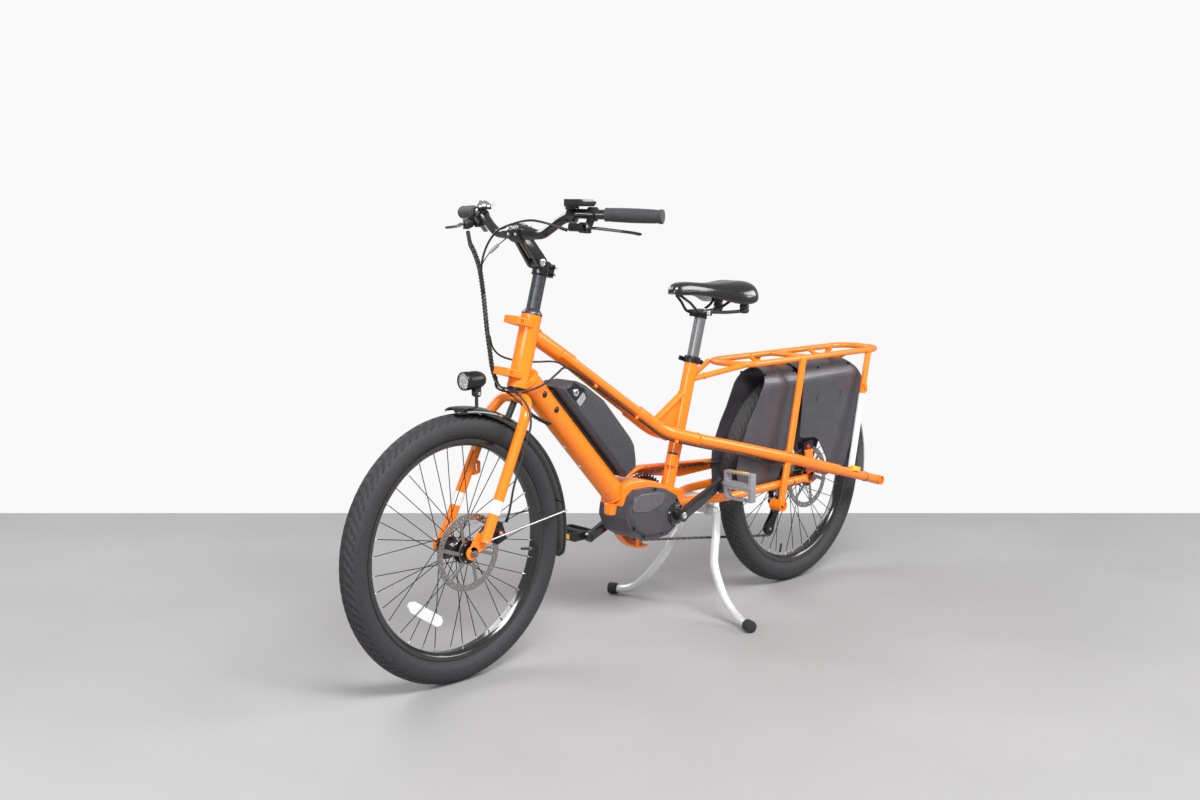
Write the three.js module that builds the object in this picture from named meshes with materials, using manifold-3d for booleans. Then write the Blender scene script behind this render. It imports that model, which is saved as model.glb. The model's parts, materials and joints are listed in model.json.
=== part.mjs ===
// A longtail cargo bicycle with a mid motor, standing on its centre stand.
// Millimetres. +X points ahead, +Y to the rider's left, +Z up, and the ground is z = 0.
// Places are measured from three anchors: the front axle, the crank axle and the rear axle.
// At the end the whole group is moved so that its bounding box stands centred on the origin.

import * as THREE from "three";
import { mergeVertices } from "three/addons/utils/BufferGeometryUtils.js";
import Module from "manifold-3d";

const wasm = await Module();
wasm.setup();

// Driving sizes
const WHEELBASE = 1269;
const REAR_CENTRE = 586;
const CRANK_AXLE_HEIGHT = 299;
const HEAD_LEAN = THREE.MathUtils.degToRad(15.5);
const SEAT_LEAN = THREE.MathUtils.degToRad(15.5);

// Clearances and facets
const GAP = 0.3;
const OVERRUN = 5;
const TUBE_SIDES = 10;
const ROUND_SIDES = 14;
const SMALL_SIDES = 8;
const PIN_SIDES = 6;
const RING_SIDES = 12;
const BORE_SIDES = 16;
const WHEEL_SIDES = 32;
const BEND_STEPS = 3;

// Wheels
const TYRE_RADIUS = 314;
const TYRE_SECTION = 61;
const RIM_OUTER_RADIUS = 258;
const RIM_INNER_RADIUS = 240;
const RIM_WIDTH = 36;
const RIM_INNER_WIDTH = 17;
const SPOKE_COUNT = 36;
const SPOKE_RADIUS = 1.3;
const FLANGE_RADIUS = 29;
const FLANGE_THICKNESS = 4;
const HUB_RADIUS = 17;
const FRONT_HUB_WIDTH = 114;
const REAR_HUB_WIDTH = 135;
const FRONT_FLANGE_SPREAD = 56;
const REAR_FLANGE_SPREAD = 50;
const AXLE_RADIUS = 4.8;
const AXLE_BORE_RADIUS = 5.5;
const AXLE_NUT_RADIUS = 9;
const AXLE_NUT_WIDTH = 9;
const ROTOR_RADIUS = 90;
const ROTOR_RING_WIDTH = 15;
const ROTOR_THICKNESS = 2;
const ROTOR_HUB_RADIUS = 24;
const ROTOR_ARM_WIDTH = 9;
const ROTOR_ARMS = 6;
const ROTOR_INSET = 10.5;

// Fork and headset
const STEER_SETBACK = 92.6;
const FORK_RISE = 355;
const HEAD_TUBE_LENGTH = 175;
const HEAD_TUBE_RADIUS = 25;
const HEAD_BORE_RADIUS = 18.5;
const STEERER_RADIUS = 14.3;
const BEARING_HEIGHT = 9;
const CROWN_HEIGHT = 22;
const LEG_RADIUS = 12.5;
const LEG_TOP_SPREAD = 124;
const LEG_FOOT_SPREAD = 142;
const LEG_SHOULDER_DROP = 64;
const LEG_SHOULDER_AHEAD = 14;
const LEG_FOOT_SETBACK = 28;
const LEG_FOOT_RISE = 20;
const DROPOUT_THICKNESS = 6;
const DROPOUT_RADIUS = 16;
const FORK_LUG_SHARE = 0.36;
const FORK_LUG_SIZE = 24;
const FORK_LUG_THICKNESS = 5;

// Column and stem
const COLUMN_LENGTH = 96;
const COLUMN_RADIUS = 16.5;
const CONE_HEIGHT = 13;
const STEM_BASE_HEIGHT = 34;
const STEM_BASE_RADIUS = 20.5;
const STEM_PIVOT_AHEAD = 18;
const STEM_PIVOT_RISE = 28;
const STEM_CHEEK_RADIUS = 15;
const STEM_TONGUE_WIDTH = 22;
const STEM_CHEEK_WIDTH = 9;
const STEM_PIN_RADIUS = 5;
const STEM_BOLT_RADIUS = 3.5;
const STEM_BOLT_LENGTH = 44;
const STEM_ARM_RISE = 52;
const STEM_ARM_AHEAD = 72;
const BAR_CLAMP_RADIUS = 21.5;
const BAR_CLAMP_WIDTH = 38;

// Handlebar, grips and controls
const BAR_CENTRE_RADIUS = 15.9;
const BAR_END_RADIUS = 11.1;
const BAR_WIDTH = 680;
const BAR_RISE = 45;
const BAR_SWEEP_BACK = 118;
const bar_width_shares = [0.075, 0.22, 0.3, 0.39, 0.5, 0.58, 0.66];
const bar_rise_shares = [0, -0.03, 0.27, 0.72, 1.02, 1, 1];
const bar_sweep_shares = [0, 0.02, 0.04, 0.1, 0.2, 0.36, 0.52];
const GRIP_RADIUS = 16.5;
const GRIP_LENGTH = 132;
const PERCH_WIDTH = 30;
const PERCH_WALL = 5;
const PERCH_REACH = 34;
const PERCH_BODY_LENGTH = 44;
const PERCH_BODY_RADIUS = 9;
const PERCH_DROP = 30;
const LEVER_LENGTH = 126;
const LEVER_WIDTH = 15;
const LEVER_THICKNESS = 7;
const LEVER_PIVOT_RADIUS = 8;
const LEVER_CURL = 12;
const SHIFTER_RADIUS = 17;
const SHIFTER_HEIGHT = 16;
const SHIFT_LEVER_LENGTH = 36;
const SHIFT_LEVER_WIDTH = 11;
const SHIFT_LEVER_THICKNESS = 4;
const DISPLAY_LENGTH = 60;
const DISPLAY_WIDTH = 44;
const DISPLAY_OFFSET = 26;
const DISPLAY_LIFT = 6;
const DISPLAY_THICKNESS = 16;
const DISPLAY_BAR_SHARE = 0.46;
const BELL_RADIUS = 20;
const BELL_HEIGHT = 15;
const BELL_STEM_RADIUS = 4;
const BELL_BAR_SHARE = 0.44;
const BELL_LEVER_LENGTH = 16;
const BELL_LEVER_RADIUS = 2.2;

// Head tube, top tube stub and front rack lugs
const TOP_TUBE_RADIUS = 19;
const TOP_TUBE_LENGTH = 166;
const TOP_TUBE_SLOPE = THREE.MathUtils.degToRad(31);
const TOP_TUBE_HEAD_SHARE = 0.77;
const LUG_REACH = 62;
const LUG_HEIGHT = 18;
const LUG_WIDTH = 50;
const LUG_WALL = 6;
const UPPER_LUG_SHARE = 0.87;
const LOWER_LUG_SHARE = 0.17;

// Down tube
const DOWN_TUBE_RADIUS = 30;
const DOWN_TUBE_HEAD_SHARE = 0.215;
const DOWN_TUBE_END_AHEAD = 160;
const DOWN_TUBE_END_RISE = 65.5;
const CABLE_PORT_RADIUS = 3.5;
const CABLE_PORT_HEIGHT = 5;

// Battery and its rail, along the down tube
const BATTERY_END = 446;
const BATTERY_LENGTH = 362;
const BATTERY_DEPTH = 86;
const BATTERY_WIDTH = 90;
const BATTERY_EDGE = 9;
const battery_outline_shares = [
  [0, 0], [0.05, 0.34], [0.12, 0.66], [0.2, 0.8], [0.41, 1], [0.8, 0.98], [0.87, 0.93],
  [0.96, 0.68], [1, 0.52], [0.97, 0.03], [0.94, 0],
];
const LOCK_RECESS_LENGTH = 52;
const LOCK_RECESS_DEPTH = 16;
const LOCK_RECESS_SHARE = 0.16;
const BATTERY_TILT_CLEARANCE = 1.2;
const RAIL_PLATE_WIDTH = 44;
const RAIL_PLATE_HEIGHT = 9;
const RAIL_PLATE_MARGIN = 12;

// Motor and its bracket, measured from the crank axle
const MOTOR_LENGTH = 206;
const MOTOR_HEIGHT = 138;
const MOTOR_LEFT_FACE = 58;
const MOTOR_RIGHT_FACE = 40;
const MOTOR_COVER_BULGE = 9;
const MOTOR_AHEAD = 175;
const MOTOR_BELOW = 58;
const MOTOR_BOSS_RADIUS = 25;
const motor_outline_shares = [
  [0, 0.5], [0.02, 0.7], [0.09, 0.91], [0.19, 1], [0.5, 0.99], [0.71, 0.92], [0.92, 0.75],
  [1, 0.56], [1, 0.38], [0.9, 0.14], [0.76, 0.02], [0.5, 0], [0.3, 0.03], [0.1, 0.2],
];
const BRACKET_HALF_WIDTH = 41;
const BRACKET_NOSE_RADIUS = 20;
const BRACKET_NOSE_SHARE = -0.034;
const BRACKET_NOSE_LOW_SHARE = 0.52;
const BRACKET_NOSE_HIGH_SHARE = 0.76;
const bracket_outline_shares = [
  [0.03, 0.9], [0.02, 0.6], [0.03, 0.514], [0.1, 0.5], [1.05, 0.5], [1.165, 0.53],
  [1.15, 0.8], [0.96, 0.87], [0.825, 0.935], [0.641, 1.051], [0.398, 1.138], [0.16, 1.152], [0.05, 1.12],
];

// Seat tube, post and saddle
const SEAT_TUBE_SETBACK = 27;
const SEAT_TUBE_RADIUS = 18;
const SEAT_TUBE_BORE_RADIUS = 16;
const SEAT_TUBE_ABOVE_DECK = 28;
const SEAT_TUBE_BORE_DEPTH = 178;
const SEAT_TUBE_FOOT_RISE = 45;
const BRACE_RADIUS = 9;
const BRACE_RISE = 310;
const BRACE_FOOT_SHARE = 0.07;
const GUSSET_THICKNESS = 4;
const PORT_STUB_RADIUS = 13;
const PORT_STUB_LENGTH = 34;
const PORT_STUB_SETBACK = 24;
const SEAT_CLAMP_RADIUS = 22;
const SEAT_ClampHeight = 17;
const CLAMP_EAR_LENGTH = 16;
const CLAMP_EAR_THICKNESS = 7;
const CLAMP_SLOT = 2.4;
const CLAMP_LEVER_LENGTH = 52;
const CLAMP_LEVER_WIDTH = 12;
const CLAMP_LEVER_THICKNESS = 5;
const CLAMP_LEVER_HEAD_RADIUS = 9;
const POST_RADIUS = 15.5;
const POST_SHOWN_RISE = 107;
const POST_INSERTION = 92;
const SADDLE_LENGTH = 268;
const SADDLE_WIDTH = 152;
const SADDLE_ABOVE_POST = 89;
const SADDLE_NOSE_AHEAD = 114;
const SADDLE_SKIRT_DEPTH = 62;
const saddle_station_shares = [0, 0.03, 0.1, 0.22, 0.36, 0.5, 0.62, 0.74, 0.85, 0.94, 0.985, 1];
const saddle_width_shares = [0.1, 0.19, 0.25, 0.28, 0.33, 0.46, 0.68, 0.9, 1, 0.95, 0.8, 0.6];
const saddle_top_shares = [0.34, 0.14, 0.03, 0, 0.05, 0.08, 0.06, 0.02, 0, 0.02, 0.1, 0.22];
const saddle_low_shares = [0.44, 0.52, 0.53, 0.52, 0.55, 0.67, 0.86, 0.98, 1, 0.94, 0.84, 0.7];
const saddle_arch_shares = [
  [-0.97, 1], [-1, 0.72], [-0.93, 0.36], [-0.7, 0.1], [-0.36, 0], [0, 0.04],
  [0.36, 0], [0.7, 0.1], [0.93, 0.36], [1, 0.72], [0.97, 1], [0.5, 0.78], [-0.5, 0.78],
];
const RAIL_ROD_RADIUS = 3.6;
const RAIL_ROD_SPREAD = 44;
const POST_HEAD_LENGTH = 52;
const POST_HEAD_HEIGHT = 13;
const POST_HEAD_WIDTH = 58;

// Side rails, from the top tube stub to their open rear ends
const RAIL_START_SHARE = 0.66;
const RAIL_START_SPREAD = 24;
const RAIL_FRONT_RADIUS = 12.3;
const SLEEVE_RADIUS = 16.6;
const RAIL_RADIUS = 15.8;
const RAIL_END_RADIUS = 13.6;
const RAIL_END_BORE_RADIUS = 10.8;
const RAIL_END_BORE_DEPTH = 70;
const SLEEVE_START_SHARE = 0.74;
const RAIL_BEND_AHEAD = 2;
const RAIL_BEND_RISE = 212.5;
const RAIL_BEND_SPREAD = 44;
const RAIL_BEND_RADIUS = 190;
const SLEEVE_END_BEHIND = 95;
const SLEEVE_END_RISE = 184;
const SLEEVE_END_SPREAD = 110;
const RAIL_STRUT_RISE = 94;
const RAIL_STRUT_SPREAD = 186;
const RAIL_STEP_BEHIND = 89;
const RAIL_STEP_RISE = 14;
const RAIL_STEP_SPREAD = 200;
const RAIL_END_BEHIND = 306;
const RAIL_END_DROP = 46;
const RAIL_END_SPREAD = 202;
const BRIDGE_RADIUS = 10;

// Lower stays and rear dropouts
const STAY_RADIUS = 11.5;
const STAY_SPREAD = 150;
const STAY_NECK_SPREAD = 64;
const STAY_NECK_BEHIND = 103;
const STAY_NECK_RISE = 14;
const STAY_FLARE_BEHIND = 207;
const STAY_END_AHEAD = 40;
const STAY_RISE = 4;
const REAR_DROPOUT_THICKNESS = 6;
const REAR_DROPOUT_RADIUS = 17;
const CALIPER_TAB_HEIGHT = 84;

// Rack deck, struts and their sockets
const DECK_HEIGHT = 666;
const DECK_SPREAD = 142;
const DECK_TUBE_RADIUS = 8.5;
const DECK_FRONT_AHEAD = 314;
const DECK_REAR_BEHIND = 339;
const DECK_CORNER_RADIUS = 62;
const DECK_STAY_RADIUS = 7.5;
const DECK_STAY_RISE = 334;
const CROSSBAR_RADIUS = 6;
const SEAT_BAR_AHEAD = 122;
const SEAT_BAR_BEHIND = 161;
const MIDDLE_BAR_AHEAD = 24;
const STRUT_RADIUS = 10;
const STRUT_TOP_AHEAD = 67;
const STRUT_TOP_SPREAD = 162;
const STRUT_RAIL_AHEAD = 140;
const STRUT_FOOT_AHEAD = 171;
const SOCKET_HEIGHT = 261;
const SOCKET_RADIUS = 16;
const SOCKET_BORE_RADIUS = 12.5;
const SOCKET_LENGTH = 40;
const STRUT_FOOT_SPREAD = 188;
const SOCKET_INNER_SPREAD = 130;
const REAR_STRUT_TOP_BEHIND = 271;
const REAR_STRUT_FOOT_BEHIND = 154;
const REAR_STRUT_RADIUS = 9;

// Skirts and rear mudguard
const SKIRT_HALF_WIDTH = 58;
const SKIRT_CROWN_HEIGHT = 644.5;
const SKIRT_THICKNESS = 2.4;
const SKIRT_ARC_STEPS = 12;
const SKIRT_DEPTH = 332;
const SKIRT_LENGTH = 592;
const SKIRT_FRONT_AHEAD = 326;
const front_skirt_shares = [
  [0, 0.824], [0.012, 0.71], [0.044, 0.58], [0.08, 0.45], [0.124, 0.34], [0.17, 0.2], [0.215, 0.08],
  [0.245, 0], [0.46, 0], [0.468, 0.17], [0.462, 0.39], [0.406, 0.63], [0.362, 0.8], [0.3, 1], [0.028, 1],
];
const front_skirt_right_shares = [
  [0.05, 0.824], [0.052, 0.71], [0.076, 0.58], [0.112, 0.45], [0.152, 0.34], [0.192, 0.2], [0.225, 0.08],
  [0.245, 0], [0.46, 0], [0.468, 0.17], [0.462, 0.39], [0.406, 0.63], [0.362, 0.8], [0.3, 1], [0.06, 1],
];
const rear_skirt_shares = [
  [0.49, 0], [0.9, 0], [0.955, 0.09], [0.99, 0.18], [1, 0.26], [0.985, 0.42], [0.948, 0.6],
  [0.85, 1], [0.715, 1], [0.705, 0.86], [0.656, 0.735], [0.63, 0.68], [0.6, 0.655], [0.5, 0.64],
  [0.478, 0.62], [0.492, 0.39], [0.497, 0.17],
];
const GUARD_RADIUS = 325;
const GUARD_THICKNESS = 3;
const GUARD_WIDTH = 66;
const GUARD_START_ANGLE = THREE.MathUtils.degToRad(118);
const GUARD_END_ANGLE = THREE.MathUtils.degToRad(188);
const GUARD_TAB_ANGLE = THREE.MathUtils.degToRad(136);
const GUARD_TAB_LENGTH = 18;
const GUARD_TAB_HEIGHT = 7;

// Front mudguard, stays and lamp
const FENDER_RADIUS = 327;
const FENDER_THICKNESS = 3;
const FENDER_CROWN = 9;
const FENDER_WIDTH = 71;
const FENDER_FRONT_ANGLE = THREE.MathUtils.degToRad(88);
const FENDER_REAR_ANGLE = THREE.MathUtils.degToRad(193);
const FENDER_STEPS = 14;
const FENDER_STAY_RADIUS = 2;
const FENDER_STAY_ANGLE = THREE.MathUtils.degToRad(172);
const FENDER_BRACKET_WIDTH = 16;
const LAMP_RADIUS = 21.5;
const LAMP_LENGTH = 62;
const LAMP_SETBACK = 88;
const LAMP_ABOVE_FENDER = 55;
const LAMP_BRACKET_SETBACK = 66;
const LAMP_EYE_RADIUS = 8;
const LAMP_EYE_WIDTH = 8;
const LAMP_CHEEK_WIDTH = 4;
const LAMP_LENS_INSET = 4;
const LAMP_RIM_WALL = 3;

// Calipers
const CALIPER_LENGTH = 44;
const CALIPER_INNER_WIDTH = 11;
const CALIPER_DEPTH = 30;
const CALIPER_KNOB_RADIUS = 9;
const FRONT_CALIPER_ANGLE = THREE.MathUtils.degToRad(160);
const REAR_CALIPER_ANGLE = THREE.MathUtils.degToRad(83);
const ROTOR_SLOT = 1.2;

// Drive
const CRANK_LENGTH = 170;
const CRANK_ANGLE = THREE.MathUtils.degToRad(21.9);
const CRANK_INNER_FACE = 79;
const CRANK_OUTER_FACE = 104;
const CRANK_THICKNESS = 14;
const CRANK_HUB_RADIUS = 17;
const CRANK_EYE_RADIUS = 13;
const SPINDLE_RADIUS = 11;
const SPINDLE_BORE_RADIUS = 12;
const PEDAL_LENGTH = 76;
const PEDAL_WIDTH = 92;
const PEDAL_THICKNESS = 26;
const PEDAL_WALL = 10;
const PEDAL_AXLE_RADIUS = 6;
const PEDAL_BODY_RADIUS = 11;
const PEDAL_STANDOFF = 8;
const CHAIN_LINE = 50;
const CHAIN_WIDTH = 8;
const CHAIN_HEIGHT = 7;
const CHAINRING_RADIUS = 90;
const CHAINRING_THICKNESS = 3;
const CHAINRING_ARMS = 5;
const CHAINRING_ARM_WIDTH = 16;
const CHAINRING_RIM = 12;
const SPIDER_RADIUS = 22;
const COG_CHAIN_RADIUS = 56;
const COG_MAX_RADIUS = 70;
const CASSETTE_WIDTH = 30;
const CASSETTE_BORE_RADIUS = 18.2;
const cassette_step_shares = [0.5, 0.62, 0.746, 0.87, 1];
const JOCKEY_RADIUS = 21;
const UPPER_JOCKEY_BEHIND = 6;
const UPPER_JOCKEY_BELOW = 92;
const LOWER_JOCKEY_AHEAD = 38;
const LOWER_JOCKEY_BELOW = 166;
const CAGE_PLATE_THICKNESS = 2.2;
const CAGE_PLATE_RADIUS = 13;
const CAGE_CLEARANCE = 1;
const DERAILLEUR_BODY_RADIUS = 15;
const HANGER_THICKNESS = 7;
const HANGER_DROP = 30;
const CHAIN_ARC_STEPS = 12;

// Chain guard
const HOOP_RADIUS = 106;
const HOOP_THICKNESS = 5;
const HOOP_WIDTH = 22;
const HOOP_END_ANGLE = THREE.MathUtils.degToRad(-98);
const HOOP_OUTER_FACE = 64;
const GUARD_PLATE_REACH = 322;
const GUARD_PLATE_THICKNESS = 2.5;
const GUARD_PLATE_DEPTH = 54;
const GUARD_PLATE_END_DROP = 18;
const HOOP_BRACKET_WIDTH = 12;

// Centre stand
const STAND_PIVOT_BEHIND = 178;
const STAND_PIVOT_HEIGHT = 276;
const STAND_LEG_RADIUS = 11.5;
const STAND_FOOT_RADIUS = 16;
const STAND_FOOT_LENGTH = 26;
const STAND_FOOT_SPREAD = 492;
const STAND_FOOT_AHEAD = 84;
const STAND_TOP_SPREAD = 116;
const STAND_PIN_RADIUS = 6;
const stand_leg_shares = [
  [0, 0.236, 0], [0.03, 0.245, 0.13], [0.083, 0.26, 0.25], [0.31, 0.309, 0.39], [0.488, 0.36, 0.52],
  [0.607, 0.455, 0.665], [0.718, 0.57, 0.805], [0.774, 0.732, 0.938], [0.87, 0.87, 0.99], [1, 1, 1],
];
const STAND_BRACKET_LENGTH = 58;
const STAND_BRACKET_WIDTH = 74;
const STAND_BRACKET_WALL = 5;

// Cables
const LOOM_RADIUS = 6;
const HOSE_RADIUS = 2.6;

// Points that the cables pass through, chosen by hand along their real route
const loom_points = [
  [-200, -187, 1030], [-192, -169, 1003], [-185, -146, 983], [-172, -113, 951], [-160, -90, 919],
  [-151, -71, 874], [-147, -56, 804], [-148, -48, 758], [-153, -44, 712], [-160, -40, 686],
];
const left_hose_points = [
  [-197, 163, 1041], [-184, 146, 1048], [-168, 120, 1057], [-156, 84, 1062], [-148, 32, 1053],
  [-142, -13, 1036], [-140, -46, 1003], [-142, -67, 963], [-147, -75, 925], [-152, -74, 884],
];
const frame_hose_points = [
  [-160, -41, 690], [-152, -30, 672], [-154, 0, 664], [-170, 26, 664], [-200, 41, 668], [-240, 46, 680],
  [-285, 40, 700], [-318, 30, 709],
];
const fork_hose_points = [
  [-160, -40, 688], [-146, -12, 676], [-150, 24, 677], [-174, 52, 679], [-206, 76, 650], [-206, 84, 605],
  [-186, 84, 555], [-160, 82, 500], [-134, 80, 440], [-122, 77, 404], [-110, 67, 381], [-104, 59, 371],
];
const caliper_hose_points = [
  [-1040, 84, 386], [-1080, 74, 383], [-1130, 69, 384], [-1180, 68, 392], [-1222, 66, 399],
];

// Places that follow from the sizes
const vec = (x, y, z) => new THREE.Vector3(x, y, z);
const UP = vec(0, 1, 0);
const FRONT = vec(0, 0, TYRE_RADIUS);
const REAR = vec(-WHEELBASE, 0, TYRE_RADIUS);
const CRANK = vec(REAR.x + REAR_CENTRE, 0, CRANK_AXLE_HEIGHT);
const seatTubeTopRise = DECK_HEIGHT - CRANK_AXLE_HEIGHT + SEAT_TUBE_ABOVE_DECK;
const postTopRise = seatTubeTopRise + POST_SHOWN_RISE;
const batteryStart = BATTERY_END - BATTERY_LENGTH;
const lampHeight = FRONT.z + FENDER_RADIUS + FENDER_THICKNESS + LAMP_ABOVE_FENDER;
const headUp = vec(-Math.sin(HEAD_LEAN), 0, Math.cos(HEAD_LEAN));
const headAhead = vec(Math.cos(HEAD_LEAN), 0, Math.sin(HEAD_LEAN));
const headLow = vec(-STEER_SETBACK - FORK_RISE * Math.tan(HEAD_LEAN), 0, TYRE_RADIUS + FORK_RISE);
const seatUp = vec(-Math.sin(SEAT_LEAN), 0, Math.cos(SEAT_LEAN));

// A place by its distance up the steering axis, ahead of it and to the left.
function onHead(rise, ahead = 0, left = 0) {
  return headLow.clone().addScaledVector(headUp, rise).addScaledVector(
    headAhead, ahead).add(vec(0, left, 0));
}

// A place on the seat tube's line by its height over the crank axle.
function onSeat(rise, left = 0) {
  return vec(CRANK.x - SEAT_TUBE_SETBACK - rise * Math.tan(SEAT_LEAN), left, CRANK.z + rise);
}

function between(a, b, share) {
  return a.clone().lerp(b, share);
}

// Solids
function solid(shape) {
  if (!(shape instanceof THREE.BufferGeometry)) return shape;
  const bare = shape.clone();
  bare.deleteAttribute("normal");
  bare.deleteAttribute("uv");
  const merged = mergeVertices(bare);
  const vertProperties = merged.attributes.position.array;
  const triVerts = new Uint32Array(merged.index.array);
  const make = () => {
    const mesh = new wasm.Mesh({ numProp: 3, vertProperties, triVerts });
    mesh.merge();
    return new wasm.Manifold(mesh);
  };
  const made = make();
  if (made.volume() >= 0) return made;
  for (let i = 0; i < triVerts.length; i += 3) {
    [triVerts[i + 1], triVerts[i + 2]] = [triVerts[i + 2], triVerts[i + 1]];
  }
  return make();
}

function join(...shapes) {
  return shapes.flat().map(solid).reduce((whole, next) => whole.add(next));
}

function cut(shape, ...tools) {
  return tools.flat().map(solid).reduce((rest, tool) => rest.subtract(tool), solid(shape));
}

// A solid back as a geometry, so that it can be mirrored or moved.
function geometryOf(shape) {
  const mesh = solid(shape).getMesh();
  const places = new Float32Array(mesh.numVert * 3);
  for (let i = 0; i < mesh.numVert; i += 1) {
    places.set(mesh.vertProperties.subarray(i * mesh.numProp, i * mesh.numProp + 3), i * 3);
  }
  return new THREE.BufferGeometry()
    .setAttribute("position", new THREE.BufferAttribute(places, 3))
    .setIndex(new THREE.BufferAttribute(mesh.triVerts, 1));
}

function mirrored(shape) {
  return solid(geometryOf(shape).scale(1, -1, 1));
}

function turned(shape, axis, angle, centre) {
  const geometry = geometryOf(shape).translate(-centre.x, -centre.y, -centre.z);
  geometry.applyMatrix4(new THREE.Matrix4().makeRotationAxis(axis, angle));
  return geometry.translate(centre.x, centre.y, centre.z);
}

// A round rod or cone between two places.
function rod(a, b, radius, sides = TUBE_SIDES, endRadius = radius) {
  const along = b.clone().sub(a);
  const geometry = new THREE.CylinderGeometry(endRadius, radius, along.length(), sides);
  geometry.applyQuaternion(new THREE.Quaternion().setFromUnitVectors(UP, along.clone().normalize()));
  const middle = between(a, b, 0.5);
  return geometry.translate(middle.x, middle.y, middle.z);
}

// A rod along Y, centred on a place or between two distances to the left.
function crossRod(centre, radius, low, high, sides = TUBE_SIDES) {
  return rod(vec(centre.x, low, centre.z), vec(centre.x, high, centre.z), radius, sides);
}

function pipe(a, b, radius, bore, sides = TUBE_SIDES) {
  const along = b.clone().sub(a).normalize().multiplyScalar(OVERRUN);
  return cut(rod(a, b, radius, sides), rod(a.clone().sub(along), b.clone().add(along), bore, sides));
}

// A route whose rings lie exactly on the given points.
class Route extends THREE.Curve {
  constructor(points) {
    super();
    this.points = points;
  }
  getPoint(share) {
    const place = share * (this.points.length - 1);
    const index = Math.min(Math.floor(place), this.points.length - 2);
    return between(this.points[index], this.points[index + 1], place - index);
  }
  getPointAt(share) {
    return this.getPoint(share);
  }
  getTangent(share) {
    const last = this.points.length - 1;
    const index = Math.round(share * last);
    const here = this.points[index];
    const tangent = vec(0, 0, 0);
    if (index > 0) tangent.add(here.clone().sub(this.points[index - 1]).normalize());
    if (index < last) tangent.add(this.points[index + 1].clone().sub(here).normalize());
    return tangent.normalize();
  }
  getTangentAt(share) {
    return this.getTangent(share);
  }
}

function circle(radius, sides) {
  return Array.from({ length: sides }, (_, i) => {
    const angle = ((i + 0.5) / sides) * 2 * Math.PI;
    return new THREE.Vector2(radius * Math.cos(angle), radius * Math.sin(angle));
  });
}

function sweep(section, points) {
  return new THREE.ExtrudeGeometry(new THREE.Shape(section), {
    steps: points.length - 1,
    bevelEnabled: false,
    extrudePath: new Route(points),
  });
}

function tube(points, radius, sides = TUBE_SIDES) {
  return sweep(circle(radius, sides), points);
}

// A line of corners with each inner corner rounded.
function rounded(corners, radius, steps = BEND_STEPS) {
  const points = [corners[0].clone()];
  for (let i = 1; i < corners.length - 1; i += 1) {
    const before = corners[i - 1].clone().sub(corners[i]);
    const after = corners[i + 1].clone().sub(corners[i]);
    const turn = Math.PI - before.angleTo(after);
    const reach = Math.min(radius * Math.tan(turn / 2), before.length() * 0.45, after.length() * 0.45);
    const start = corners[i].clone().add(before.setLength(reach));
    const end = corners[i].clone().add(after.setLength(reach));
    points.push(...new THREE.QuadraticBezierCurve3(start, corners[i], end).getPoints(steps));
  }
  points.push(corners.at(-1).clone());
  return points;
}

function smooth(points, steps) {
  return new THREE.CatmullRomCurve3(points, false, "centripetal").getSpacedPoints(steps);
}

// A plate in the XZ plane from a list of [x, z] corners, between two distances to the left.
function slab(corners, low, high, holes = []) {
  const shape = new THREE.Shape(corners.map(([x, z]) => new THREE.Vector2(x, z)));
  const geometry = new THREE.ExtrudeGeometry(shape, { depth: high - low, bevelEnabled: false });
  geometry.rotateX(Math.PI / 2).translate(0, high, 0);
  if (holes.length === 0) return geometry;
  return cut(geometry, holes.map((hole) => slab(hole, low - OVERRUN, high + OVERRUN)));
}

function block(centre, length, width, height, lean = 0) {
  const geometry = new THREE.BoxGeometry(length, width, height);
  return geometry.rotateY(lean).translate(centre.x, centre.y, centre.z);
}

// A turned body about the Y axis through a place, from [radius, left] pairs.
function spun(profile, centre, sides = WHEEL_SIDES) {
  const points = profile.map(([radius, left]) => new THREE.Vector2(radius, left));
  return new THREE.LatheGeometry(points, sides).translate(centre.x, centre.y, centre.z);
}

function ringProfile(inner, outer, low, high) {
  return [[inner, low], [outer, low], [outer, high], [inner, high], [inner, low]];
}

function around(centre, radius, angle, left = 0) {
  return vec(centre.x + radius * Math.cos(angle), left, centre.z + radius * Math.sin(angle));
}

// A closed skin through rings of equally many points, with a fan over each end.
function loft(rings) {
  const count = rings[0].length;
  const middles = [rings[0], rings.at(-1)].map((ring) =>
    ring.reduce((sum, point) => sum.add(point), vec(0, 0, 0)).divideScalar(count),
  );
  const places = [...rings.flat(), ...middles].flatMap((point) => point.toArray());
  const faces = [];
  const firstMiddle = rings.length * count;
  for (let i = 0; i < count; i += 1) {
    const next = (i + 1) % count;
    faces.push(firstMiddle, next, i, firstMiddle + 1, firstMiddle - count + i, firstMiddle - count + next);
    for (let r = 0; r < rings.length - 1; r += 1) {
      const a = r * count;
      faces.push(a + i, a + next, a + count + i, a + next, a + count + next, a + count + i);
    }
  }
  return new THREE.BufferGeometry()
    .setAttribute("position", new THREE.Float32BufferAttribute(places, 3))
    .setIndex(faces);
}

// Materials
function paint(color, roughness, metalness = 0) {
  return new THREE.MeshStandardMaterial({ color, roughness, metalness });
}
const orange = paint(0xf2801e, 0.3, 0.1);
const tyreRubber = paint(0x2b2b2d, 0.85);
const blackMetal = paint(0x151515, 0.35, 0.6);
const silver = paint(0xb9bcc0, 0.3, 0.9);
const gunmetal = paint(0x4a4e56, 0.4, 0.7);
const blackPlastic = paint(0x1b1b1d, 0.5);
const darkPlastic = paint(0x37353c, 0.5);
const gripRubber = paint(0x2a2b2d, 0.8);
const saddleSkin = paint(0x101011, 0.3);
const sheetGrey = paint(0x4b4b52, 0.5, 0.2);
const greyPlastic = paint(0x77787a, 0.6);

const bike = new THREE.Group();

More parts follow.
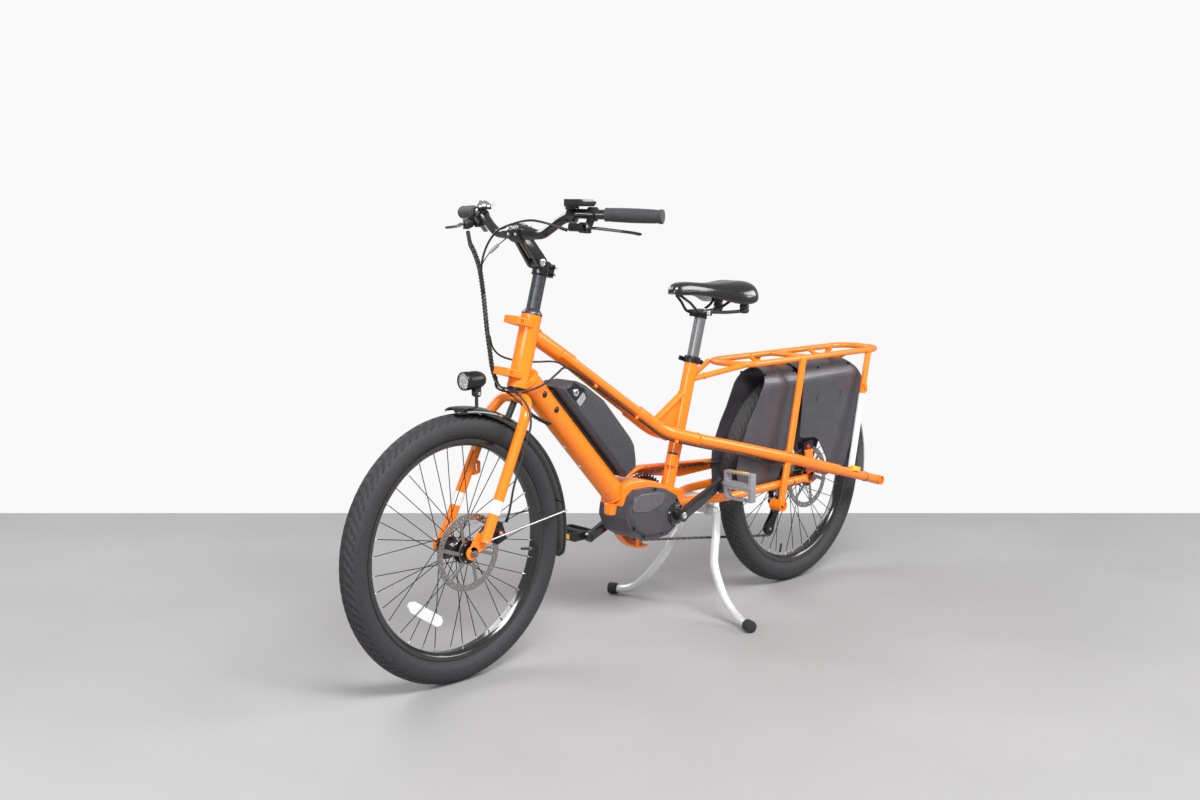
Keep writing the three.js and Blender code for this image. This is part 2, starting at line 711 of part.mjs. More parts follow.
// Adds a named mesh to a group, with the mesh's own origin at its pivot.
function piece(parent, name, shape, material, pivot = parent.position) {
  const geometry = geometryOf(shape).translate(-pivot.x, -pivot.y, -pivot.z);
  geometry.computeVertexNormals();
  const mesh = new THREE.Mesh(geometry, material.clone());
  mesh.name = name;
  mesh.position.copy(pivot).sub(parent.position);
  parent.add(mesh);
}

function assembly(place) {
  const group = new THREE.Group();
  group.position.copy(place);
  bike.add(group);
  return group;
}

// Wheels: tyre, spoked wheel with its hub, brake rotor, axle
function tyreRing(centre) {
  const crown = TYRE_SECTION / 2;
  const middle = TYRE_RADIUS - crown;
  const open = Math.acos((middle - RIM_OUTER_RADIUS - GAP) / crown);
  const steps = 8;
  const profile = Array.from({ length: steps + 1 }, (_, i) => {
    const angle = (Math.PI - open) * ((2 * i) / steps - 1);
    return [middle + crown * Math.cos(angle), crown * Math.sin(angle)];
  });
  return spun([...profile, profile[0]], centre);
}

function spoke(centre, index, flange) {
  const side = index % 2 ? 1 : -1;
  const cross = index % 4 < 2 ? 1 : -1;
  const rimAngle = ((index + 0.5) / SPOKE_COUNT) * 2 * Math.PI;
  const crossShare = 0.15;
  const hubAngle = rimAngle + cross * crossShare * 2 * Math.PI;
  const hubEnd = around(
    centre, FLANGE_RADIUS - FLANGE_THICKNESS, hubAngle, side * (flange + cross * SPOKE_RADIUS));
  const rimEnd = around(centre, RIM_INNER_RADIUS + FLANGE_THICKNESS, rimAngle, side * SPOKE_RADIUS);
  return rod(hubEnd, rimEnd, SPOKE_RADIUS, 3);
}

function spokedWheel(centre, hubWidth, flangeSpread, freehub) {
  const end = hubWidth / 2 - GAP;
  const shoulder = hubWidth / 2 - ROTOR_INSET + ROTOR_THICKNESS;
  const driveShoulder = freehub ? shoulder : flangeSpread / 2;
  const flange = flangeSpread / 2;
  const rim = spun([
    [RIM_INNER_RADIUS, -RIM_INNER_WIDTH / 2],
    [RIM_OUTER_RADIUS - RIM_INNER_WIDTH / 2, -RIM_WIDTH / 2],
    [RIM_OUTER_RADIUS, -RIM_WIDTH / 2],
    [RIM_OUTER_RADIUS, RIM_WIDTH / 2],
    [RIM_OUTER_RADIUS - RIM_INNER_WIDTH / 2, RIM_WIDTH / 2],
    [RIM_INNER_RADIUS, RIM_INNER_WIDTH / 2],
    [RIM_INNER_RADIUS, -RIM_INNER_WIDTH / 2],
  ], centre);
  const hub = spun([
    [AXLE_BORE_RADIUS, -end],
    [AXLE_NUT_RADIUS, -end],
    [AXLE_NUT_RADIUS, -driveShoulder],
    [HUB_RADIUS, -driveShoulder],
    [HUB_RADIUS, shoulder],
    [AXLE_NUT_RADIUS, shoulder],
    [AXLE_NUT_RADIUS, end],
    [AXLE_BORE_RADIUS, end],
    [AXLE_BORE_RADIUS, -end],
  ], centre, TUBE_SIDES);
  const flanges = [-flange, flange].map((left) =>
    spun(ringProfile(
      (AXLE_BORE_RADIUS + HUB_RADIUS) / 2, FLANGE_RADIUS,
      left - FLANGE_THICKNESS / 2, left + FLANGE_THICKNESS / 2,
    ), centre, ROUND_SIDES));
  const spokes = Array.from({ length: SPOKE_COUNT }, (_, i) => spoke(centre, i, flange));
  return join(rim, hub, flanges, spokes);
}

function rotorWindow(index) {
  const inner = ROTOR_HUB_RADIUS;
  const outer = ROTOR_RADIUS - ROTOR_RING_WIDTH;
  const middle = ((index + 0.5) / ROTOR_ARMS) * 2 * Math.PI;
  const half = (radius) => Math.PI / ROTOR_ARMS - Math.asin(ROTOR_ARM_WIDTH / 2 / radius);
  const corner = (radius, share) => {
    const angle = middle + share * half(radius);
    return [radius * Math.cos(angle), radius * Math.sin(angle)];
  };
  const shares = [-1, -0.33, 0.33, 1];
  return [...shares.map((share) => corner(outer, share)), corner(inner, 1), corner(inner, -1)];
}

function rotorDisc(centre, hubWidth) {
  const middle = hubWidth / 2 - ROTOR_INSET;
  const outline = circle(ROTOR_RADIUS, WHEEL_SIDES).map((point) => [point.x, point.y]);
  const boreRadius = (HUB_RADIUS + GAP) / Math.cos(Math.PI / ROUND_SIDES);
  const bore = circle(boreRadius, ROUND_SIDES).map((point) => [point.x, point.y]);
  const windows = Array.from({ length: ROTOR_ARMS }, (_, i) => rotorWindow(i));
  const disc = slab(outline, middle - ROTOR_THICKNESS / 2, middle + ROTOR_THICKNESS / 2, [bore, ...windows]);
  return disc.translate(centre.x, 0, centre.z);
}

function axle(centre, hubWidth, plate) {
  const nutFace = hubWidth / 2 + plate + GAP;
  const end = nutFace + AXLE_NUT_WIDTH + OVERRUN;
  const nuts = [-1, 1].map((side) =>
    crossRod(centre, AXLE_NUT_RADIUS, side * nutFace, side * (nutFace + AXLE_NUT_WIDTH), PIN_SIDES));
  return join(crossRod(centre, AXLE_RADIUS, -end, end, SMALL_SIDES), nuts);
}

// Fork: steerer, crown, two legs that spread and then run straight, and the dropouts
function forkLeg(grow = 0) {
  const shoulder = onHead(-LEG_SHOULDER_DROP, LEG_SHOULDER_AHEAD, LEG_TOP_SPREAD / 2);
  const foot = vec(FRONT.x - LEG_FOOT_SETBACK, LEG_FOOT_SPREAD / 2, FRONT.z + LEG_FOOT_RISE);
  const crownMiddle = -BEARING_HEIGHT - CROWN_HEIGHT * 0.62;
  const corners = [
    onHead(crownMiddle, 0, 0),
    onHead(crownMiddle, 0, LEG_TOP_SPREAD * 0.34),
    shoulder,
    foot,
  ];
  return tube(rounded(corners, LEG_TOP_SPREAD / 2, 2), LEG_RADIUS + grow, TUBE_SIDES);
}

function forkDropout() {
  const inner = FRONT_HUB_WIDTH / 2;
  const foot = vec(FRONT.x - LEG_FOOT_SETBACK, 0, FRONT.z + LEG_FOOT_RISE);
  const plate = join(
    crossRod(FRONT, DROPOUT_RADIUS, inner, inner + DROPOUT_THICKNESS, TUBE_SIDES),
    slab([
      [FRONT.x, FRONT.z - DROPOUT_RADIUS],
      [FRONT.x + DROPOUT_RADIUS * 0.5, FRONT.z + DROPOUT_RADIUS * 0.8],
      [foot.x + LEG_RADIUS, foot.z + DROPOUT_RADIUS * 1.6],
      [foot.x - LEG_RADIUS, foot.z + DROPOUT_RADIUS],
      [foot.x - LEG_RADIUS * 0.8, foot.z - DROPOUT_RADIUS],
    ], inner, inner + DROPOUT_THICKNESS),
  );
  return cut(
    plate,
    crossRod(FRONT, AXLE_BORE_RADIUS, inner - OVERRUN, inner + DROPOUT_THICKNESS + OVERRUN, SMALL_SIDES));
}

function fork() {
  const top = HEAD_TUBE_LENGTH + COLUMN_LENGTH + STEM_BASE_HEIGHT * 0.3;
  const crownTop = -BEARING_HEIGHT - GAP;
  const steerer = rod(onHead(crownTop - CROWN_HEIGHT / 2), onHead(top), STEERER_RADIUS, TUBE_SIDES);
  const crown = rod(onHead(crownTop - CROWN_HEIGHT), onHead(crownTop), HEAD_TUBE_RADIUS * 0.9, RING_SIDES);
  const left = join(forkLeg(), forkDropout());
  const shoulder = onHead(-LEG_SHOULDER_DROP, LEG_SHOULDER_AHEAD, -LEG_TOP_SPREAD / 2);
  const foot = vec(FRONT.x - LEG_FOOT_SETBACK, -LEG_FOOT_SPREAD / 2, FRONT.z + LEG_FOOT_RISE);
  const lugPlace = between(shoulder, foot, FORK_LUG_SHARE);
  const lug = block(
    lugPlace.add(vec(-LEG_RADIUS - FORK_LUG_SIZE * 0.3, 0, 0)),
    FORK_LUG_SIZE, FORK_LUG_THICKNESS, FORK_LUG_SIZE,
  );
  return join(steerer, crown, left, mirrored(left), lug);
}

function headsetLower() {
  return pipe(
    onHead(-BEARING_HEIGHT), onHead(-GAP), HEAD_TUBE_RADIUS * 0.96, STEERER_RADIUS + GAP * 2, ROUND_SIDES);
}

// Head tube with the thick top tube stub and the two front rack lugs
const stubStart = onHead(HEAD_TUBE_LENGTH * TOP_TUBE_HEAD_SHARE);
const stubAlong = vec(-Math.cos(TOP_TUBE_SLOPE), 0, -Math.sin(TOP_TUBE_SLOPE));
const stubEnd = stubStart.clone().addScaledVector(stubAlong, TOP_TUBE_LENGTH);

function stub(grow = 0) {
  const end = stubEnd.clone().addScaledVector(stubAlong, grow);
  return rod(stubStart, end, TOP_TUBE_RADIUS + grow, BORE_SIDES);
}

function lug(share) {
  const middle = onHead(HEAD_TUBE_LENGTH * share, LUG_REACH / 2);
  const outer = block(middle, LUG_REACH, LUG_WIDTH, LUG_HEIGHT, -HEAD_LEAN);
  const pocket = onHead(HEAD_TUBE_LENGTH * share, LUG_REACH / 2 + HEAD_TUBE_RADIUS * 0.62 + LUG_WALL);
  const innerWidth = LUG_WIDTH - 2 * LUG_WALL;
  const innerHeight = LUG_HEIGHT - LUG_WALL;
  const lower = pocket.addScaledVector(headUp, -LUG_WALL);
  return cut(outer, block(lower, LUG_REACH, innerWidth, innerHeight, -HEAD_LEAN));
}

function headTube() {
  const outer = rod(onHead(0), onHead(HEAD_TUBE_LENGTH), HEAD_TUBE_RADIUS, ROUND_SIDES);
  const bore = rod(onHead(-OVERRUN), onHead(HEAD_TUBE_LENGTH + OVERRUN), HEAD_BORE_RADIUS, BORE_SIDES);
  return cut(join(outer, stub(), lug(UPPER_LUG_SHARE), lug(LOWER_LUG_SHARE)), bore);
}

// Column and stem
const columnLow = HEAD_TUBE_LENGTH + GAP;
const columnTop = HEAD_TUBE_LENGTH + COLUMN_LENGTH;
const stemPivot = onHead(columnTop + STEM_PIVOT_RISE, STEM_PIVOT_AHEAD);
const barClamp = onHead(
  columnTop + STEM_PIVOT_RISE + STEM_ARM_RISE,
  STEM_PIVOT_AHEAD + STEM_ARM_AHEAD,
);

function column() {
  const cone = rod(
    onHead(columnLow), onHead(columnLow + CONE_HEIGHT), HEAD_TUBE_RADIUS, ROUND_SIDES, COLUMN_RADIUS);
  const shaft = rod(onHead(columnLow + CONE_HEIGHT / 2), onHead(columnTop), COLUMN_RADIUS, ROUND_SIDES);
  const bore = rod(onHead(0), onHead(columnTop + OVERRUN), STEERER_RADIUS + GAP * 2, TUBE_SIDES);
  return cut(join(cone, shaft), bore);
}

function stemBase() {
  const low = columnTop + GAP;
  const high = columnTop + STEM_BASE_HEIGHT;
  const tongueHalf = STEM_TONGUE_WIDTH / 2;
  const collar = rod(onHead(low), onHead(high), STEM_BASE_RADIUS, ROUND_SIDES);
  const tongue = crossRod(stemPivot, STEM_CHEEK_RADIUS - GAP * 4, -tongueHalf, tongueHalf, RING_SIDES);
  const neck = block(
    between(onHead((low + high) / 2), stemPivot, 0.6),
    STEM_PIVOT_AHEAD, STEM_TONGUE_WIDTH, STEM_BASE_HEIGHT * 0.7, -HEAD_LEAN,
  );
  const ear = block(
    onHead((low + high) / 2, -STEM_BASE_RADIUS - STEM_BOLT_RADIUS),
    STEM_BOLT_RADIUS * 4, STEM_BOLT_LENGTH * 0.6, STEM_BASE_HEIGHT * 0.94, -HEAD_LEAN,
  );
  const bolts = [0.25, 0.75].map((share) => {
    const place = onHead(low + (high - low) * share, -STEM_BASE_RADIUS - STEM_BOLT_RADIUS * 1.5);
    return crossRod(place, STEM_BOLT_RADIUS, -STEM_BOLT_LENGTH / 2, STEM_BOLT_LENGTH / 2, PIN_SIDES);
  });
  const cheekRoom = [-1, 1].map((side) => crossRod(
    stemPivot, STEM_CHEEK_RADIUS + 4 * GAP, side * tongueHalf, side * STEM_BOLT_LENGTH, ROUND_SIDES));
  const bore = rod(
    onHead(low - OVERRUN), onHead(low + STEM_BASE_HEIGHT * 0.3), STEERER_RADIUS + GAP * 2, RING_SIDES);
  const pinHole = crossRod(
    stemPivot, STEM_PIN_RADIUS + 2 * GAP, -STEM_BOLT_LENGTH, STEM_BOLT_LENGTH, SMALL_SIDES);
  return cut(join(collar, tongue, neck, ear, bolts), cheekRoom, bore, pinHole);
}

function handlebarRoom() {
  return crossRod(barClamp, BAR_CENTRE_RADIUS + GAP, -BAR_CLAMP_WIDTH, BAR_CLAMP_WIDTH, BORE_SIDES);
}

function stemArm() {
  const inner = STEM_TONGUE_WIDTH / 2 + GAP;
  const outer = inner + STEM_CHEEK_WIDTH;
  const clampHalf = BAR_CLAMP_WIDTH / 2;
  const along = barClamp.clone().sub(stemPivot).normalize();
  const across = vec(-along.z, 0, along.x);
  const near = stemPivot.clone().addScaledVector(along, STEM_CHEEK_RADIUS * 1.4);
  const corner = (place, side, radius) => {
    const point = place.clone().addScaledVector(across, side * radius);
    return [point.x, point.z];
  };
  const plate = [
    corner(stemPivot, 1, STEM_CHEEK_RADIUS),
    corner(stemPivot, -1, STEM_CHEEK_RADIUS),
    corner(barClamp, -1, STEM_CHEEK_RADIUS * 0.7),
    corner(barClamp, 1, STEM_CHEEK_RADIUS * 0.7),
  ];
  const cheeks = [-1, 1].flatMap((side) => [
    crossRod(stemPivot, STEM_CHEEK_RADIUS, side * inner, side * outer, RING_SIDES),
    slab(plate, Math.min(side * inner, side * outer), Math.max(side * inner, side * outer)),
  ]);
  const body = rod(near, barClamp, STEM_CHEEK_RADIUS * 0.8, TUBE_SIDES);
  const clamp = crossRod(barClamp, BAR_CLAMP_RADIUS, -clampHalf, clampHalf, ROUND_SIDES);
  const room = crossRod(stemPivot, STEM_CHEEK_RADIUS + GAP, -inner, inner, RING_SIDES);
  const pin = crossRod(stemPivot, STEM_PIN_RADIUS, -outer, outer, SMALL_SIDES);
  return join(cut(join(cheeks, body, clamp), handlebarRoom(), room), pin);
}

// Handlebar and what is clamped on it. Shares run from the stem to the bar's end.
function barPoint(share, riseShare, sweepShare, side = 1) {
  return vec(
    barClamp.x - sweepShare * BAR_SWEEP_BACK,
    (side * share * BAR_WIDTH) / 2,
    barClamp.z + riseShare * BAR_RISE,
  );
}
const barEndRise = 0.93;
const barHalf = [
  barPoint(0, 0, 0),
  ...bar_width_shares.map((share, i) => barPoint(share, bar_rise_shares[i], bar_sweep_shares[i])),
  barPoint(1, barEndRise, 1),
];
const gripAlong = barHalf.at(-1).clone().sub(barHalf.at(-2)).normalize();
const gripAhead = vec(gripAlong.y, -gripAlong.x, 0).normalize();
const gripStart = barHalf.at(-1).clone().addScaledVector(gripAlong, -GRIP_LENGTH);
const perchPlace = gripStart.clone().addScaledVector(gripAlong, -PERCH_WIDTH);

function flipped(point) {
  return vec(point.x, -point.y, point.z);
}

function barAt(share) {
  const places = barHalf.map((point) => point.y / (BAR_WIDTH / 2));
  const index = places.findIndex((place) => place >= share);
  const step = (share - places[index - 1]) / (places[index] - places[index - 1]);
  return between(barHalf[index - 1], barHalf[index], step);
}

function barTube(grow = 0) {
  const half = smooth(barHalf, 11);
  const whole = [...half.slice(1).reverse().map(flipped), ...half];
  return tube(whole, BAR_END_RADIUS + grow, TUBE_SIDES);
}

function handlebar() {
  const straight = BAR_CLAMP_WIDTH * 0.62;
  const taperEnd = barAt(0.2);
  const centre = crossRod(barClamp, BAR_CENTRE_RADIUS, -straight, straight, RING_SIDES);
  const start = vec(barClamp.x, straight, barClamp.z);
  const taper = rod(start, taperEnd, BAR_CENTRE_RADIUS, TUBE_SIDES, BAR_END_RADIUS);
  return join(barTube(), centre, taper, mirrored(taper));
}

function grip() {
  const end = barHalf.at(-1).clone().addScaledVector(gripAlong, GAP * 10);
  const plug = rod(
    barHalf.at(-1), barHalf.at(-1).clone().addScaledVector(gripAlong, GAP), BAR_END_RADIUS, RING_SIDES);
  return cut(rod(gripStart, end, GRIP_RADIUS, ROUND_SIDES), barTube(GAP), plug);
}

const leverPivot = perchPlace.clone()
  .addScaledVector(gripAhead, PERCH_REACH)
  .add(vec(0, 0, -PERCH_DROP));

function clampRing(place, along, width) {
  const low = place.clone().addScaledVector(along, -width / 2);
  const high = place.clone().addScaledVector(along, width / 2);
  return rod(low, high, BAR_END_RADIUS + PERCH_WALL, SMALL_SIDES);
}

function brakePerch() {
  const ring = clampRing(perchPlace, gripAlong, PERCH_WIDTH * 0.7);
  const barrelEnd = leverPivot.clone().addScaledVector(gripAlong, -PERCH_BODY_LENGTH);
  const barrel = rod(barrelEnd, leverPivot, PERCH_BODY_RADIUS, SMALL_SIDES);
  const arm = rod(perchPlace, leverPivot, PERCH_BODY_RADIUS, SMALL_SIDES);
  const tall = (half) => [leverPivot.clone().add(vec(0, 0, -half)), leverPivot.clone().add(vec(0, 0, half))];
  const earHalf = LEVER_THICKNESS + PERCH_WALL;
  const ears = rod(...tall(earHalf), LEVER_PIVOT_RADIUS, SMALL_SIDES);
  const root = leverPivot.clone().addScaledVector(gripAlong, -LEVER_PIVOT_RADIUS * 2.4);
  const neck = rod(root, leverPivot, earHalf, SMALL_SIDES);
  const slot = rod(...tall(LEVER_THICKNESS + GAP), LEVER_PIVOT_RADIUS * 1.8, TUBE_SIDES);
  return cut(join(ring, barrel, arm, ears, neck), barTube(GAP), slot);
}

function brakeLever() {
  const half = LEVER_THICKNESS;
  const eye = rod(
    leverPivot.clone().add(vec(0, 0, -half)),
    leverPivot.clone().add(vec(0, 0, half)), LEVER_PIVOT_RADIUS, TUBE_SIDES);
  const at = (share, ahead, drop) => leverPivot.clone()
    .addScaledVector(gripAlong, share * LEVER_LENGTH)
    .addScaledVector(gripAhead, ahead * LEVER_CURL)
    .add(vec(0, 0, -drop * LEVER_CURL));
  const points = [
    at(0.02, 0, 0), at(0.2, 0.6, 0), at(0.42, 0.2, 0.2),
    at(0.66, 0.1, 0.4), at(0.86, 0.6, 0.55), at(1, 1.6, 0.7)];
  const section = circle(1, SMALL_SIDES).map((point) => new THREE.Vector2(
    (point.x * LEVER_THICKNESS) / 2,
    (point.y * LEVER_WIDTH) / 2,
  ));
  return join(eye, sweep(section, smooth(points, 7)));
}

// The shifter hangs under the right side of the bar, inboard of the brake perch.
const shifterPlace = flipped(barAt(0.53));
const shifterCentre = shifterPlace.clone()
  .add(vec(0, 0, -BAR_END_RADIUS - PERCH_WALL - SHIFTER_HEIGHT / 2));

function shifter() {
  const along = flipped(barAt(0.56)).sub(flipped(barAt(0.5))).normalize();
  const ring = clampRing(shifterPlace, along, SHIFTER_HEIGHT);
  const drum = rod(
    shifterCentre.clone().add(vec(0, 0, -SHIFTER_HEIGHT / 2)),
    shifterCentre.clone().add(vec(0, 0, SHIFTER_HEIGHT / 2 + PERCH_WALL)),
    SHIFTER_RADIUS, TUBE_SIDES,
  );
  const bridge = tube([
    shifterCentre,
    flipped(perchPlace).add(vec(0, 0, -BAR_END_RADIUS)),
  ], PERCH_WALL, PIN_SIDES);
  return cut(join(ring, drum, bridge), barTube(GAP));
}

const shiftPivot = shifterCentre.clone().add(
  vec(0, 0, -SHIFTER_HEIGHT / 2 - GAP - SHIFT_LEVER_THICKNESS / 2));

function shiftLever() {
  const hub = rod(
    shiftPivot.clone().add(vec(0, 0, -SHIFT_LEVER_THICKNESS / 2)),
    shiftPivot.clone().add(vec(0, 0, SHIFT_LEVER_THICKNESS / 2)),
    SHIFTER_RADIUS * 0.6, SMALL_SIDES,
  );
  const section = [[-1, -1], [1, -1], [1, 1], [-1, 1]].map(([a, b]) =>
    new THREE.Vector2((a * SHIFT_LEVER_THICKNESS) / 2, (b * SHIFT_LEVER_WIDTH) / 2));
  const points = [
    shiftPivot,
    shiftPivot.clone().add(vec(-SHIFT_LEVER_LENGTH * 0.5, -SHIFT_LEVER_LENGTH * 0.2, 0)),
    shiftPivot.clone().add(
      vec(-SHIFT_LEVER_LENGTH * 0.9, -SHIFT_LEVER_LENGTH * 0.3, -SHIFT_LEVER_LENGTH * 0.35)),
  ];
  return join(hub, sweep(section, points));
}

function display() {
  const place = barAt(DISPLAY_BAR_SHARE);
  const ring = clampRing(place, gripAlong, DISPLAY_WIDTH * 0.5);
  const centre = place.clone().add(
    vec(0, 0, BAR_END_RADIUS + PERCH_WALL + DISPLAY_LIFT + DISPLAY_THICKNESS / 2));
  const neck = block(
    centre.clone().add(vec(0, 0, -DISPLAY_THICKNESS / 2)),
    DISPLAY_WIDTH * 0.5, DISPLAY_WIDTH * 0.5, DISPLAY_THICKNESS);
  const outline = [[-0.5, -0.5], [0.36, -0.5], [0.5, 0], [0.32, 0.5], [-0.5, 0.5]].map(([x, z]) => [
    centre.x - x * DISPLAY_LENGTH,
    centre.z + z * DISPLAY_THICKNESS,
  ]);
  const half = DISPLAY_WIDTH / 2;
  return cut(
    join(ring, neck, slab(outline, place.y + DISPLAY_OFFSET - half, place.y + DISPLAY_OFFSET + half)),
    barTube(GAP));
}

const bellPlace = flipped(barAt(BELL_BAR_SHARE));
const bellBase = bellPlace.clone().add(vec(0, 0, BAR_END_RADIUS + PERCH_WALL));

function bell() {
  const along = flipped(barAt(BELL_BAR_SHARE + 0.02)).sub(flipped(barAt(BELL_BAR_SHARE - 0.02))).normalize();
  const ring = clampRing(bellPlace, along, BELL_HEIGHT);
  const arc = Array.from({ length: 5 }, (_, i) => {
    const angle = (i / 4) * (Math.PI / 2);
    return new THREE.Vector2(BELL_RADIUS * Math.cos(angle), BELL_HEIGHT * Math.sin(angle));
  });
  const profile = [new THREE.Vector2(0, 0), ...arc];
  const dome = new THREE.LatheGeometry(profile, RING_SIDES).rotateX(Math.PI / 2);
  dome.translate(bellBase.x, bellBase.y, bellBase.z + BELL_STEM_RADIUS);
  const stem = rod(
    bellPlace, bellBase.clone().add(vec(0, 0, 2 * BELL_STEM_RADIUS)), BELL_STEM_RADIUS * 2, SMALL_SIDES);
  const tabEnd = bellBase.clone().add(vec(-BELL_RADIUS * 1.3, 0, 0));
  const tab = rod(bellBase, tabEnd, BELL_STEM_RADIUS * 0.7, PIN_SIDES);
  return cut(join(ring, dome, stem, tab), barTube(GAP));
}

const bellLeverPivot = bellBase.clone()
  .add(vec(-BELL_RADIUS * 1.2, 0, BELL_STEM_RADIUS * 0.7 + GAP + BELL_LEVER_RADIUS));

function bellLever() {
  const post = rod(
    bellLeverPivot.clone().add(vec(0, 0, -BELL_LEVER_RADIUS)),
    bellLeverPivot.clone().add(vec(0, 0, BELL_LEVER_RADIUS * 2)),
    BELL_LEVER_RADIUS * 1.3, 6,
  );
  const tip = bellLeverPivot.clone().add(vec(-BELL_LEVER_LENGTH, 0, BELL_LEVER_RADIUS * 2));
  return join(post, rod(bellLeverPivot, tip, BELL_LEVER_RADIUS, PIN_SIDES));
}

// An outline moved outwards by a distance, its corners kept sharp.
function offset(corners, distance) {
  const count = corners.length;
  const area = corners.reduce((sum, [x, z], i) => {
    const [nextX, nextZ] = corners[(i + 1) % count];
    return sum + x * nextZ - nextX * z;
  }, 0);
  const sign = Math.sign(area);
  return corners.map(([x, z], i) => {
    const [lastX, lastZ] = corners[(i + count - 1) % count];
    const [nextX, nextZ] = corners[(i + 1) % count];
    const before = new THREE.Vector2(z - lastZ, lastX - x).normalize().multiplyScalar(sign);
    const after = new THREE.Vector2(nextZ - z, x - nextX).normalize().multiplyScalar(sign);
    const share = distance / (1 + before.dot(after));
    return [x + (before.x + after.x) * share, z + (before.y + after.y) * share];
  });
}

// A plate whose two side edges are drawn in, from an outline in the XZ plane.
function chamferedSlab(corners, low, high, edge) {
  const ring = (outline, left) => outline.map(([x, z]) => vec(x, left, z));
  const inner = offset(corners, -edge);
  return loft([ring(inner, low), ring(corners, low + edge), ring(corners, high - edge), ring(inner, high)]);
}

// Down tube, and the battery on it. Places on it run down the tube and out from its upper side.
const downStart = onHead(HEAD_TUBE_LENGTH * DOWN_TUBE_HEAD_SHARE);
const downEnd = vec(CRANK.x + DOWN_TUBE_END_AHEAD, 0, CRANK.z + DOWN_TUBE_END_RISE);
const downAlong = downEnd.clone().sub(downStart).normalize();
const downOut = vec(downAlong.z, 0, -downAlong.x);

function onDown(along, out = 0) {
  return downStart.clone().addScaledVector(downAlong, along).addScaledVector(downOut, out);
}

function downOutline(corners) {
  return corners.map(([along, out]) => {
    const point = onDown(along, out);
    return [point.x, point.z];
  });
}

function downRod(grow = 0) {
  return rod(onDown(HEAD_TUBE_RADIUS * 0.7), downEnd, DOWN_TUBE_RADIUS + grow, ROUND_SIDES);
}

function downTube() {
  const below = onHead(-BEARING_HEIGHT - CROWN_HEIGHT);
  const headRoom = rod(below, onHead(HEAD_TUBE_LENGTH), HEAD_TUBE_RADIUS + GAP, ROUND_SIDES);
  const bracketRoom = bracketBlock().translate(-downAlong.x * GAP, 0, -downAlong.z * GAP);
  const ports = [0.16, 0.28].map((share) => {
    const place = between(downStart, downEnd, share);
    const out = vec(0, DOWN_TUBE_RADIUS + CABLE_PORT_HEIGHT, 0);
    return rod(place.clone(), place.clone().add(out), CABLE_PORT_RADIUS, SMALL_SIDES);
  });
  return cut(join(downRod(), ports), headRoom, bracketRoom, motorBody(GAP));
}

const batteryLow = DOWN_TUBE_RADIUS * 1.07;
const railStart = batteryStart + RAIL_PLATE_MARGIN;
const railEnd = batteryStart + BATTERY_LENGTH * 0.94 - RAIL_PLATE_MARGIN;
const railTop = DOWN_TUBE_RADIUS + RAIL_PLATE_HEIGHT;

function batteryMount() {
  const half = RAIL_PLATE_WIDTH / 2;
  const low = DOWN_TUBE_RADIUS * 0.65;
  const outline = downOutline([[railStart, low], [railEnd, low], [railEnd, railTop], [railStart, railTop]]);
  return cut(slab(outline, -half, half), downRod(GAP));
}

function battery() {
  const half = BATTERY_WIDTH / 2;
  const outline = downOutline(battery_outline_shares.map(([along, out]) => [
    batteryStart + along * BATTERY_LENGTH,
    batteryLow + out * BATTERY_DEPTH,
  ]));
  const front = railStart - BATTERY_TILT_CLEARANCE;
  const back = railEnd + GAP;
  const top = railTop + GAP;
  const groove = downOutline([[front, 0], [back, 0], [back, top], [front, top]]);
  const grooveHalf = RAIL_PLATE_WIDTH / 2 + GAP;
  const lockMiddle = batteryStart + BATTERY_LENGTH * LOCK_RECESS_SHARE;
  const lockLow = lockMiddle - LOCK_RECESS_LENGTH / 2;
  const lockHigh = lockMiddle + LOCK_RECESS_LENGTH / 2;
  const lockFloor = batteryLow + BATTERY_DEPTH * 0.2;
  const lockRoof = batteryLow + BATTERY_DEPTH * 0.52;
  const lock = downOutline([
    [lockLow, lockFloor], [lockHigh, lockFloor], [lockHigh, lockRoof],
    [lockLow + LOCK_RECESS_DEPTH, lockRoof],
  ]);
  return cut(
    chamferedSlab(outline, -half, half, BATTERY_EDGE),
    slab(groove, -grooveHalf, grooveHalf),
    slab(lock, half - LOCK_RECESS_DEPTH, half + OVERRUN),
  );
}

// Motor, with the bracket arching over it
function motorOutline(shares) {
  return shares.map(([back, up]) => [
    CRANK.x + MOTOR_AHEAD - back * MOTOR_LENGTH,
    CRANK.z - MOTOR_BELOW + up * MOTOR_HEIGHT,
  ]);
}

function motorBody(grow = 0) {
  const outline = motorOutline(motor_outline_shares);
  return slab(offset(outline, grow), -MOTOR_RIGHT_FACE - grow, MOTOR_LEFT_FACE + grow);
}

function motorHousing() {
  const outline = motorOutline(motor_outline_shares);
  const cover = chamferedSlab(
    offset(outline, -MOTOR_COVER_BULGE),
    MOTOR_LEFT_FACE - MOTOR_COVER_BULGE, MOTOR_LEFT_FACE + MOTOR_COVER_BULGE, MOTOR_COVER_BULGE * 0.9,
  );
  const leftBoss = MOTOR_LEFT_FACE + 2 * MOTOR_COVER_BULGE;
  const boss = crossRod(CRANK, MOTOR_BOSS_RADIUS, -MOTOR_RIGHT_FACE, leftBoss, ROUND_SIDES);
  const bore = crossRod(CRANK, SPINDLE_BORE_RADIUS, -CRANK_OUTER_FACE, CRANK_OUTER_FACE, ROUND_SIDES);
  return cut(join(motorBody(), cover, boss), bore);
}

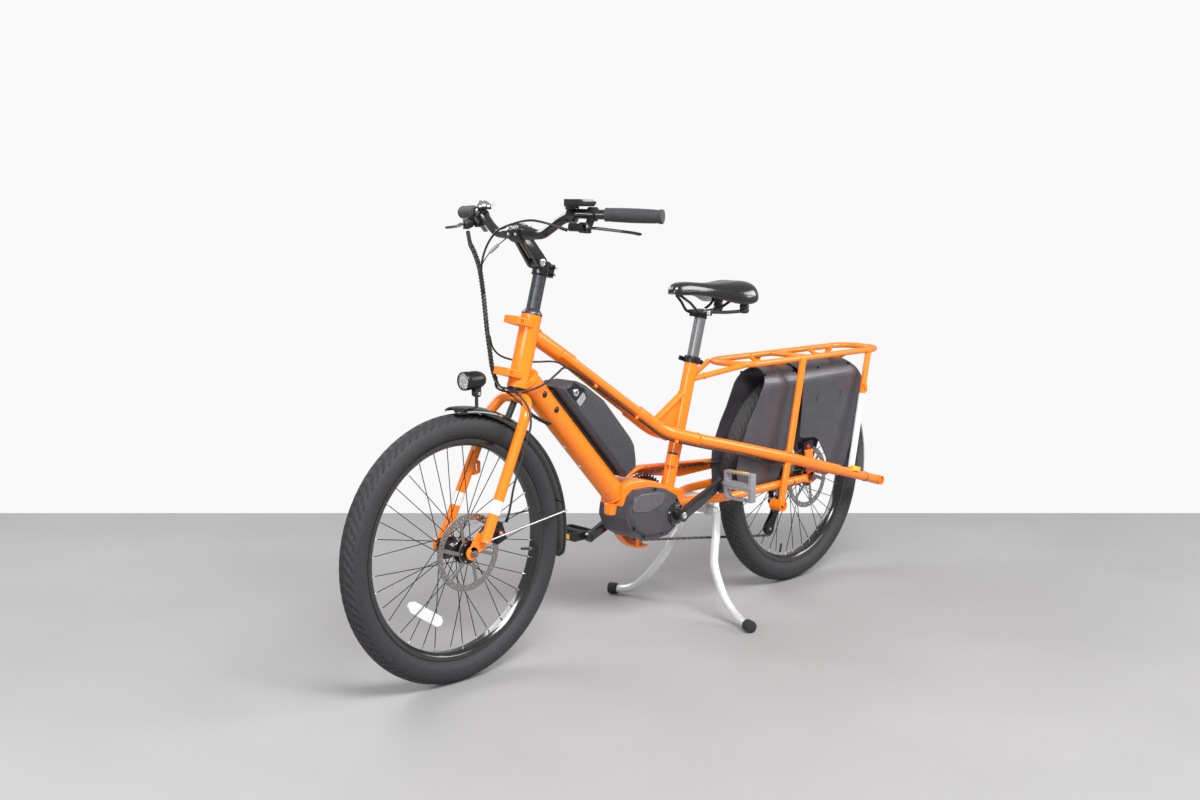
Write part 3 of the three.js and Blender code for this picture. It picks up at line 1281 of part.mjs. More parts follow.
function bracketBlock() {
  const noseX = CRANK.x + MOTOR_AHEAD + MOTOR_LENGTH * BRACKET_NOSE_SHARE;
  const nose = rod(
    vec(noseX, 0, CRANK.z - MOTOR_BELOW + MOTOR_HEIGHT * BRACKET_NOSE_LOW_SHARE),
    vec(noseX, 0, CRANK.z - MOTOR_BELOW + MOTOR_HEIGHT * BRACKET_NOSE_HIGH_SHARE),
    BRACKET_NOSE_RADIUS, ROUND_SIDES,
  );
  return join(slab(motorOutline(bracket_outline_shares), -BRACKET_HALF_WIDTH, BRACKET_HALF_WIDTH), nose);
}

function bracketArch() {
  return cut(bracketBlock(), motorBody(GAP));
}

// Lower stays, dropouts and the bracket, one welded piece
function stayTube(grow = 0) {
  const half = STAY_SPREAD / 2;
  const neck = STAY_NECK_SPREAD / 2;
  const neckZ = CRANK.z + STAY_NECK_RISE;
  const height = REAR.z + STAY_RISE;
  const start = vec(CRANK.x - MOTOR_LENGTH + MOTOR_AHEAD - GAP * 4, neck * 0.94, neckZ + STAY_RISE);
  const corners = [
    start,
    vec(CRANK.x - STAY_NECK_BEHIND, neck, neckZ),
    vec(CRANK.x - STAY_FLARE_BEHIND, half, REAR.z),
    vec(REAR.x + STAY_END_AHEAD, half, height),
  ];
  return tube(rounded(corners, STAY_SPREAD, 2), STAY_RADIUS + grow, SMALL_SIDES);
}

function rearDropout() {
  const inner = REAR_HUB_WIDTH / 2;
  const outer = inner + REAR_DROPOUT_THICKNESS;
  const tip = REAR.x + STAY_END_AHEAD * 1.3;
  const plate = join(
    crossRod(REAR, REAR_DROPOUT_RADIUS, inner, outer, ROUND_SIDES),
    slab([
      [REAR.x, REAR.z - REAR_DROPOUT_RADIUS], [tip, REAR.z - STAY_RADIUS * 0.6],
      [tip, REAR.z + STAY_RADIUS], [REAR.x, REAR.z + REAR_DROPOUT_RADIUS],
    ], inner, outer),
  );
  return plate;
}

function caliperTab() {
  const inner = REAR_HUB_WIDTH / 2;
  const high = REAR.z + CALIPER_TAB_HEIGHT;
  const half = REAR_DROPOUT_RADIUS;
  return slab([
    [REAR.x - half * 0.6, REAR.z], [REAR.x + half, REAR.z],
    [REAR.x + half * 2, high], [REAR.x - half * 0.2, high],
  ], inner, inner + REAR_DROPOUT_THICKNESS);
}

const hangerFoot = vec(REAR.x - HANGER_THICKNESS, 0, REAR.z - HANGER_DROP);

function hanger() {
  const outer = REAR_HUB_WIDTH / 2 + REAR_DROPOUT_THICKNESS;
  return slab([
    [REAR.x - REAR_DROPOUT_RADIUS * 0.9, REAR.z], [hangerFoot.x - HANGER_THICKNESS, hangerFoot.z],
    [hangerFoot.x + HANGER_THICKNESS, hangerFoot.z], [REAR.x + REAR_DROPOUT_RADIUS * 0.9, REAR.z],
  ], -outer, -REAR_HUB_WIDTH / 2);
}

function chainstays() {
  const side = join(stayTube(), rearDropout());
  const far = REAR_HUB_WIDTH;
  const axleRoom = crossRod(REAR, AXLE_BORE_RADIUS, -far, far, ROUND_SIDES);
  const whole = join(bracketArch(), side, mirrored(side), caliperTab(), hanger());
  return cut(whole, motorBody(GAP), axleRoom, strut(GAP), mirrored(strut(GAP)));
}

// Side rails: thin front runs, thick sleeves at the bend, long runs and open ends
const railBend = vec(CRANK.x + RAIL_BEND_AHEAD, RAIL_BEND_SPREAD / 2, CRANK.z + RAIL_BEND_RISE);
const sleeveEnd = vec(CRANK.x - SLEEVE_END_BEHIND, SLEEVE_END_SPREAD / 2, CRANK.z + SLEEVE_END_RISE);
const railStrut = vec(REAR.x + STRUT_RAIL_AHEAD, RAIL_STRUT_SPREAD / 2, CRANK.z + RAIL_STRUT_RISE);
const railStep = vec(REAR.x - RAIL_STEP_BEHIND, RAIL_STEP_SPREAD / 2, REAR.z + RAIL_STEP_RISE);
const railTip = vec(REAR.x - RAIL_END_BEHIND, RAIL_END_SPREAD / 2, REAR.z - RAIL_END_DROP);
const railFront = between(stubStart, stubEnd, RAIL_START_SHARE).add(vec(0, RAIL_START_SPREAD / 2, 0));
const sleeveStart = between(railFront, railBend, SLEEVE_START_SHARE);

const railBendRoute = rounded([railFront, railBend, sleeveEnd], RAIL_BEND_RADIUS, 4);
const railRearRoute = rounded([sleeveEnd, railStrut, railStep], RAIL_BEND_RADIUS, 2);

function railSide(grow = 0) {
  const sleeveInner = between(railFront, railBend, SLEEVE_START_SHARE * 1.1);
  const front = rod(railFront, sleeveInner, RAIL_FRONT_RADIUS + grow, TUBE_SIDES);
  const sleeve = tube([sleeveStart, ...railBendRoute.slice(1)], SLEEVE_RADIUS + grow, TUBE_SIDES);
  const run = tube(railRearRoute, RAIL_RADIUS + grow, TUBE_SIDES);
  const end = rod(railStep, railTip, RAIL_END_RADIUS + grow, TUBE_SIDES);
  return join(front, sleeve, run, end);
}

function bridge() {
  const slope = Math.tan(SEAT_LEAN);
  const behind = (SEAT_TUBE_RADIUS + BRIDGE_RADIUS + 2 * GAP) / Math.cos(SEAT_LEAN);
  const run = sleeveEnd.clone().sub(railBend);
  const foot = onSeat(railBend.z - CRANK.z);
  const share = (foot.x - behind - railBend.x) / (run.x + run.z * slope);
  const place = between(railBend, sleeveEnd, share);
  return crossRod(place, BRIDGE_RADIUS, -place.y, place.y, SMALL_SIDES);
}

function sideRails() {
  const along = railTip.clone().sub(railStep).normalize();
  const boreStart = railTip.clone().addScaledVector(along, -RAIL_END_BORE_DEPTH);
  const boreEnd = railTip.clone().addScaledVector(along, OVERRUN);
  const bore = rod(boreStart, boreEnd, RAIL_END_BORE_RADIUS, TUBE_SIDES);
  const left = cut(railSide(), stub(GAP), strut(GAP), bore);
  return join(left, mirrored(left), bridge());
}

// Seat tube with its brace, the plate behind it and the cable port stub
function seatBrace() {
  const foot = between(railBend, railFront, BRACE_FOOT_SHARE).setY(0);
  const high = onSeat(BRACE_RISE);
  const low = onSeat(sleeveEnd.z - CRANK.z);
  const half = GUSSET_THICKNESS / 2;
  const gusset = slab([[high.x, high.z], [foot.x, foot.z], [low.x, low.z]], -half, half);
  const brace = rod(high, foot, BRACE_RADIUS, SMALL_SIDES);
  return cut(join(brace, gusset), railSide(GAP), mirrored(railSide(GAP)));
}

function seatTube() {
  const top = onSeat(seatTubeTopRise);
  const outer = rod(onSeat(SEAT_TUBE_FOOT_RISE - SEAT_TUBE_RADIUS), top, SEAT_TUBE_RADIUS, ROUND_SIDES);
  const stubTop = onSeat(sleeveEnd.z - CRANK.z - RAIL_RADIUS - PORT_STUB_SETBACK);
  const out = vec(SEAT_TUBE_RADIUS * 0.8, SEAT_TUBE_RADIUS * 0.5, 0);
  const port = rod(
    stubTop.clone().add(out), stubTop.clone().addScaledVector(seatUp, -PORT_STUB_LENGTH).add(out),
    PORT_STUB_RADIUS, TUBE_SIDES,
  );
  const boreFloor = top.clone().addScaledVector(seatUp, -SEAT_TUBE_BORE_DEPTH);
  const boreTop = top.clone().addScaledVector(seatUp, OVERRUN);
  const bore = rod(boreFloor, boreTop, SEAT_TUBE_BORE_RADIUS, ROUND_SIDES);
  const bracketRoom = bracketBlock().translate(0, 0, GAP);
  return cut(join(outer, seatBrace(), port), bore, bracketRoom);
}

// Seat clamp: a split ring with a short skewer through its ears, closed by a lever
const clampMiddle = onSeat(seatTubeTopRise).addScaledVector(seatUp, -SEAT_ClampHeight / 2);
const seatBack = vec(-seatUp.z, 0, seatUp.x);
const skewerPlace = clampMiddle.clone()
  .addScaledVector(seatBack, SEAT_CLAMP_RADIUS + CLAMP_EAR_LENGTH * 0.4);
const leverPin = skewerPlace.clone()
  .add(vec(0, CLAMP_SLOT / 2 + CLAMP_EAR_THICKNESS + CLAMP_LEVER_HEAD_RADIUS + GAP, 0));

function seatClamp() {
  const half = SEAT_ClampHeight / 2;
  const low = clampMiddle.clone().addScaledVector(seatUp, -half);
  const high = clampMiddle.clone().addScaledVector(seatUp, half);
  const ring = pipe(low, high, SEAT_CLAMP_RADIUS, SEAT_TUBE_RADIUS + GAP, ROUND_SIDES);
  const earPlace = clampMiddle.clone()
    .addScaledVector(seatBack, SEAT_CLAMP_RADIUS + CLAMP_EAR_LENGTH * 0.3);
  const earWidth = 2 * CLAMP_EAR_THICKNESS + CLAMP_SLOT;
  const ears = block(earPlace, CLAMP_EAR_LENGTH, earWidth, SEAT_ClampHeight * 0.7, -SEAT_LEAN);
  const slot = block(earPlace, CLAMP_EAR_LENGTH * 2, CLAMP_SLOT, SEAT_ClampHeight * 2, -SEAT_LEAN);
  const skewerEnd = -earWidth / 2 - CLAMP_EAR_THICKNESS;
  const skewer = crossRod(skewerPlace, POST_HEAD_HEIGHT * 0.2, skewerEnd, leverPin.y, PIN_SIDES);
  const eyeHalf = CLAMP_LEVER_THICKNESS * 0.5;
  const eye = rod(
    leverPin.clone().addScaledVector(seatUp, -eyeHalf), leverPin.clone().addScaledVector(seatUp, eyeHalf),
    CLAMP_LEVER_HEAD_RADIUS * 0.7, SMALL_SIDES,
  );
  const pin = rod(
    leverPin.clone().addScaledVector(seatUp, -CLAMP_LEVER_WIDTH / 2),
    leverPin.clone().addScaledVector(seatUp, CLAMP_LEVER_WIDTH / 2), CLAMP_LEVER_HEAD_RADIUS * 0.35, 6,
  );
  return join(cut(join(ring, ears), slot), skewer, eye, pin);
}

function seatClampLever() {
  const half = CLAMP_LEVER_WIDTH / 2;
  const head = rod(
    leverPin.clone().addScaledVector(seatUp, -half), leverPin.clone().addScaledVector(seatUp, half),
    CLAMP_LEVER_HEAD_RADIUS, 10,
  );
  const slotHalf = CLAMP_LEVER_THICKNESS * 0.5 + GAP;
  const slot = rod(
    leverPin.clone().addScaledVector(seatUp, -slotHalf), leverPin.clone().addScaledVector(seatUp, slotHalf),
    CLAMP_LEVER_HEAD_RADIUS + GAP, 10,
  );
  const pinRoom = rod(
    leverPin.clone().addScaledVector(seatUp, -CLAMP_LEVER_WIDTH),
    leverPin.clone().addScaledVector(seatUp, CLAMP_LEVER_WIDTH), CLAMP_LEVER_HEAD_RADIUS * 0.35 + 2 * GAP, 6,
  );
  const ahead = seatBack.clone().negate();
  const point = (along, out) => leverPin.clone()
    .addScaledVector(ahead, along * CLAMP_LEVER_LENGTH).add(vec(0, out * CLAMP_LEVER_HEAD_RADIUS, 0));
  const section = [[-1, -1], [1, -1], [1, 1], [-1, 1]].map(([a, b]) =>
    new THREE.Vector2((a * CLAMP_LEVER_WIDTH) / 2, (b * CLAMP_LEVER_THICKNESS) / 2));
  const arm = sweep(section, smooth([point(0, 0.2), point(0.3, 1.1), point(0.7, 1.2), point(1, 0.8)], 5));
  return cut(join(head, arm), slot, pinRoom);
}

// Seat post, saddle rails and saddle
const postTop = onSeat(postTopRise);

const saddleNose = vec(postTop.x + SADDLE_NOSE_AHEAD, 0, CRANK.z + postTopRise + SADDLE_ABOVE_POST);

function saddleRailPath() {
  const half = RAIL_ROD_SPREAD / 2;
  const low = postTop.z + POST_HEAD_HEIGHT * 0.8;
  const at = (share, left, height) =>
    vec(saddleNose.x - share * SADDLE_LENGTH, left, saddleNose.z - height * SADDLE_SKIRT_DEPTH);
  const left = [
    at(0.84, half * 1.7, 0.6), at(0.68, half * 1.1, 1), vec(postTop.x - POST_HEAD_LENGTH * 0.6, half, low),
    vec(postTop.x + POST_HEAD_LENGTH * 0.6, half, low), at(0.2, half * 0.7, 0.8), at(0.08, half * 0.3, 0.46),
  ];
  const right = left.map(flipped).reverse();
  return rounded([...left, ...right], RAIL_ROD_SPREAD, 1);
}

function seatPost() {
  const foot = onSeat(seatTubeTopRise).addScaledVector(seatUp, -POST_INSERTION);
  const head = block(
    postTop.clone().add(vec(0, 0, POST_HEAD_HEIGHT * 0.6)),
    POST_HEAD_LENGTH, POST_HEAD_WIDTH, POST_HEAD_HEIGHT * 1.2,
  );
  const post = join(rod(foot, postTop, POST_RADIUS, ROUND_SIDES), head);
  return cut(post, tube(saddleRailPath(), RAIL_ROD_RADIUS + GAP, PIN_SIDES));
}

function saddleShape() {
  const rings = saddle_station_shares.map((station, i) => {
    const x = saddleNose.x - station * SADDLE_LENGTH;
    const half = (saddle_width_shares[i] * SADDLE_WIDTH) / 2;
    const high = saddleNose.z - saddle_top_shares[i] * SADDLE_SKIRT_DEPTH;
    const low = saddleNose.z - saddle_low_shares[i] * SADDLE_SKIRT_DEPTH;
    return saddle_arch_shares.map(([left, down]) => vec(x, left * half, high + (low - high) * down));
  });
  return cut(loft(rings), tube(saddleRailPath(), RAIL_ROD_RADIUS + 2 * GAP, PIN_SIDES));
}

// Rack deck, its lower stays and rear struts, the crossbars and the two front struts
const deckHalf = DECK_SPREAD / 2;
const deckRear = REAR.x - DECK_REAR_BEHIND;
const deckFront = REAR.x + DECK_FRONT_AHEAD;

function deckLoop(grow = 0) {
  const corner = (x, left) => vec(x, left, DECK_HEIGHT);
  const corners = [
    corner(deckFront, -DECK_TUBE_RADIUS), corner(deckFront, deckHalf), corner(deckRear, deckHalf),
    corner(deckRear, -deckHalf), corner(deckFront, -deckHalf), corner(deckFront, DECK_TUBE_RADIUS),
  ];
  return tube(rounded(corners, DECK_CORNER_RADIUS), DECK_TUBE_RADIUS + grow, SMALL_SIDES);
}

function seatingBar(ahead) {
  const x = REAR.x + ahead;
  const low = SKIRT_CROWN_HEIGHT + GAP + CROSSBAR_RADIUS;
  const corners = [
    vec(x, -deckHalf, DECK_HEIGHT), vec(x, -deckHalf * 0.6, low),
    vec(x, deckHalf * 0.6, low), vec(x, deckHalf, DECK_HEIGHT),
  ];
  return tube(rounded(corners, DECK_CORNER_RADIUS / 2, 1), CROSSBAR_RADIUS, PIN_SIDES);
}

function deckStay() {
  return rod(onSeat(DECK_STAY_RISE), vec(deckFront, deckHalf, DECK_HEIGHT), DECK_STAY_RADIUS, SMALL_SIDES);
}

function rearStrut() {
  const top = vec(REAR.x - REAR_STRUT_TOP_BEHIND, deckHalf, DECK_HEIGHT);
  const share = (REAR_STRUT_FOOT_BEHIND - RAIL_STEP_BEHIND) / (RAIL_END_BEHIND - RAIL_STEP_BEHIND);
  return rod(top, between(railStep, railTip, share), REAR_STRUT_RADIUS, SMALL_SIDES);
}

function rackDeck() {
  const middle = vec(REAR.x + MIDDLE_BAR_AHEAD, 0, DECK_HEIGHT);
  const left = join(deckStay(), rearStrut());
  const bars = [SEAT_BAR_AHEAD, -SEAT_BAR_BEHIND].map(seatingBar);
  const whole = join(
    deckLoop(), bars, crossRod(middle, DECK_STAY_RADIUS, -deckHalf, deckHalf, SMALL_SIDES),
    left, mirrored(left),
  );
  const seatRoom = rod(
    onSeat(SEAT_TUBE_FOOT_RISE), onSeat(seatTubeTopRise), SEAT_TUBE_RADIUS + GAP, ROUND_SIDES);
  return cut(whole, seatRoom, railSide(GAP), mirrored(railSide(GAP)));
}

const strutFoot = vec(REAR.x + STRUT_FOOT_AHEAD, STRUT_FOOT_SPREAD / 2, SOCKET_HEIGHT);

function strut(grow = 0) {
  const top = vec(REAR.x + STRUT_TOP_AHEAD, STRUT_TOP_SPREAD / 2, DECK_HEIGHT);
  const corners = [top, railStrut, strutFoot];
  return tube(rounded(corners, RAIL_BEND_RADIUS, 1), STRUT_RADIUS + grow, SMALL_SIDES);
}

function strutWithSocket() {
  const inner = SOCKET_INNER_SPREAD / 2;
  const outer = inner + SOCKET_LENGTH;
  const socket = crossRod(strutFoot, SOCKET_RADIUS, inner, outer, ROUND_SIDES);
  const bore = crossRod(strutFoot, SOCKET_BORE_RADIUS, inner - OVERRUN, outer + OVERRUN, ROUND_SIDES);
  return cut(join(strut(), socket), bore, deckLoop(GAP));
}

// Skirts: a bent sheet over the rear wheel, cut to two side outlines
function bentSheet() {
  const wall = (half) => {
    const middle = SKIRT_CROWN_HEIGHT - SKIRT_HALF_WIDTH;
    return Array.from({ length: SKIRT_ARC_STEPS + 1 }, (_, i) => {
      const angle = (i / SKIRT_ARC_STEPS) * Math.PI;
      return [half * Math.cos(angle), middle + half * Math.sin(angle)];
    });
  };
  const low = SKIRT_CROWN_HEIGHT - SKIRT_DEPTH - OVERRUN;
  const inner = SKIRT_HALF_WIDTH - SKIRT_THICKNESS;
  const outline = [
    [SKIRT_HALF_WIDTH, low], ...wall(SKIRT_HALF_WIDTH), [-SKIRT_HALF_WIDTH, low],
    [-inner, low], ...wall(inner).reverse(), [inner, low],
  ];
  const shape = new THREE.Shape(outline.map(([left, height]) => new THREE.Vector2(left, height)));
  const geometry = new THREE.ExtrudeGeometry(
    shape, { depth: SKIRT_LENGTH + 2 * OVERRUN, bevelEnabled: false });
  geometry.rotateX(Math.PI / 2).rotateZ(Math.PI / 2);
  return geometry.translate(REAR.x + SKIRT_FRONT_AHEAD - SKIRT_LENGTH - OVERRUN, 0, 0);
}

function skirtOutline(shares) {
  return shares.map(([back, down]) => {
    const above = down === 0 ? OVERRUN : 0;
    return [
      REAR.x + SKIRT_FRONT_AHEAD - back * SKIRT_LENGTH,
      SKIRT_CROWN_HEIGHT - down * SKIRT_DEPTH + above,
    ];
  });
}

function skirt(left_shares, right_shares = left_shares) {
  const left = slab(skirtOutline(left_shares), 0, SKIRT_HALF_WIDTH * 2);
  const right = slab(skirtOutline(right_shares), -SKIRT_HALF_WIDTH * 2, 0);
  return solid(bentSheet()).intersect(solid(join(left, right)));
}

// Mudguards
function arcSheet(centre, radius, width, thickness, crown, startAngle, endAngle, steps) {
  const half = width / 2;
  const sides = [-1, -0.6, 0, 0.6, 1];
  const drop = (side) => crown * side * side;
  const rings = Array.from({ length: steps + 1 }, (_, i) => {
    const angle = startAngle + ((endAngle - startAngle) * i) / steps;
    const inner = sides.map((side) => around(centre, radius - drop(side), angle, side * half));
    const outer = sides.map((side) => around(centre, radius + thickness - drop(side), angle, side * half));
    return [...inner, ...outer.reverse()];
  });
  return loft(rings);
}

function rearMudguard() {
  const sheet = arcSheet(
    REAR, GUARD_RADIUS, GUARD_WIDTH, GUARD_THICKNESS, 0, GUARD_START_ANGLE, GUARD_END_ANGLE, RING_SIDES);
  const reach = SKIRT_HALF_WIDTH - SKIRT_THICKNESS - GAP;
  const place = around(REAR, GUARD_RADIUS + GUARD_THICKNESS / 2, GUARD_TAB_ANGLE);
  const low = GUARD_WIDTH / 2 - GUARD_THICKNESS;
  const tabs = [-1, 1].map((side) => block(
    place.clone().add(vec(0, (side * (low + reach)) / 2, 0)),
    GUARD_TAB_LENGTH, reach - low, GUARD_TAB_HEIGHT, GUARD_TAB_ANGLE));
  return join(sheet, tabs);
}

function fenderBracket() {
  const crownFoot = onHead(-BEARING_HEIGHT - CROWN_HEIGHT - 2 * GAP);
  const along = crownFoot.clone().sub(FRONT).normalize();
  const low = FRONT.clone().addScaledVector(along, FENDER_RADIUS + FENDER_THICKNESS / 2);
  return rod(low, crownFoot, FENDER_BRACKET_WIDTH / 2, SMALL_SIDES);
}

const lampPivot = vec(FRONT.x - LAMP_BRACKET_SETBACK, 0, lampHeight - LAMP_RADIUS - LAMP_EYE_RADIUS * 1.2);

function lampPost() {
  const angle = Math.acos(-LAMP_BRACKET_SETBACK / FENDER_RADIUS);
  const foot = around(FRONT, FENDER_RADIUS + FENDER_THICKNESS / 2, angle);
  const half = LAMP_EYE_WIDTH / 2;
  const eye = crossRod(lampPivot, LAMP_EYE_RADIUS, -half, half, SMALL_SIDES);
  const pin = crossRod(
    lampPivot, LAMP_EYE_RADIUS * 0.4, -half - LAMP_CHEEK_WIDTH, half + LAMP_CHEEK_WIDTH, PIN_SIDES);
  return join(rod(foot, lampPivot, half, PIN_SIDES), eye, pin);
}

function fenderStay() {
  const edge = around(FRONT, FENDER_RADIUS - FENDER_CROWN * 0.8, FENDER_STAY_ANGLE, FENDER_WIDTH * 0.47);
  const foot = vec(
    FRONT.x - LEG_FOOT_SETBACK, (LEG_FOOT_SPREAD + LEG_RADIUS) / 2, FRONT.z + LEG_FOOT_RISE * 1.3);
  return rod(edge, foot, FENDER_STAY_RADIUS, PIN_SIDES);
}

function frontMudguard() {
  const sheet = arcSheet(
    FRONT, FENDER_RADIUS, FENDER_WIDTH, FENDER_THICKNESS, FENDER_CROWN,
    FENDER_FRONT_ANGLE, FENDER_REAR_ANGLE, FENDER_STEPS);
  const stay = fenderStay();
  const crownRoom = rod(
    onHead(-BEARING_HEIGHT - CROWN_HEIGHT - 2 * GAP), onHead(0), HEAD_TUBE_RADIUS, BORE_SIDES);
  return cut(join(sheet, fenderBracket(), lampPost(), stay, mirrored(stay)), crownRoom, forkLegsRoom());
}

function forkLegsRoom() {
  return [forkLeg(GAP), mirrored(forkLeg(GAP))];
}

function headlamp() {
  const at = (share) => share * LAMP_LENGTH;
  const profile = [
    [0, 0], [LAMP_RADIUS * 0.55, at(0.03)], [LAMP_RADIUS * 0.85, at(0.18)], [LAMP_RADIUS, at(0.42)],
    [LAMP_RADIUS, at(1)], [LAMP_RADIUS - LAMP_RIM_WALL, at(1)],
    [LAMP_RADIUS - LAMP_RIM_WALL, at(1) - LAMP_LENS_INSET],
    [0, at(1) - LAMP_LENS_INSET],
  ].map(([radius, along]) => new THREE.Vector2(radius, along));
  const shell = new THREE.LatheGeometry(profile, ROUND_SIDES).rotateZ(-Math.PI / 2);
  shell.translate(FRONT.x - LAMP_SETBACK, 0, lampHeight);
  const inner = LAMP_EYE_WIDTH / 2 + GAP;
  const outer = inner + LAMP_CHEEK_WIDTH;
  const cheek = join(
    crossRod(lampPivot, LAMP_EYE_RADIUS, inner, outer, SMALL_SIDES),
    slab([
      [lampPivot.x - LAMP_EYE_RADIUS, lampPivot.z], [lampPivot.x + LAMP_EYE_RADIUS, lampPivot.z],
      [lampPivot.x + LAMP_EYE_RADIUS, lampHeight - LAMP_RADIUS * 0.6],
      [lampPivot.x - LAMP_EYE_RADIUS, lampHeight - LAMP_RADIUS * 0.6],
    ], inner, outer),
  );
  const pinRoom = crossRod(
    lampPivot, LAMP_EYE_RADIUS * 0.4 + 2 * GAP, -LAMP_LENGTH, LAMP_LENGTH, SMALL_SIDES);
  return cut(join(shell, cheek, mirrored(cheek)), pinRoom);
}

// Brake calipers, each over its rotor's edge
function caliper(centre, hubWidth, angle) {
  const middle = hubWidth / 2 - ROTOR_INSET;
  const radius = ROTOR_RADIUS + ROTOR_RING_WIDTH * 0.15;
  const place = around(centre, radius, angle);
  const low = middle - CALIPER_INNER_WIDTH;
  const high = hubWidth / 2 - GAP;
  const body = block(
    vec(place.x, (low + high) / 2, place.z), CALIPER_DEPTH, high - low, CALIPER_LENGTH, -angle);
  const slotHalf = ROTOR_THICKNESS / 2 + ROTOR_SLOT;
  const slot = crossRod(
    centre, ROTOR_RADIUS + ROTOR_SLOT, middle - slotHalf, middle + slotHalf, WHEEL_SIDES);
  return cut(body, slot);
}

function frontCaliper() {
  const high = FRONT_HUB_WIDTH / 2 - GAP;
  const place = around(FRONT, ROTOR_RADIUS + ROTOR_RING_WIDTH * 0.15, FRONT_CALIPER_ANGLE);
  const knob = crossRod(
    place, CALIPER_KNOB_RADIUS, high - CALIPER_DEPTH / 4, high + CALIPER_KNOB_RADIUS * 0.5, TUBE_SIDES);
  const foot = vec(FRONT.x - LEG_FOOT_SETBACK, LEG_FOOT_SPREAD / 2, FRONT.z + LEG_FOOT_RISE);
  const legPlace = between(foot, onHead(-LEG_SHOULDER_DROP, LEG_SHOULDER_AHEAD, LEG_TOP_SPREAD / 2), 0.1);
  const start = around(
    FRONT, ROTOR_RADIUS + ROTOR_RING_WIDTH * 0.8, FRONT_CALIPER_ANGLE, high - LEG_RADIUS / 2);
  const arm = rod(start, legPlace, LEG_RADIUS / 2, PIN_SIDES);
  return cut(join(caliper(FRONT, FRONT_HUB_WIDTH, FRONT_CALIPER_ANGLE), knob, arm), forkLeg(GAP));
}

function rearCaliper() {
  return caliper(REAR, REAR_HUB_WIDTH, REAR_CALIPER_ANGLE);
}

// Drive: chain, chainring, cassette, derailleur and cranks
const upperJockey = vec(REAR.x - UPPER_JOCKEY_BEHIND, 0, REAR.z - UPPER_JOCKEY_BELOW);
const lowerJockey = vec(REAR.x + LOWER_JOCKEY_AHEAD, 0, REAR.z - LOWER_JOCKEY_BELOW);

// The chain's middle line. Each wheel is turned forwards (1) or backwards (-1) by the chain.
function chainLoop() {
  const wheels = [
    { centre: CRANK, radius: CHAINRING_RADIUS, turn: 1 },
    { centre: lowerJockey, radius: JOCKEY_RADIUS, turn: 1 },
    { centre: upperJockey, radius: JOCKEY_RADIUS, turn: -1 },
    { centre: REAR, radius: COG_CHAIN_RADIUS, turn: 1 },
  ];
  const headings = wheels.map((wheel, i) => {
    const next = wheels[(i + 1) % wheels.length];
    const run = next.centre.clone().sub(wheel.centre);
    const step = wheel.radius * wheel.turn - next.radius * next.turn;
    return Math.atan2(run.z, run.x) - Math.asin(step / run.length());
  });
  return wheels.flatMap((wheel, i) => {
    const last = headings[(i + wheels.length - 1) % wheels.length];
    const quarter = (wheel.turn * Math.PI) / 2;
    const start = last + quarter;
    const whole = 2 * Math.PI;
    const turned = (((wheel.turn * (last - headings[i])) % whole) + whole) % whole;
    const steps = Math.max(2, Math.round((turned / Math.PI) * CHAIN_ARC_STEPS));
    const step = turned / steps;
    const radius = wheel.radius / Math.cos(step / 2);
    return Array.from({ length: steps }, (_, k) => {
      const point = around(wheel.centre, radius, start - wheel.turn * (k + 0.5) * step);
      return [point.x, point.z];
    });
  });
}

function chain() {
  const loop = chainLoop();
  const half = CHAIN_HEIGHT / 2;
  const low = -CHAIN_LINE - CHAIN_WIDTH / 2;
  return slab(offset(loop, half), low, low + CHAIN_WIDTH, [offset(loop, -half)]);
}

function toothed(radius) {
  return radius - CHAIN_HEIGHT / 2 - GAP;
}

function chainring() {
  const outer = toothed(CHAINRING_RADIUS);
  const low = -CHAIN_LINE - CHAINRING_THICKNESS / 2;
  const high = low + CHAINRING_THICKNESS;
  const ring = spun(ringProfile(outer - CHAINRING_RIM, outer, low, high), CRANK);
  const arms = Array.from({ length: CHAINRING_ARMS }, (_, i) => {
    const angle = (i / CHAINRING_ARMS) * 2 * Math.PI;
    const middle = around(CRANK, (outer - CHAINRING_RIM / 2) / 2, angle, -CHAIN_LINE);
    return block(middle, outer - CHAINRING_RIM, CHAINRING_THICKNESS, CHAINRING_ARM_WIDTH, -angle);
  });
  const hub = crossRod(CRANK, SPIDER_RADIUS, low - CHAINRING_THICKNESS, high, ROUND_SIDES);
  const bore = crossRod(CRANK, SPINDLE_RADIUS + GAP, low - OVERRUN * 2, high + OVERRUN, ROUND_SIDES);
  return cut(join(ring, arms, hub), bore);
}

function cassette() {
  const outer = -REAR_HUB_WIDTH / 2 + GAP * 15;
  const chainLow = -CHAIN_LINE - CHAIN_WIDTH / 2 - GAP;
  const chainHigh = -CHAIN_LINE + CHAIN_WIDTH / 2 + GAP;
  const inner = outer + CASSETTE_WIDTH;
  const faces = [outer, (outer + chainLow) / 2, chainLow, chainHigh, (chainHigh + inner) / 2, inner];
  const steps = cassette_step_shares.flatMap((share, i) => [
    [share * COG_MAX_RADIUS, faces[i]],
    [share * COG_MAX_RADIUS, faces[i + 1]],
  ]);
  const profile = [
    [CASSETTE_BORE_RADIUS, outer], ...steps, [CASSETTE_BORE_RADIUS, inner], [CASSETTE_BORE_RADIUS, outer]];
  return spun(profile, REAR, 18);
}

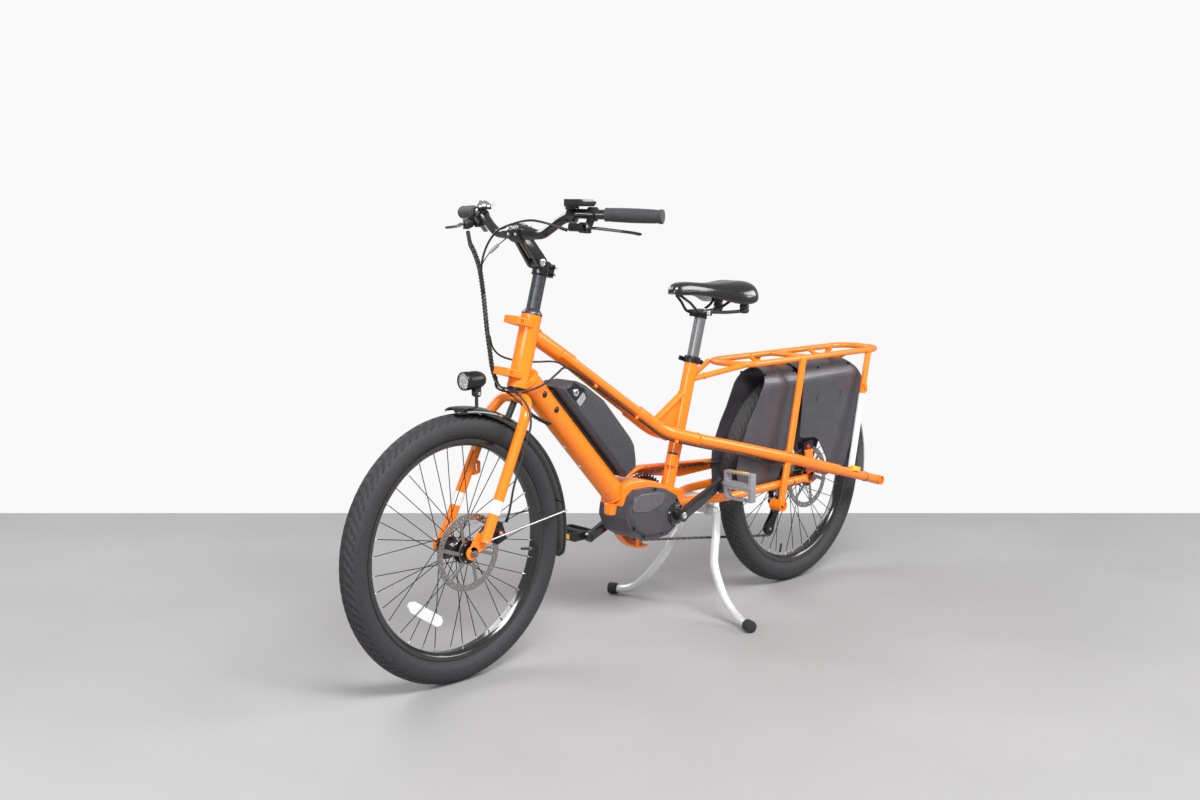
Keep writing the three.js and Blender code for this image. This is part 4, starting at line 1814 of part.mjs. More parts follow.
function cage() {
  const chainLow = -CHAIN_LINE - CHAIN_WIDTH / 2 - CAGE_CLEARANCE;
  const chainHigh = -CHAIN_LINE + CHAIN_WIDTH / 2 + CAGE_CLEARANCE;
  const along = lowerJockey.clone().sub(upperJockey).normalize();
  const across = vec(-along.z, 0, along.x).setLength(CAGE_PLATE_RADIUS);
  const outline = [
    upperJockey.clone().add(across), upperJockey.clone().add(across),
    lowerJockey.clone().add(across), lowerJockey.clone().sub(across), upperJockey.clone().sub(across),
  ].slice(1).map((point) => [point.x, point.z]);
  const plate = (low) => [
    slab(outline, low, low + CAGE_PLATE_THICKNESS),
    crossRod(upperJockey, CAGE_PLATE_RADIUS, low, low + CAGE_PLATE_THICKNESS, SMALL_SIDES),
    crossRod(lowerJockey, CAGE_PLATE_RADIUS, low, low + CAGE_PLATE_THICKNESS, SMALL_SIDES),
  ];
  const half = CHAINRING_THICKNESS / 2;
  const wheels = [upperJockey, lowerJockey].flatMap((place) => [
    crossRod(place, toothed(JOCKEY_RADIUS), -CHAIN_LINE - half, -CHAIN_LINE + half, RING_SIDES),
    crossRod(
      place, CHAINRING_THICKNESS,
      chainLow - CAGE_PLATE_THICKNESS, chainHigh + CAGE_PLATE_THICKNESS, PIN_SIDES,
    ),
  ]);
  return join(plate(chainLow - CAGE_PLATE_THICKNESS), plate(chainHigh), wheels);
}

function derailleurBody() {
  const dropoutFace = -REAR_HUB_WIDTH / 2 - REAR_DROPOUT_THICKNESS - GAP;
  const cageFace = -CHAIN_LINE - CHAIN_WIDTH / 2 - CAGE_CLEARANCE - CAGE_PLATE_THICKNESS - GAP;
  const outer = dropoutFace - DERAILLEUR_BODY_RADIUS;
  const radius = DERAILLEUR_BODY_RADIUS * 0.8;
  const knuckle = crossRod(hangerFoot, radius * 0.8, outer, dropoutFace, SMALL_SIDES);
  const lower = crossRod(
    upperJockey, radius, dropoutFace - DERAILLEUR_BODY_RADIUS * 0.4, cageFace, TUBE_SIDES);
  const high = vec(hangerFoot.x, dropoutFace - radius * 0.85, hangerFoot.z);
  const low = vec(upperJockey.x, dropoutFace, upperJockey.z);
  return join(knuckle, lower, rod(high, low, radius * 0.7, SMALL_SIDES));
}

const crankAlong = vec(-Math.cos(CRANK_ANGLE), 0, Math.sin(CRANK_ANGLE));
const leftEye = CRANK.clone().addScaledVector(crankAlong, CRANK_LENGTH);
const rightEye = CRANK.clone().addScaledVector(crankAlong, -CRANK_LENGTH);

function crankArm(eye, side) {
  const inner = CRANK_OUTER_FACE - CRANK_THICKNESS - CRANK_THICKNESS / 2;
  const outer = inner + CRANK_THICKNESS;
  const along = eye.clone().sub(CRANK).normalize();
  const across = vec(-along.z, 0, along.x);
  const corner = (place, radius) => {
    const point = place.clone().addScaledVector(across, radius);
    return [point.x, point.z];
  };
  const outline = [
    corner(CRANK, CRANK_HUB_RADIUS * 0.9), corner(eye, CRANK_EYE_RADIUS * 0.9),
    corner(eye, -CRANK_EYE_RADIUS * 0.9), corner(CRANK, -CRANK_HUB_RADIUS * 0.9),
  ];
  const span = (a, b) => [Math.min(side * a, side * b), Math.max(side * a, side * b)];
  const arm = join(
    crossRod(CRANK, CRANK_HUB_RADIUS, ...span(CRANK_INNER_FACE, CRANK_OUTER_FACE - OVERRUN), ROUND_SIDES),
    slab(outline, ...span(inner, outer)),
    crossRod(eye, CRANK_EYE_RADIUS, ...span(inner, outer), RING_SIDES),
  );
  return cut(arm, crossRod(eye, PEDAL_AXLE_RADIUS + 2 * GAP, ...span(0, 2 * CRANK_OUTER_FACE), SMALL_SIDES));
}

function crankLeft() {
  const spindle = crossRod(
    CRANK, SPINDLE_RADIUS, -CRANK_OUTER_FACE + OVERRUN, CRANK_OUTER_FACE - OVERRUN, ROUND_SIDES);
  return join(crankArm(leftEye, 1), spindle);
}

function crankRight() {
  const bore = crossRod(CRANK, SPINDLE_RADIUS + GAP, -2 * CRANK_OUTER_FACE, 0, ROUND_SIDES);
  return cut(crankArm(rightEye, -1), bore);
}

function pedal(eye, side, upright) {
  const inner = CRANK_OUTER_FACE + CRANK_THICKNESS / 2 - OVERRUN + PEDAL_STANDOFF - CRANK_THICKNESS / 2;
  const outer = inner + PEDAL_WIDTH;
  const armInner = CRANK_OUTER_FACE - CRANK_THICKNESS - CRANK_THICKNESS / 2;
  const middle = vec(eye.x, (side * (inner + outer)) / 2, eye.z);
  const plate = (offset, length, width, thickness) => (upright
    ? block(middle.clone().add(vec(0, 0, offset)), thickness, width, length)
    : block(middle.clone().add(vec(offset, 0, 0)), length, width, thickness));
  const frame = plate(0, PEDAL_LENGTH, PEDAL_WIDTH, PEDAL_THICKNESS * 0.8);
  const window = (end) => plate(
    (end * (PEDAL_LENGTH + PEDAL_BODY_RADIUS)) / 4,
    (PEDAL_LENGTH - PEDAL_BODY_RADIUS) / 2 - PEDAL_WALL, PEDAL_WIDTH - 2 * PEDAL_WALL, PEDAL_THICKNESS * 2);
  const body = crossRod(eye, PEDAL_BODY_RADIUS, side * inner, side * outer, SMALL_SIDES);
  const axleRod = crossRod(eye, PEDAL_AXLE_RADIUS, side * armInner, side * outer, SMALL_SIDES);
  return join(cut(frame, window(-1), window(1)), body, axleRod);
}

// Chain guard: a hoop round the front of the chainring, and a plate over the upper run
function arcOutline(centre, inner, outer, start, end, steps) {
  const arc = (radius) => Array.from({ length: steps + 1 }, (_, i) => {
    const point = around(centre, radius, start + ((end - start) * i) / steps);
    return [point.x, point.z];
  });
  return [...arc(outer), ...arc(inner).reverse()];
}

function chainGuard() {
  const outerRadius = HOOP_RADIUS + HOOP_THICKNESS;
  const inner = -HOOP_OUTER_FACE + HOOP_WIDTH;
  const hoop = slab(
    arcOutline(CRANK, HOOP_RADIUS, outerRadius, Math.PI / 2 + 0.05, HOOP_END_ANGLE, ROUND_SIDES),
    -HOOP_OUTER_FACE, inner);
  const faceWidth = GUARD_PLATE_THICKNESS;
  const face = slab(
    arcOutline(CRANK, CHAINRING_RADIUS, outerRadius, Math.PI / 2 + 0.05, HOOP_END_ANGLE, ROUND_SIDES),
    -HOOP_OUTER_FACE, -HOOP_OUTER_FACE + faceWidth);
  const top = CRANK.z + outerRadius;
  const rear = CRANK.x - GUARD_PLATE_REACH;
  const rearTop = top - GUARD_PLATE_END_DROP - HOOP_THICKNESS;
  const plate = slab([
    [CRANK.x, top], [rear, rearTop], [rear, rearTop - GUARD_PLATE_DEPTH / 2],
    [CRANK.x - GUARD_PLATE_REACH / 2, top - GUARD_PLATE_DEPTH], [CRANK.x, top - GUARD_PLATE_DEPTH / 2],
  ], -HOOP_OUTER_FACE, -HOOP_OUTER_FACE + faceWidth);
  const coverShare = 0.8;
  const coverRear = CRANK.x - GUARD_PLATE_REACH * coverShare;
  const coverDrop = (GUARD_PLATE_END_DROP + HOOP_THICKNESS) * coverShare;
  const cover = slab([
    [CRANK.x, top], [coverRear, top - coverDrop],
    [coverRear, top - coverDrop - faceWidth], [CRANK.x, top - HOOP_THICKNESS],
  ], -HOOP_OUTER_FACE, inner);
  const tabX = CRANK.x + HOOP_THICKNESS * 4;
  const tabOuter = -CHAIN_LINE + CHAIN_WIDTH / 2 + GAP * 2;
  const tabLow = CRANK.z - Math.sqrt(
    HOOP_RADIUS ** 2 - (CRANK.x - tabX - HOOP_BRACKET_WIDTH) ** 2) - HOOP_THICKNESS * 0.6;
  const tab = slab([
    [tabX, tabLow], [tabX + HOOP_BRACKET_WIDTH, tabLow],
    [tabX + HOOP_BRACKET_WIDTH, CRANK.z - MOTOR_BELOW * 0.6], [tabX, CRANK.z - MOTOR_BELOW * 0.6],
  ], tabOuter, -MOTOR_RIGHT_FACE - GAP);
  return join(hoop, face, plate, cover, tab);
}

// Centre stand and its bracket under the lower stays
const standPivot = vec(CRANK.x - STAND_PIVOT_BEHIND, 0, STAND_PIVOT_HEIGHT);

function standLeg() {
  const drop = STAND_PIVOT_HEIGHT - STAND_FOOT_RADIUS;
  const points = stand_leg_shares.map(([ahead, left, down]) => vec(
    standPivot.x + ahead * STAND_FOOT_AHEAD, (left * STAND_FOOT_SPREAD) / 2, standPivot.z - down * drop));
  const foot = points.at(-1);
  const along = foot.clone().sub(points.at(-2)).normalize();
  const footStart = foot.clone().addScaledVector(along, -STAND_FOOT_LENGTH / 2);
  const footEnd = foot.clone().addScaledVector(along, STAND_FOOT_LENGTH / 2);
  const rubber = rod(footStart, footEnd, STAND_FOOT_RADIUS, TUBE_SIDES);
  return join(tube(points, STAND_LEG_RADIUS, SMALL_SIDES), rubber);
}

function stand() {
  const leg = standLeg();
  const half = STAND_TOP_SPREAD / 2;
  const whole = join(leg, mirrored(leg), crossRod(standPivot, STAND_LEG_RADIUS, -half, half, BORE_SIDES));
  const under = vec(standPivot.x + STAND_FOOT_AHEAD, 0, -STAND_FOOT_RADIUS);
  return cut(whole, block(under, STAND_FOOT_SPREAD, 2 * STAND_FOOT_SPREAD, 2 * STAND_FOOT_RADIUS));
}

function standBracket() {
  const half = STAND_BRACKET_WIDTH / 2;
  const wall = STAND_BRACKET_WALL;
  const top = CRANK.z + STAY_NECK_RISE - STAY_RADIUS * 0.6;
  const plate = block(
    vec(standPivot.x, 0, top - wall / 2), STAND_BRACKET_LENGTH, STAND_TOP_SPREAD, wall * 2);
  const cheekRadius = STAND_LEG_RADIUS + 2 * STAND_PIN_RADIUS / 2;
  const cheek = join(
    crossRod(standPivot, cheekRadius, half - 2 * wall, half - wall, RING_SIDES),
    slab([
      [standPivot.x - cheekRadius, standPivot.z], [standPivot.x + cheekRadius, standPivot.z],
      [standPivot.x + STAND_BRACKET_LENGTH / 2, top], [standPivot.x - STAND_BRACKET_LENGTH / 2, top],
    ], half - 2 * wall, half - wall),
  );
  const boreRadius = (STAND_LEG_RADIUS + GAP) / Math.cos(Math.PI / 16);
  const bore = crossRod(standPivot, boreRadius, -STAND_TOP_SPREAD, STAND_TOP_SPREAD, BORE_SIDES);
  return cut(join(plate, cheek, mirrored(cheek)), bore, stayTube(GAP), mirrored(stayTube(GAP)));
}

// Cables, one piece: the bundle from the bar, the hoses to both calipers and the frame run
function cableTube(points, radius, steps, sides) {
  return tube(smooth(points.map(([x, y, z]) => vec(x, y, z)), steps), radius, sides);
}

function railHosePoints() {
  const reach = SLEEVE_RADIUS + HOSE_RADIUS + 4 * GAP;
  const route = [
    between(railFront, railBend, 0.2), between(railFront, railBend, 0.45), ...railBendRoute.slice(1, -1),
    between(railBend, sleeveEnd, 0.9),
    between(sleeveEnd, railStrut, 0.3), between(sleeveEnd, railStrut, 0.6),
  ];
  return route.map((point, i) => {
    const along = route[
      Math.min(i + 1, route.length - 1)].clone().sub(route[Math.max(i - 1, 0)]).normalize();
    const out = vec(0, 0.42, -0.91);
    out.addScaledVector(along, -out.dot(along)).setLength(reach);
    return point.clone().add(out).toArray();
  });
}

function cableLoom() {
  const railPoints = railHosePoints();
  return join(
    cableTube(loom_points, LOOM_RADIUS, 12, PIN_SIDES),
    cableTube(left_hose_points, HOSE_RADIUS, 12, 5),
    cableTube([...frame_hose_points, ...railPoints, ...caliper_hose_points], HOSE_RADIUS, 34, 5),
    cableTube(fork_hose_points, HOSE_RADIUS, 14, 5),
  );
}

// Frame
piece(bike, "head_tube", headTube(), orange);
piece(bike, "down_tube", downTube(), orange);
piece(bike, "seat_tube", seatTube(), orange);
piece(bike, "side_rails", sideRails(), orange);
piece(bike, "chainstays", chainstays(), orange);
piece(bike, "rack_deck", rackDeck(), orange);
piece(bike, "strut_left", strutWithSocket(), orange);
piece(bike, "strut_right", mirrored(strutWithSocket()), orange);
piece(bike, "skirt_front", skirt(front_skirt_shares, front_skirt_right_shares), sheetGrey);
piece(bike, "skirt_rear", skirt(rear_skirt_shares), sheetGrey);
piece(bike, "rear_mudguard", rearMudguard(), greyPlastic);
piece(bike, "battery_mount", batteryMount(), blackPlastic);
piece(bike, "motor_housing", motorHousing(), darkPlastic);
piece(bike, "chain_guard", chainGuard(), orange);
piece(bike, "stand_bracket", standBracket(), blackMetal);
piece(bike, "seat_clamp", mirrored(seatClamp()), blackMetal);
piece(bike, "rear_caliper", rearCaliper(), blackMetal);
piece(bike, "rear_axle", axle(REAR, REAR_HUB_WIDTH, REAR_DROPOUT_THICKNESS), silver);
piece(bike, "chain", chain(), gunmetal);
piece(bike, "derailleur_body", derailleurBody(), blackMetal);
piece(bike, "derailleur_cage", cage(), blackMetal);

// Parts that move on the frame
const batteryFoot = onDown(railEnd, railTop + GAP);
piece(bike, "battery", battery(), darkPlastic, batteryFoot);
piece(bike, "seat_clamp_lever", mirrored(seatClampLever()), blackMetal, flipped(leverPin));
piece(bike, "stand", stand(), silver, standPivot);

const seat = assembly(onSeat(seatTubeTopRise));
piece(seat, "seatpost", seatPost(), silver);
piece(seat, "saddle_rails", tube(saddleRailPath(), RAIL_ROD_RADIUS, PIN_SIDES), silver);
piece(seat, "saddle", saddleShape(), saddleSkin);

// Steering, with everything that the fork carries
const steering = assembly(headLow);
piece(steering, "fork", fork(), orange);
piece(steering, "headset_lower", headsetLower(), blackMetal);
piece(steering, "spacer_stack", column(), gunmetal);
piece(steering, "stem_base", stemBase(), blackMetal);
piece(steering, "front_mudguard", frontMudguard(), blackPlastic);
piece(steering, "headlamp", headlamp(), blackMetal, lampPivot);
piece(steering, "front_caliper", frontCaliper(), blackMetal);
piece(steering, "front_axle", axle(FRONT, FRONT_HUB_WIDTH, DROPOUT_THICKNESS), silver);
piece(steering, "cable_loom", cableLoom(), blackPlastic);

// The bar and its controls, on the tilting stem arm
const bars = assembly(stemPivot);
piece(bars, "stem_arm", stemArm(), blackMetal);
piece(bars, "handlebar", handlebar(), blackMetal);
piece(bars, "grip_left", grip(), gripRubber);
piece(bars, "grip_right", mirrored(grip()), gripRubber);
piece(bars, "brake_perch_left", brakePerch(), blackMetal);
piece(bars, "brake_perch_right", join(mirrored(brakePerch()), shifter()), blackMetal);
piece(bars, "brake_lever_left", brakeLever(), blackMetal, leverPivot);
piece(bars, "brake_lever_right", mirrored(brakeLever()), blackMetal, flipped(leverPivot));
piece(bars, "shift_lever", shiftLever(), blackMetal, shiftPivot);
piece(bars, "display", display(), blackPlastic);
piece(bars, "bell_dome", bell(), blackMetal);
piece(bars, "bell_lever", bellLever(), blackMetal, bellLeverPivot);

// Wheels and drive
const frontWheel = assembly(FRONT);
piece(frontWheel, "front_tyre", tyreRing(FRONT), tyreRubber);
piece(
  frontWheel, "front_wheel",
  spokedWheel(FRONT, FRONT_HUB_WIDTH, FRONT_FLANGE_SPREAD, false), blackMetal,
);
piece(frontWheel, "front_rotor", rotorDisc(FRONT, FRONT_HUB_WIDTH), silver);
const rearWheel = assembly(REAR);
piece(rearWheel, "rear_tyre", tyreRing(REAR), tyreRubber);
piece(rearWheel, "rear_wheel", spokedWheel(REAR, REAR_HUB_WIDTH, REAR_FLANGE_SPREAD, true), blackMetal);
piece(rearWheel, "rear_rotor", rotorDisc(REAR, REAR_HUB_WIDTH), silver);
piece(rearWheel, "cassette", cassette(), silver);
const cranks = assembly(CRANK);
piece(cranks, "crank_left", crankLeft(), blackMetal);
piece(cranks, "crank_right", crankRight(), blackMetal);
piece(cranks, "chainring", chainring(), blackMetal);
piece(cranks, "pedal_left", pedal(leftEye, 1, true), blackPlastic, leftEye);
piece(cranks, "pedal_right", pedal(rightEye, -1, false), blackPlastic, rightEye);

// The bounding box centred on the origin
const box = new THREE.Box3().setFromObject(bike);
bike.position.x = -(box.min.x + box.max.x) / 2;
const whole = new THREE.Group();
whole.add(bike);

export default whole;
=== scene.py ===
import json
import math
import random

import bmesh
import bpy
from mathutils import Matrix, Vector
from mathutils.bvhtree import BVHTree

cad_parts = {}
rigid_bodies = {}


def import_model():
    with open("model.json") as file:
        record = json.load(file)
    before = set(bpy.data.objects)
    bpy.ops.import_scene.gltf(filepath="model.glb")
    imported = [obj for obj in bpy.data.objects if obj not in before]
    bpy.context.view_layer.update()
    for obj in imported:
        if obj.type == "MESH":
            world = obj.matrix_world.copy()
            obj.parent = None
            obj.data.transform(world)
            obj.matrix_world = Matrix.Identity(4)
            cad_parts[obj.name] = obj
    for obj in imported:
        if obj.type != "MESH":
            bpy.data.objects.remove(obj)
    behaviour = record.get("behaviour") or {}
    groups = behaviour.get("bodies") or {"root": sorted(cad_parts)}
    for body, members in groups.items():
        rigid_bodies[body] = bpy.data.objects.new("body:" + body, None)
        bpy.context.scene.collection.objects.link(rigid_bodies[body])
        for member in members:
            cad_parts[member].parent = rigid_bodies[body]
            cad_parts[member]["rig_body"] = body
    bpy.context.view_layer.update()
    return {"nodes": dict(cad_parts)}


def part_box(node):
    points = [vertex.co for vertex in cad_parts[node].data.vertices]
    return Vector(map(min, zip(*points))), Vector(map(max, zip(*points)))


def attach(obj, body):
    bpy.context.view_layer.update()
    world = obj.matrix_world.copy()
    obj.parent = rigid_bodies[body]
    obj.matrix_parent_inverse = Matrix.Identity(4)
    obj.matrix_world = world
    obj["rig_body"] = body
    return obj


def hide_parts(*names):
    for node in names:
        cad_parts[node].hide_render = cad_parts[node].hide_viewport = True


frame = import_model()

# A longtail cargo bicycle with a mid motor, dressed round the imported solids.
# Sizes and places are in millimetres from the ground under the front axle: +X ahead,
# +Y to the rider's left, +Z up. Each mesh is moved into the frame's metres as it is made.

random.seed(7)


def vec(x, y, z):
    return Vector((x, y, z))


# Driving sizes
WHEELBASE = 1269
REAR_CENTRE = 586
CRANK_AXLE_HEIGHT = 299
LEAN = math.radians(15.5)
TYRE_RADIUS = 314
TYRE_SECTION = 61
GAP = 0.3

axle_low, axle_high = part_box("front_axle")
ORIGIN = vec((axle_low.x + axle_high.x) / 2, 0, 0)
UNIT = 0.001
FRONT = vec(0, 0, TYRE_RADIUS)
REAR = vec(-WHEELBASE, 0, TYRE_RADIUS)
CRANK = vec(REAR.x + REAR_CENTRE, 0, CRANK_AXLE_HEIGHT)
LEFT = vec(0, 1, 0)
UP = vec(0, 0, 1)
head_up = vec(-math.sin(LEAN), 0, math.cos(LEAN))
head_ahead = vec(math.cos(LEAN), 0, math.sin(LEAN))
STEER_SETBACK = 92.6
FORK_RISE = 355
head_low = vec(-STEER_SETBACK - FORK_RISE * math.tan(LEAN), 0, TYRE_RADIUS + FORK_RISE)
SEAT_TUBE_SETBACK = 27


def on_head(rise, ahead=0, left=0):
    return head_low + head_up * rise + head_ahead * ahead + LEFT * left


def on_seat(rise, left=0):
    return vec(CRANK.x - SEAT_TUBE_SETBACK - rise * math.tan(LEAN), left, CRANK.z + rise)


def around(centre, radius, angle, left=0):
    return vec(centre.x + radius * math.cos(angle), left, centre.z + radius * math.sin(angle))


def flipped(point):
    return vec(point.x, -point.y, point.z)


def sided(points, side):
    return points if side > 0 else [flipped(point) for point in points]


def to_side(side, near, far):
    """Two distances to one side of the bike, in rising order."""
    return sorted((side * near, side * far))


def in_plane(point):
    return point.x, point.z


def about(centre, pairs):
    """An outline in the XZ plane, from distances ahead of and above a place."""
    return [(centre.x + ahead, centre.z + up) for ahead, up in pairs]


def mirrored(profile):
    """Half a profile and its mirror image, as one loop."""
    return [(radius, -far) for radius, far in profile] + profile[::-1]


# Meshes
def to_frame(point):
    return point * UNIT + ORIGIN


def evaluated(obj):
    """The object's mesh with its modifiers, or a curve's mesh."""
    graph = bpy.context.evaluated_depsgraph_get()
    return bpy.data.meshes.new_from_object(obj.evaluated_get(graph))


class Shape:
    """Vertices in metres and faces, each face with its finish."""

    def __init__(self):
        self.places = []
        self.faces = []
        self.finishes = []

    def add(self, places, faces, finish, in_mm=True):
        start = len(self.places)
        self.places += [to_frame(point) if in_mm else point for point in places]
        self.faces += [[index + start for index in face] for face in faces]
        self.finishes += [finish] * len(faces)

    def add_mesh(self, mesh, finish, in_mm=True, move=lambda point: point):
        places = [move(vertex.co.copy()) for vertex in mesh.vertices]
        self.add(places, [list(face.vertices) for face in mesh.polygons], finish, in_mm)
        bpy.data.meshes.remove(mesh)

    def build(self, name, node, angle=38):
        mesh = bpy.data.meshes.new(name)
        mesh.from_pydata(self.places, [], self.faces)
        kinds = sorted(set(self.finishes))
        for kind in kinds:
            mesh.materials.append(materials[kind])
        indices = [kinds.index(finish) for finish in self.finishes]
        mesh.polygons.foreach_set("material_index", indices)
        mesh.polygons.foreach_set("use_smooth", [True] * len(indices))
        mesh.set_sharp_from_angle(angle=math.radians(angle))
        mesh.validate()
        obj = bpy.data.objects.new(name, mesh)
        bpy.context.scene.collection.objects.link(obj)
        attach(obj, frame["nodes"][node]["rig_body"])
        return obj


def dress(name, node, shape, angle=38):
    """A piece that stands for a node."""
    obj = shape.build(name, node, angle)
    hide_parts(node)
    return obj


def piece(name, node):
    """Makes a piece at once from the function that draws its shape."""
    def made(draw):
        shape = Shape()
        draw(shape)
        dress(name, node, shape)
        return draw
    return made


def loft(shape, rings, finish, closed=False, capped=True):
    count = len(rings[0])
    faces = []
    last = len(rings) if closed else len(rings) - 1
    for r in range(last):
        a = r * count
        b = ((r + 1) % len(rings)) * count
        faces += [[a + i, a + (i + 1) % count, b + (i + 1) % count, b + i] for i in range(count)]
    if capped and not closed:
        end = (len(rings) - 1) * count
        faces.append(list(range(count))[::-1])
        faces.append([end + i for i in range(count)])
    shape.add([point for ring in rings for point in ring], faces, finish)


def circle_round(centre, along, radius, sides, side=None):
    along = along.normalized()
    side = side or along.orthogonal()
    side = (side - along * side.dot(along)).normalized()
    other = along.cross(side)
    turns = [2 * math.pi * i / sides for i in range(sides)]
    return [centre + side * radius * math.cos(t) + other * radius * math.sin(t) for t in turns]


def tube(shape, points, radius, finish="orange", sides=24, closed=False, side=None):
    """A round tube along a route, its ends slightly rounded off."""
    count = len(points)
    radii = radius if isinstance(radius, list) else [radius] * count
    rings = []
    for i, point in enumerate(points):
        before = points[i - 1] if i > 0 or closed else point
        after = points[(i + 1) % count] if i < count - 1 or closed else point
        along = after - before
        side = side or along.orthogonal()
        side = (side - along.normalized() * side.dot(along.normalized())).normalized()
        rings.append(circle_round(point, along, radii[i], sides, side))
        if not closed and i in (0, count - 1):
            outward = -along.normalized() if i == 0 else along.normalized()
            edge = min(0.8, radii[i] * 0.25)
            cap = circle_round(point, along, radii[i] - edge, sides, side)
            back = [place - outward * edge for place in rings[-1]]
            rings[-1:] = [cap, back] if i == 0 else [back, cap]
    loft(shape, rings, finish, closed)


def turned(shape, start, along, profile, finish="orange", sides=40, closed=False):
    """A body turned about a line, from (radius, distance along it) pairs."""
    along = along.normalized()
    side = along.orthogonal()
    rings = [circle_round(start + along * far, along, max(radius, 0.01), sides, side)
             for radius, far in profile]
    loft(shape, rings, finish, closed=closed)


def rod(shape, a, b, radius, finish="orange", end_radius=None, edge=0.8, sides=32):
    end = radius if end_radius is None else end_radius
    length = (b - a).length
    edge = min(edge, length * 0.3, radius * 0.5, end * 0.5)
    profile = [(radius - edge, 0), (radius, edge), (end, length - edge), (end - edge, length)]
    turned(shape, a, b - a, profile, finish, sides)


def cross_rod(shape, centre, radius, low, high, finish="orange", edge=0.8, sides=32):
    low, high = min(low, high), max(low, high)
    a = vec(centre.x, low, centre.z)
    rod(shape, a, vec(centre.x, high, centre.z), radius, finish, edge=edge, sides=sides)


def pipe(shape, a, b, radius, bore, finish="orange", edge=0.6, sides=40):
    length = (b - a).length
    profile = [
        (bore, 0), (radius - edge, 0), (radius, edge), (radius, length - edge),
        (radius - edge, length), (bore, length),
    ]
    turned(shape, a, b - a, profile, finish, sides, closed=True)


def spun(shape, centre, profile, finish, sides=96):
    """A closed ring turned about the cross line through a place, from (radius, left) pairs."""
    turned(shape, vec(centre.x, 0, centre.z), LEFT, profile, finish, sides, closed=True)


def block(shape, centre, length, width, height, finish="orange", lean=0, edge=1.0):
    half_length = length / 2
    half_height = height / 2
    corners = [(-half_length, -half_height), (half_length, -half_height),
               (half_length, half_height), (-half_length, half_height)]
    outline = [(centre.x + x * math.cos(lean) + z * math.sin(lean),
                centre.z - x * math.sin(lean) + z * math.cos(lean)) for x, z in corners]
    plate(shape, outline, centre.y - width / 2, centre.y + width / 2, finish, edge)


def offset(corners, distance):
    """An outline moved outwards, its corners kept."""
    count = len(corners)
    nexts = corners[1:] + corners[:1]
    area = sum(a[0] * b[1] - b[0] * a[1] for a, b in zip(corners, nexts))
    sign = 1 if area > 0 else -1
    sharpest = 0.3
    out = []
    for i in range(count):
        last, here, following = Vector(corners[i - 1]), Vector(corners[i]), Vector(nexts[i])
        before = Vector((here.y - last.y, last.x - here.x)).normalized() * sign
        after = Vector((following.y - here.y, here.x - following.x)).normalized() * sign
        moved = here + (before + after) * (distance / max(1 + before.dot(after), sharpest))
        out.append((moved.x, moved.y))
    return out


def plate(shape, outline, low, high, finish="orange", edge=0.6, holes=(), resolution=1):
    """A plate in the XZ plane between two distances to the left, with rounded edges."""
    curve = bpy.data.curves.new("outline", "CURVE")
    curve.dimensions = "2D"
    curve.fill_mode = "BOTH"
    edge = min(edge, (high - low) * 0.45)
    curve.extrude = (high - low) / 2 - edge
    curve.bevel_depth = edge
    curve.bevel_resolution = resolution
    loops = [offset(outline, -edge)] + [offset(hole, edge) for hole in holes]
    for loop in loops:
        spline = curve.splines.new("POLY")
        spline.points.add(len(loop) - 1)
        for point, (x, z) in zip(spline.points, loop):
            point.co = (x, z, 0, 1)
        spline.use_cyclic_u = True
    obj = bpy.data.objects.new("outline", curve)
    bpy.context.scene.collection.objects.link(obj)
    mesh = evaluated(obj)
    middle = (low + high) / 2
    shape.add_mesh(mesh, finish, move=lambda p: vec(p.x, middle - p.z, p.y))
    bpy.data.objects.remove(obj)
    bpy.data.curves.remove(curve)


WELDED_DISTANCE = 1e-5
FACET_ANGLE = math.radians(1.5)
SHARP_ANGLE = math.radians(32)


def refined(shape, node, finish, edge=1.0):
    """A node's own solid with its edges rounded."""
    solid = bmesh.new()
    solid.from_mesh(frame["nodes"][node].data)
    bmesh.ops.remove_doubles(solid, verts=solid.verts, dist=WELDED_DISTANCE)
    bmesh.ops.dissolve_limit(solid, angle_limit=FACET_ANGLE, verts=solid.verts, edges=solid.edges)
    sharp = [e for e in solid.edges if e.is_manifold and e.calc_face_angle(0) > SHARP_ANGLE]
    bmesh.ops.bevel(
        solid, geom=sharp, offset=edge * UNIT, segments=2, profile=0.6, affect="EDGES",
        clamp_overlap=True)
    mesh = bpy.data.meshes.new("refined")
    solid.to_mesh(mesh)
    solid.free()
    shape.add_mesh(mesh, finish, in_mm=False)


def rounded(corners, radius, steps=10, closed=False):
    """A line of corners with each corner rounded."""
    count = len(corners)
    out = []
    for i in range(count):
        if not closed and i in (0, count - 1):
            out.append(corners[i].copy())
            continue
        corner = corners[i]
        before = corners[i - 1] - corner
        after = corners[(i + 1) % count] - corner
        turn = math.pi - before.angle(after)
        reach = min(radius * math.tan(turn / 2), before.length * 0.45, after.length * 0.45)
        start = corner + before.normalized() * reach
        end = corner + after.normalized() * reach
        for k in range(steps + 1):
            t = k / steps
            out.append(start * (1 - t) ** 2 + corner * 2 * t * (1 - t) + end * t * t)
    return out


def outline_rounded(outline, radius, steps=6):
    loop = rounded([vec(x, z, 0) for x, z in outline], radius, steps, closed=True)
    return [(point.x, point.y) for point in loop]


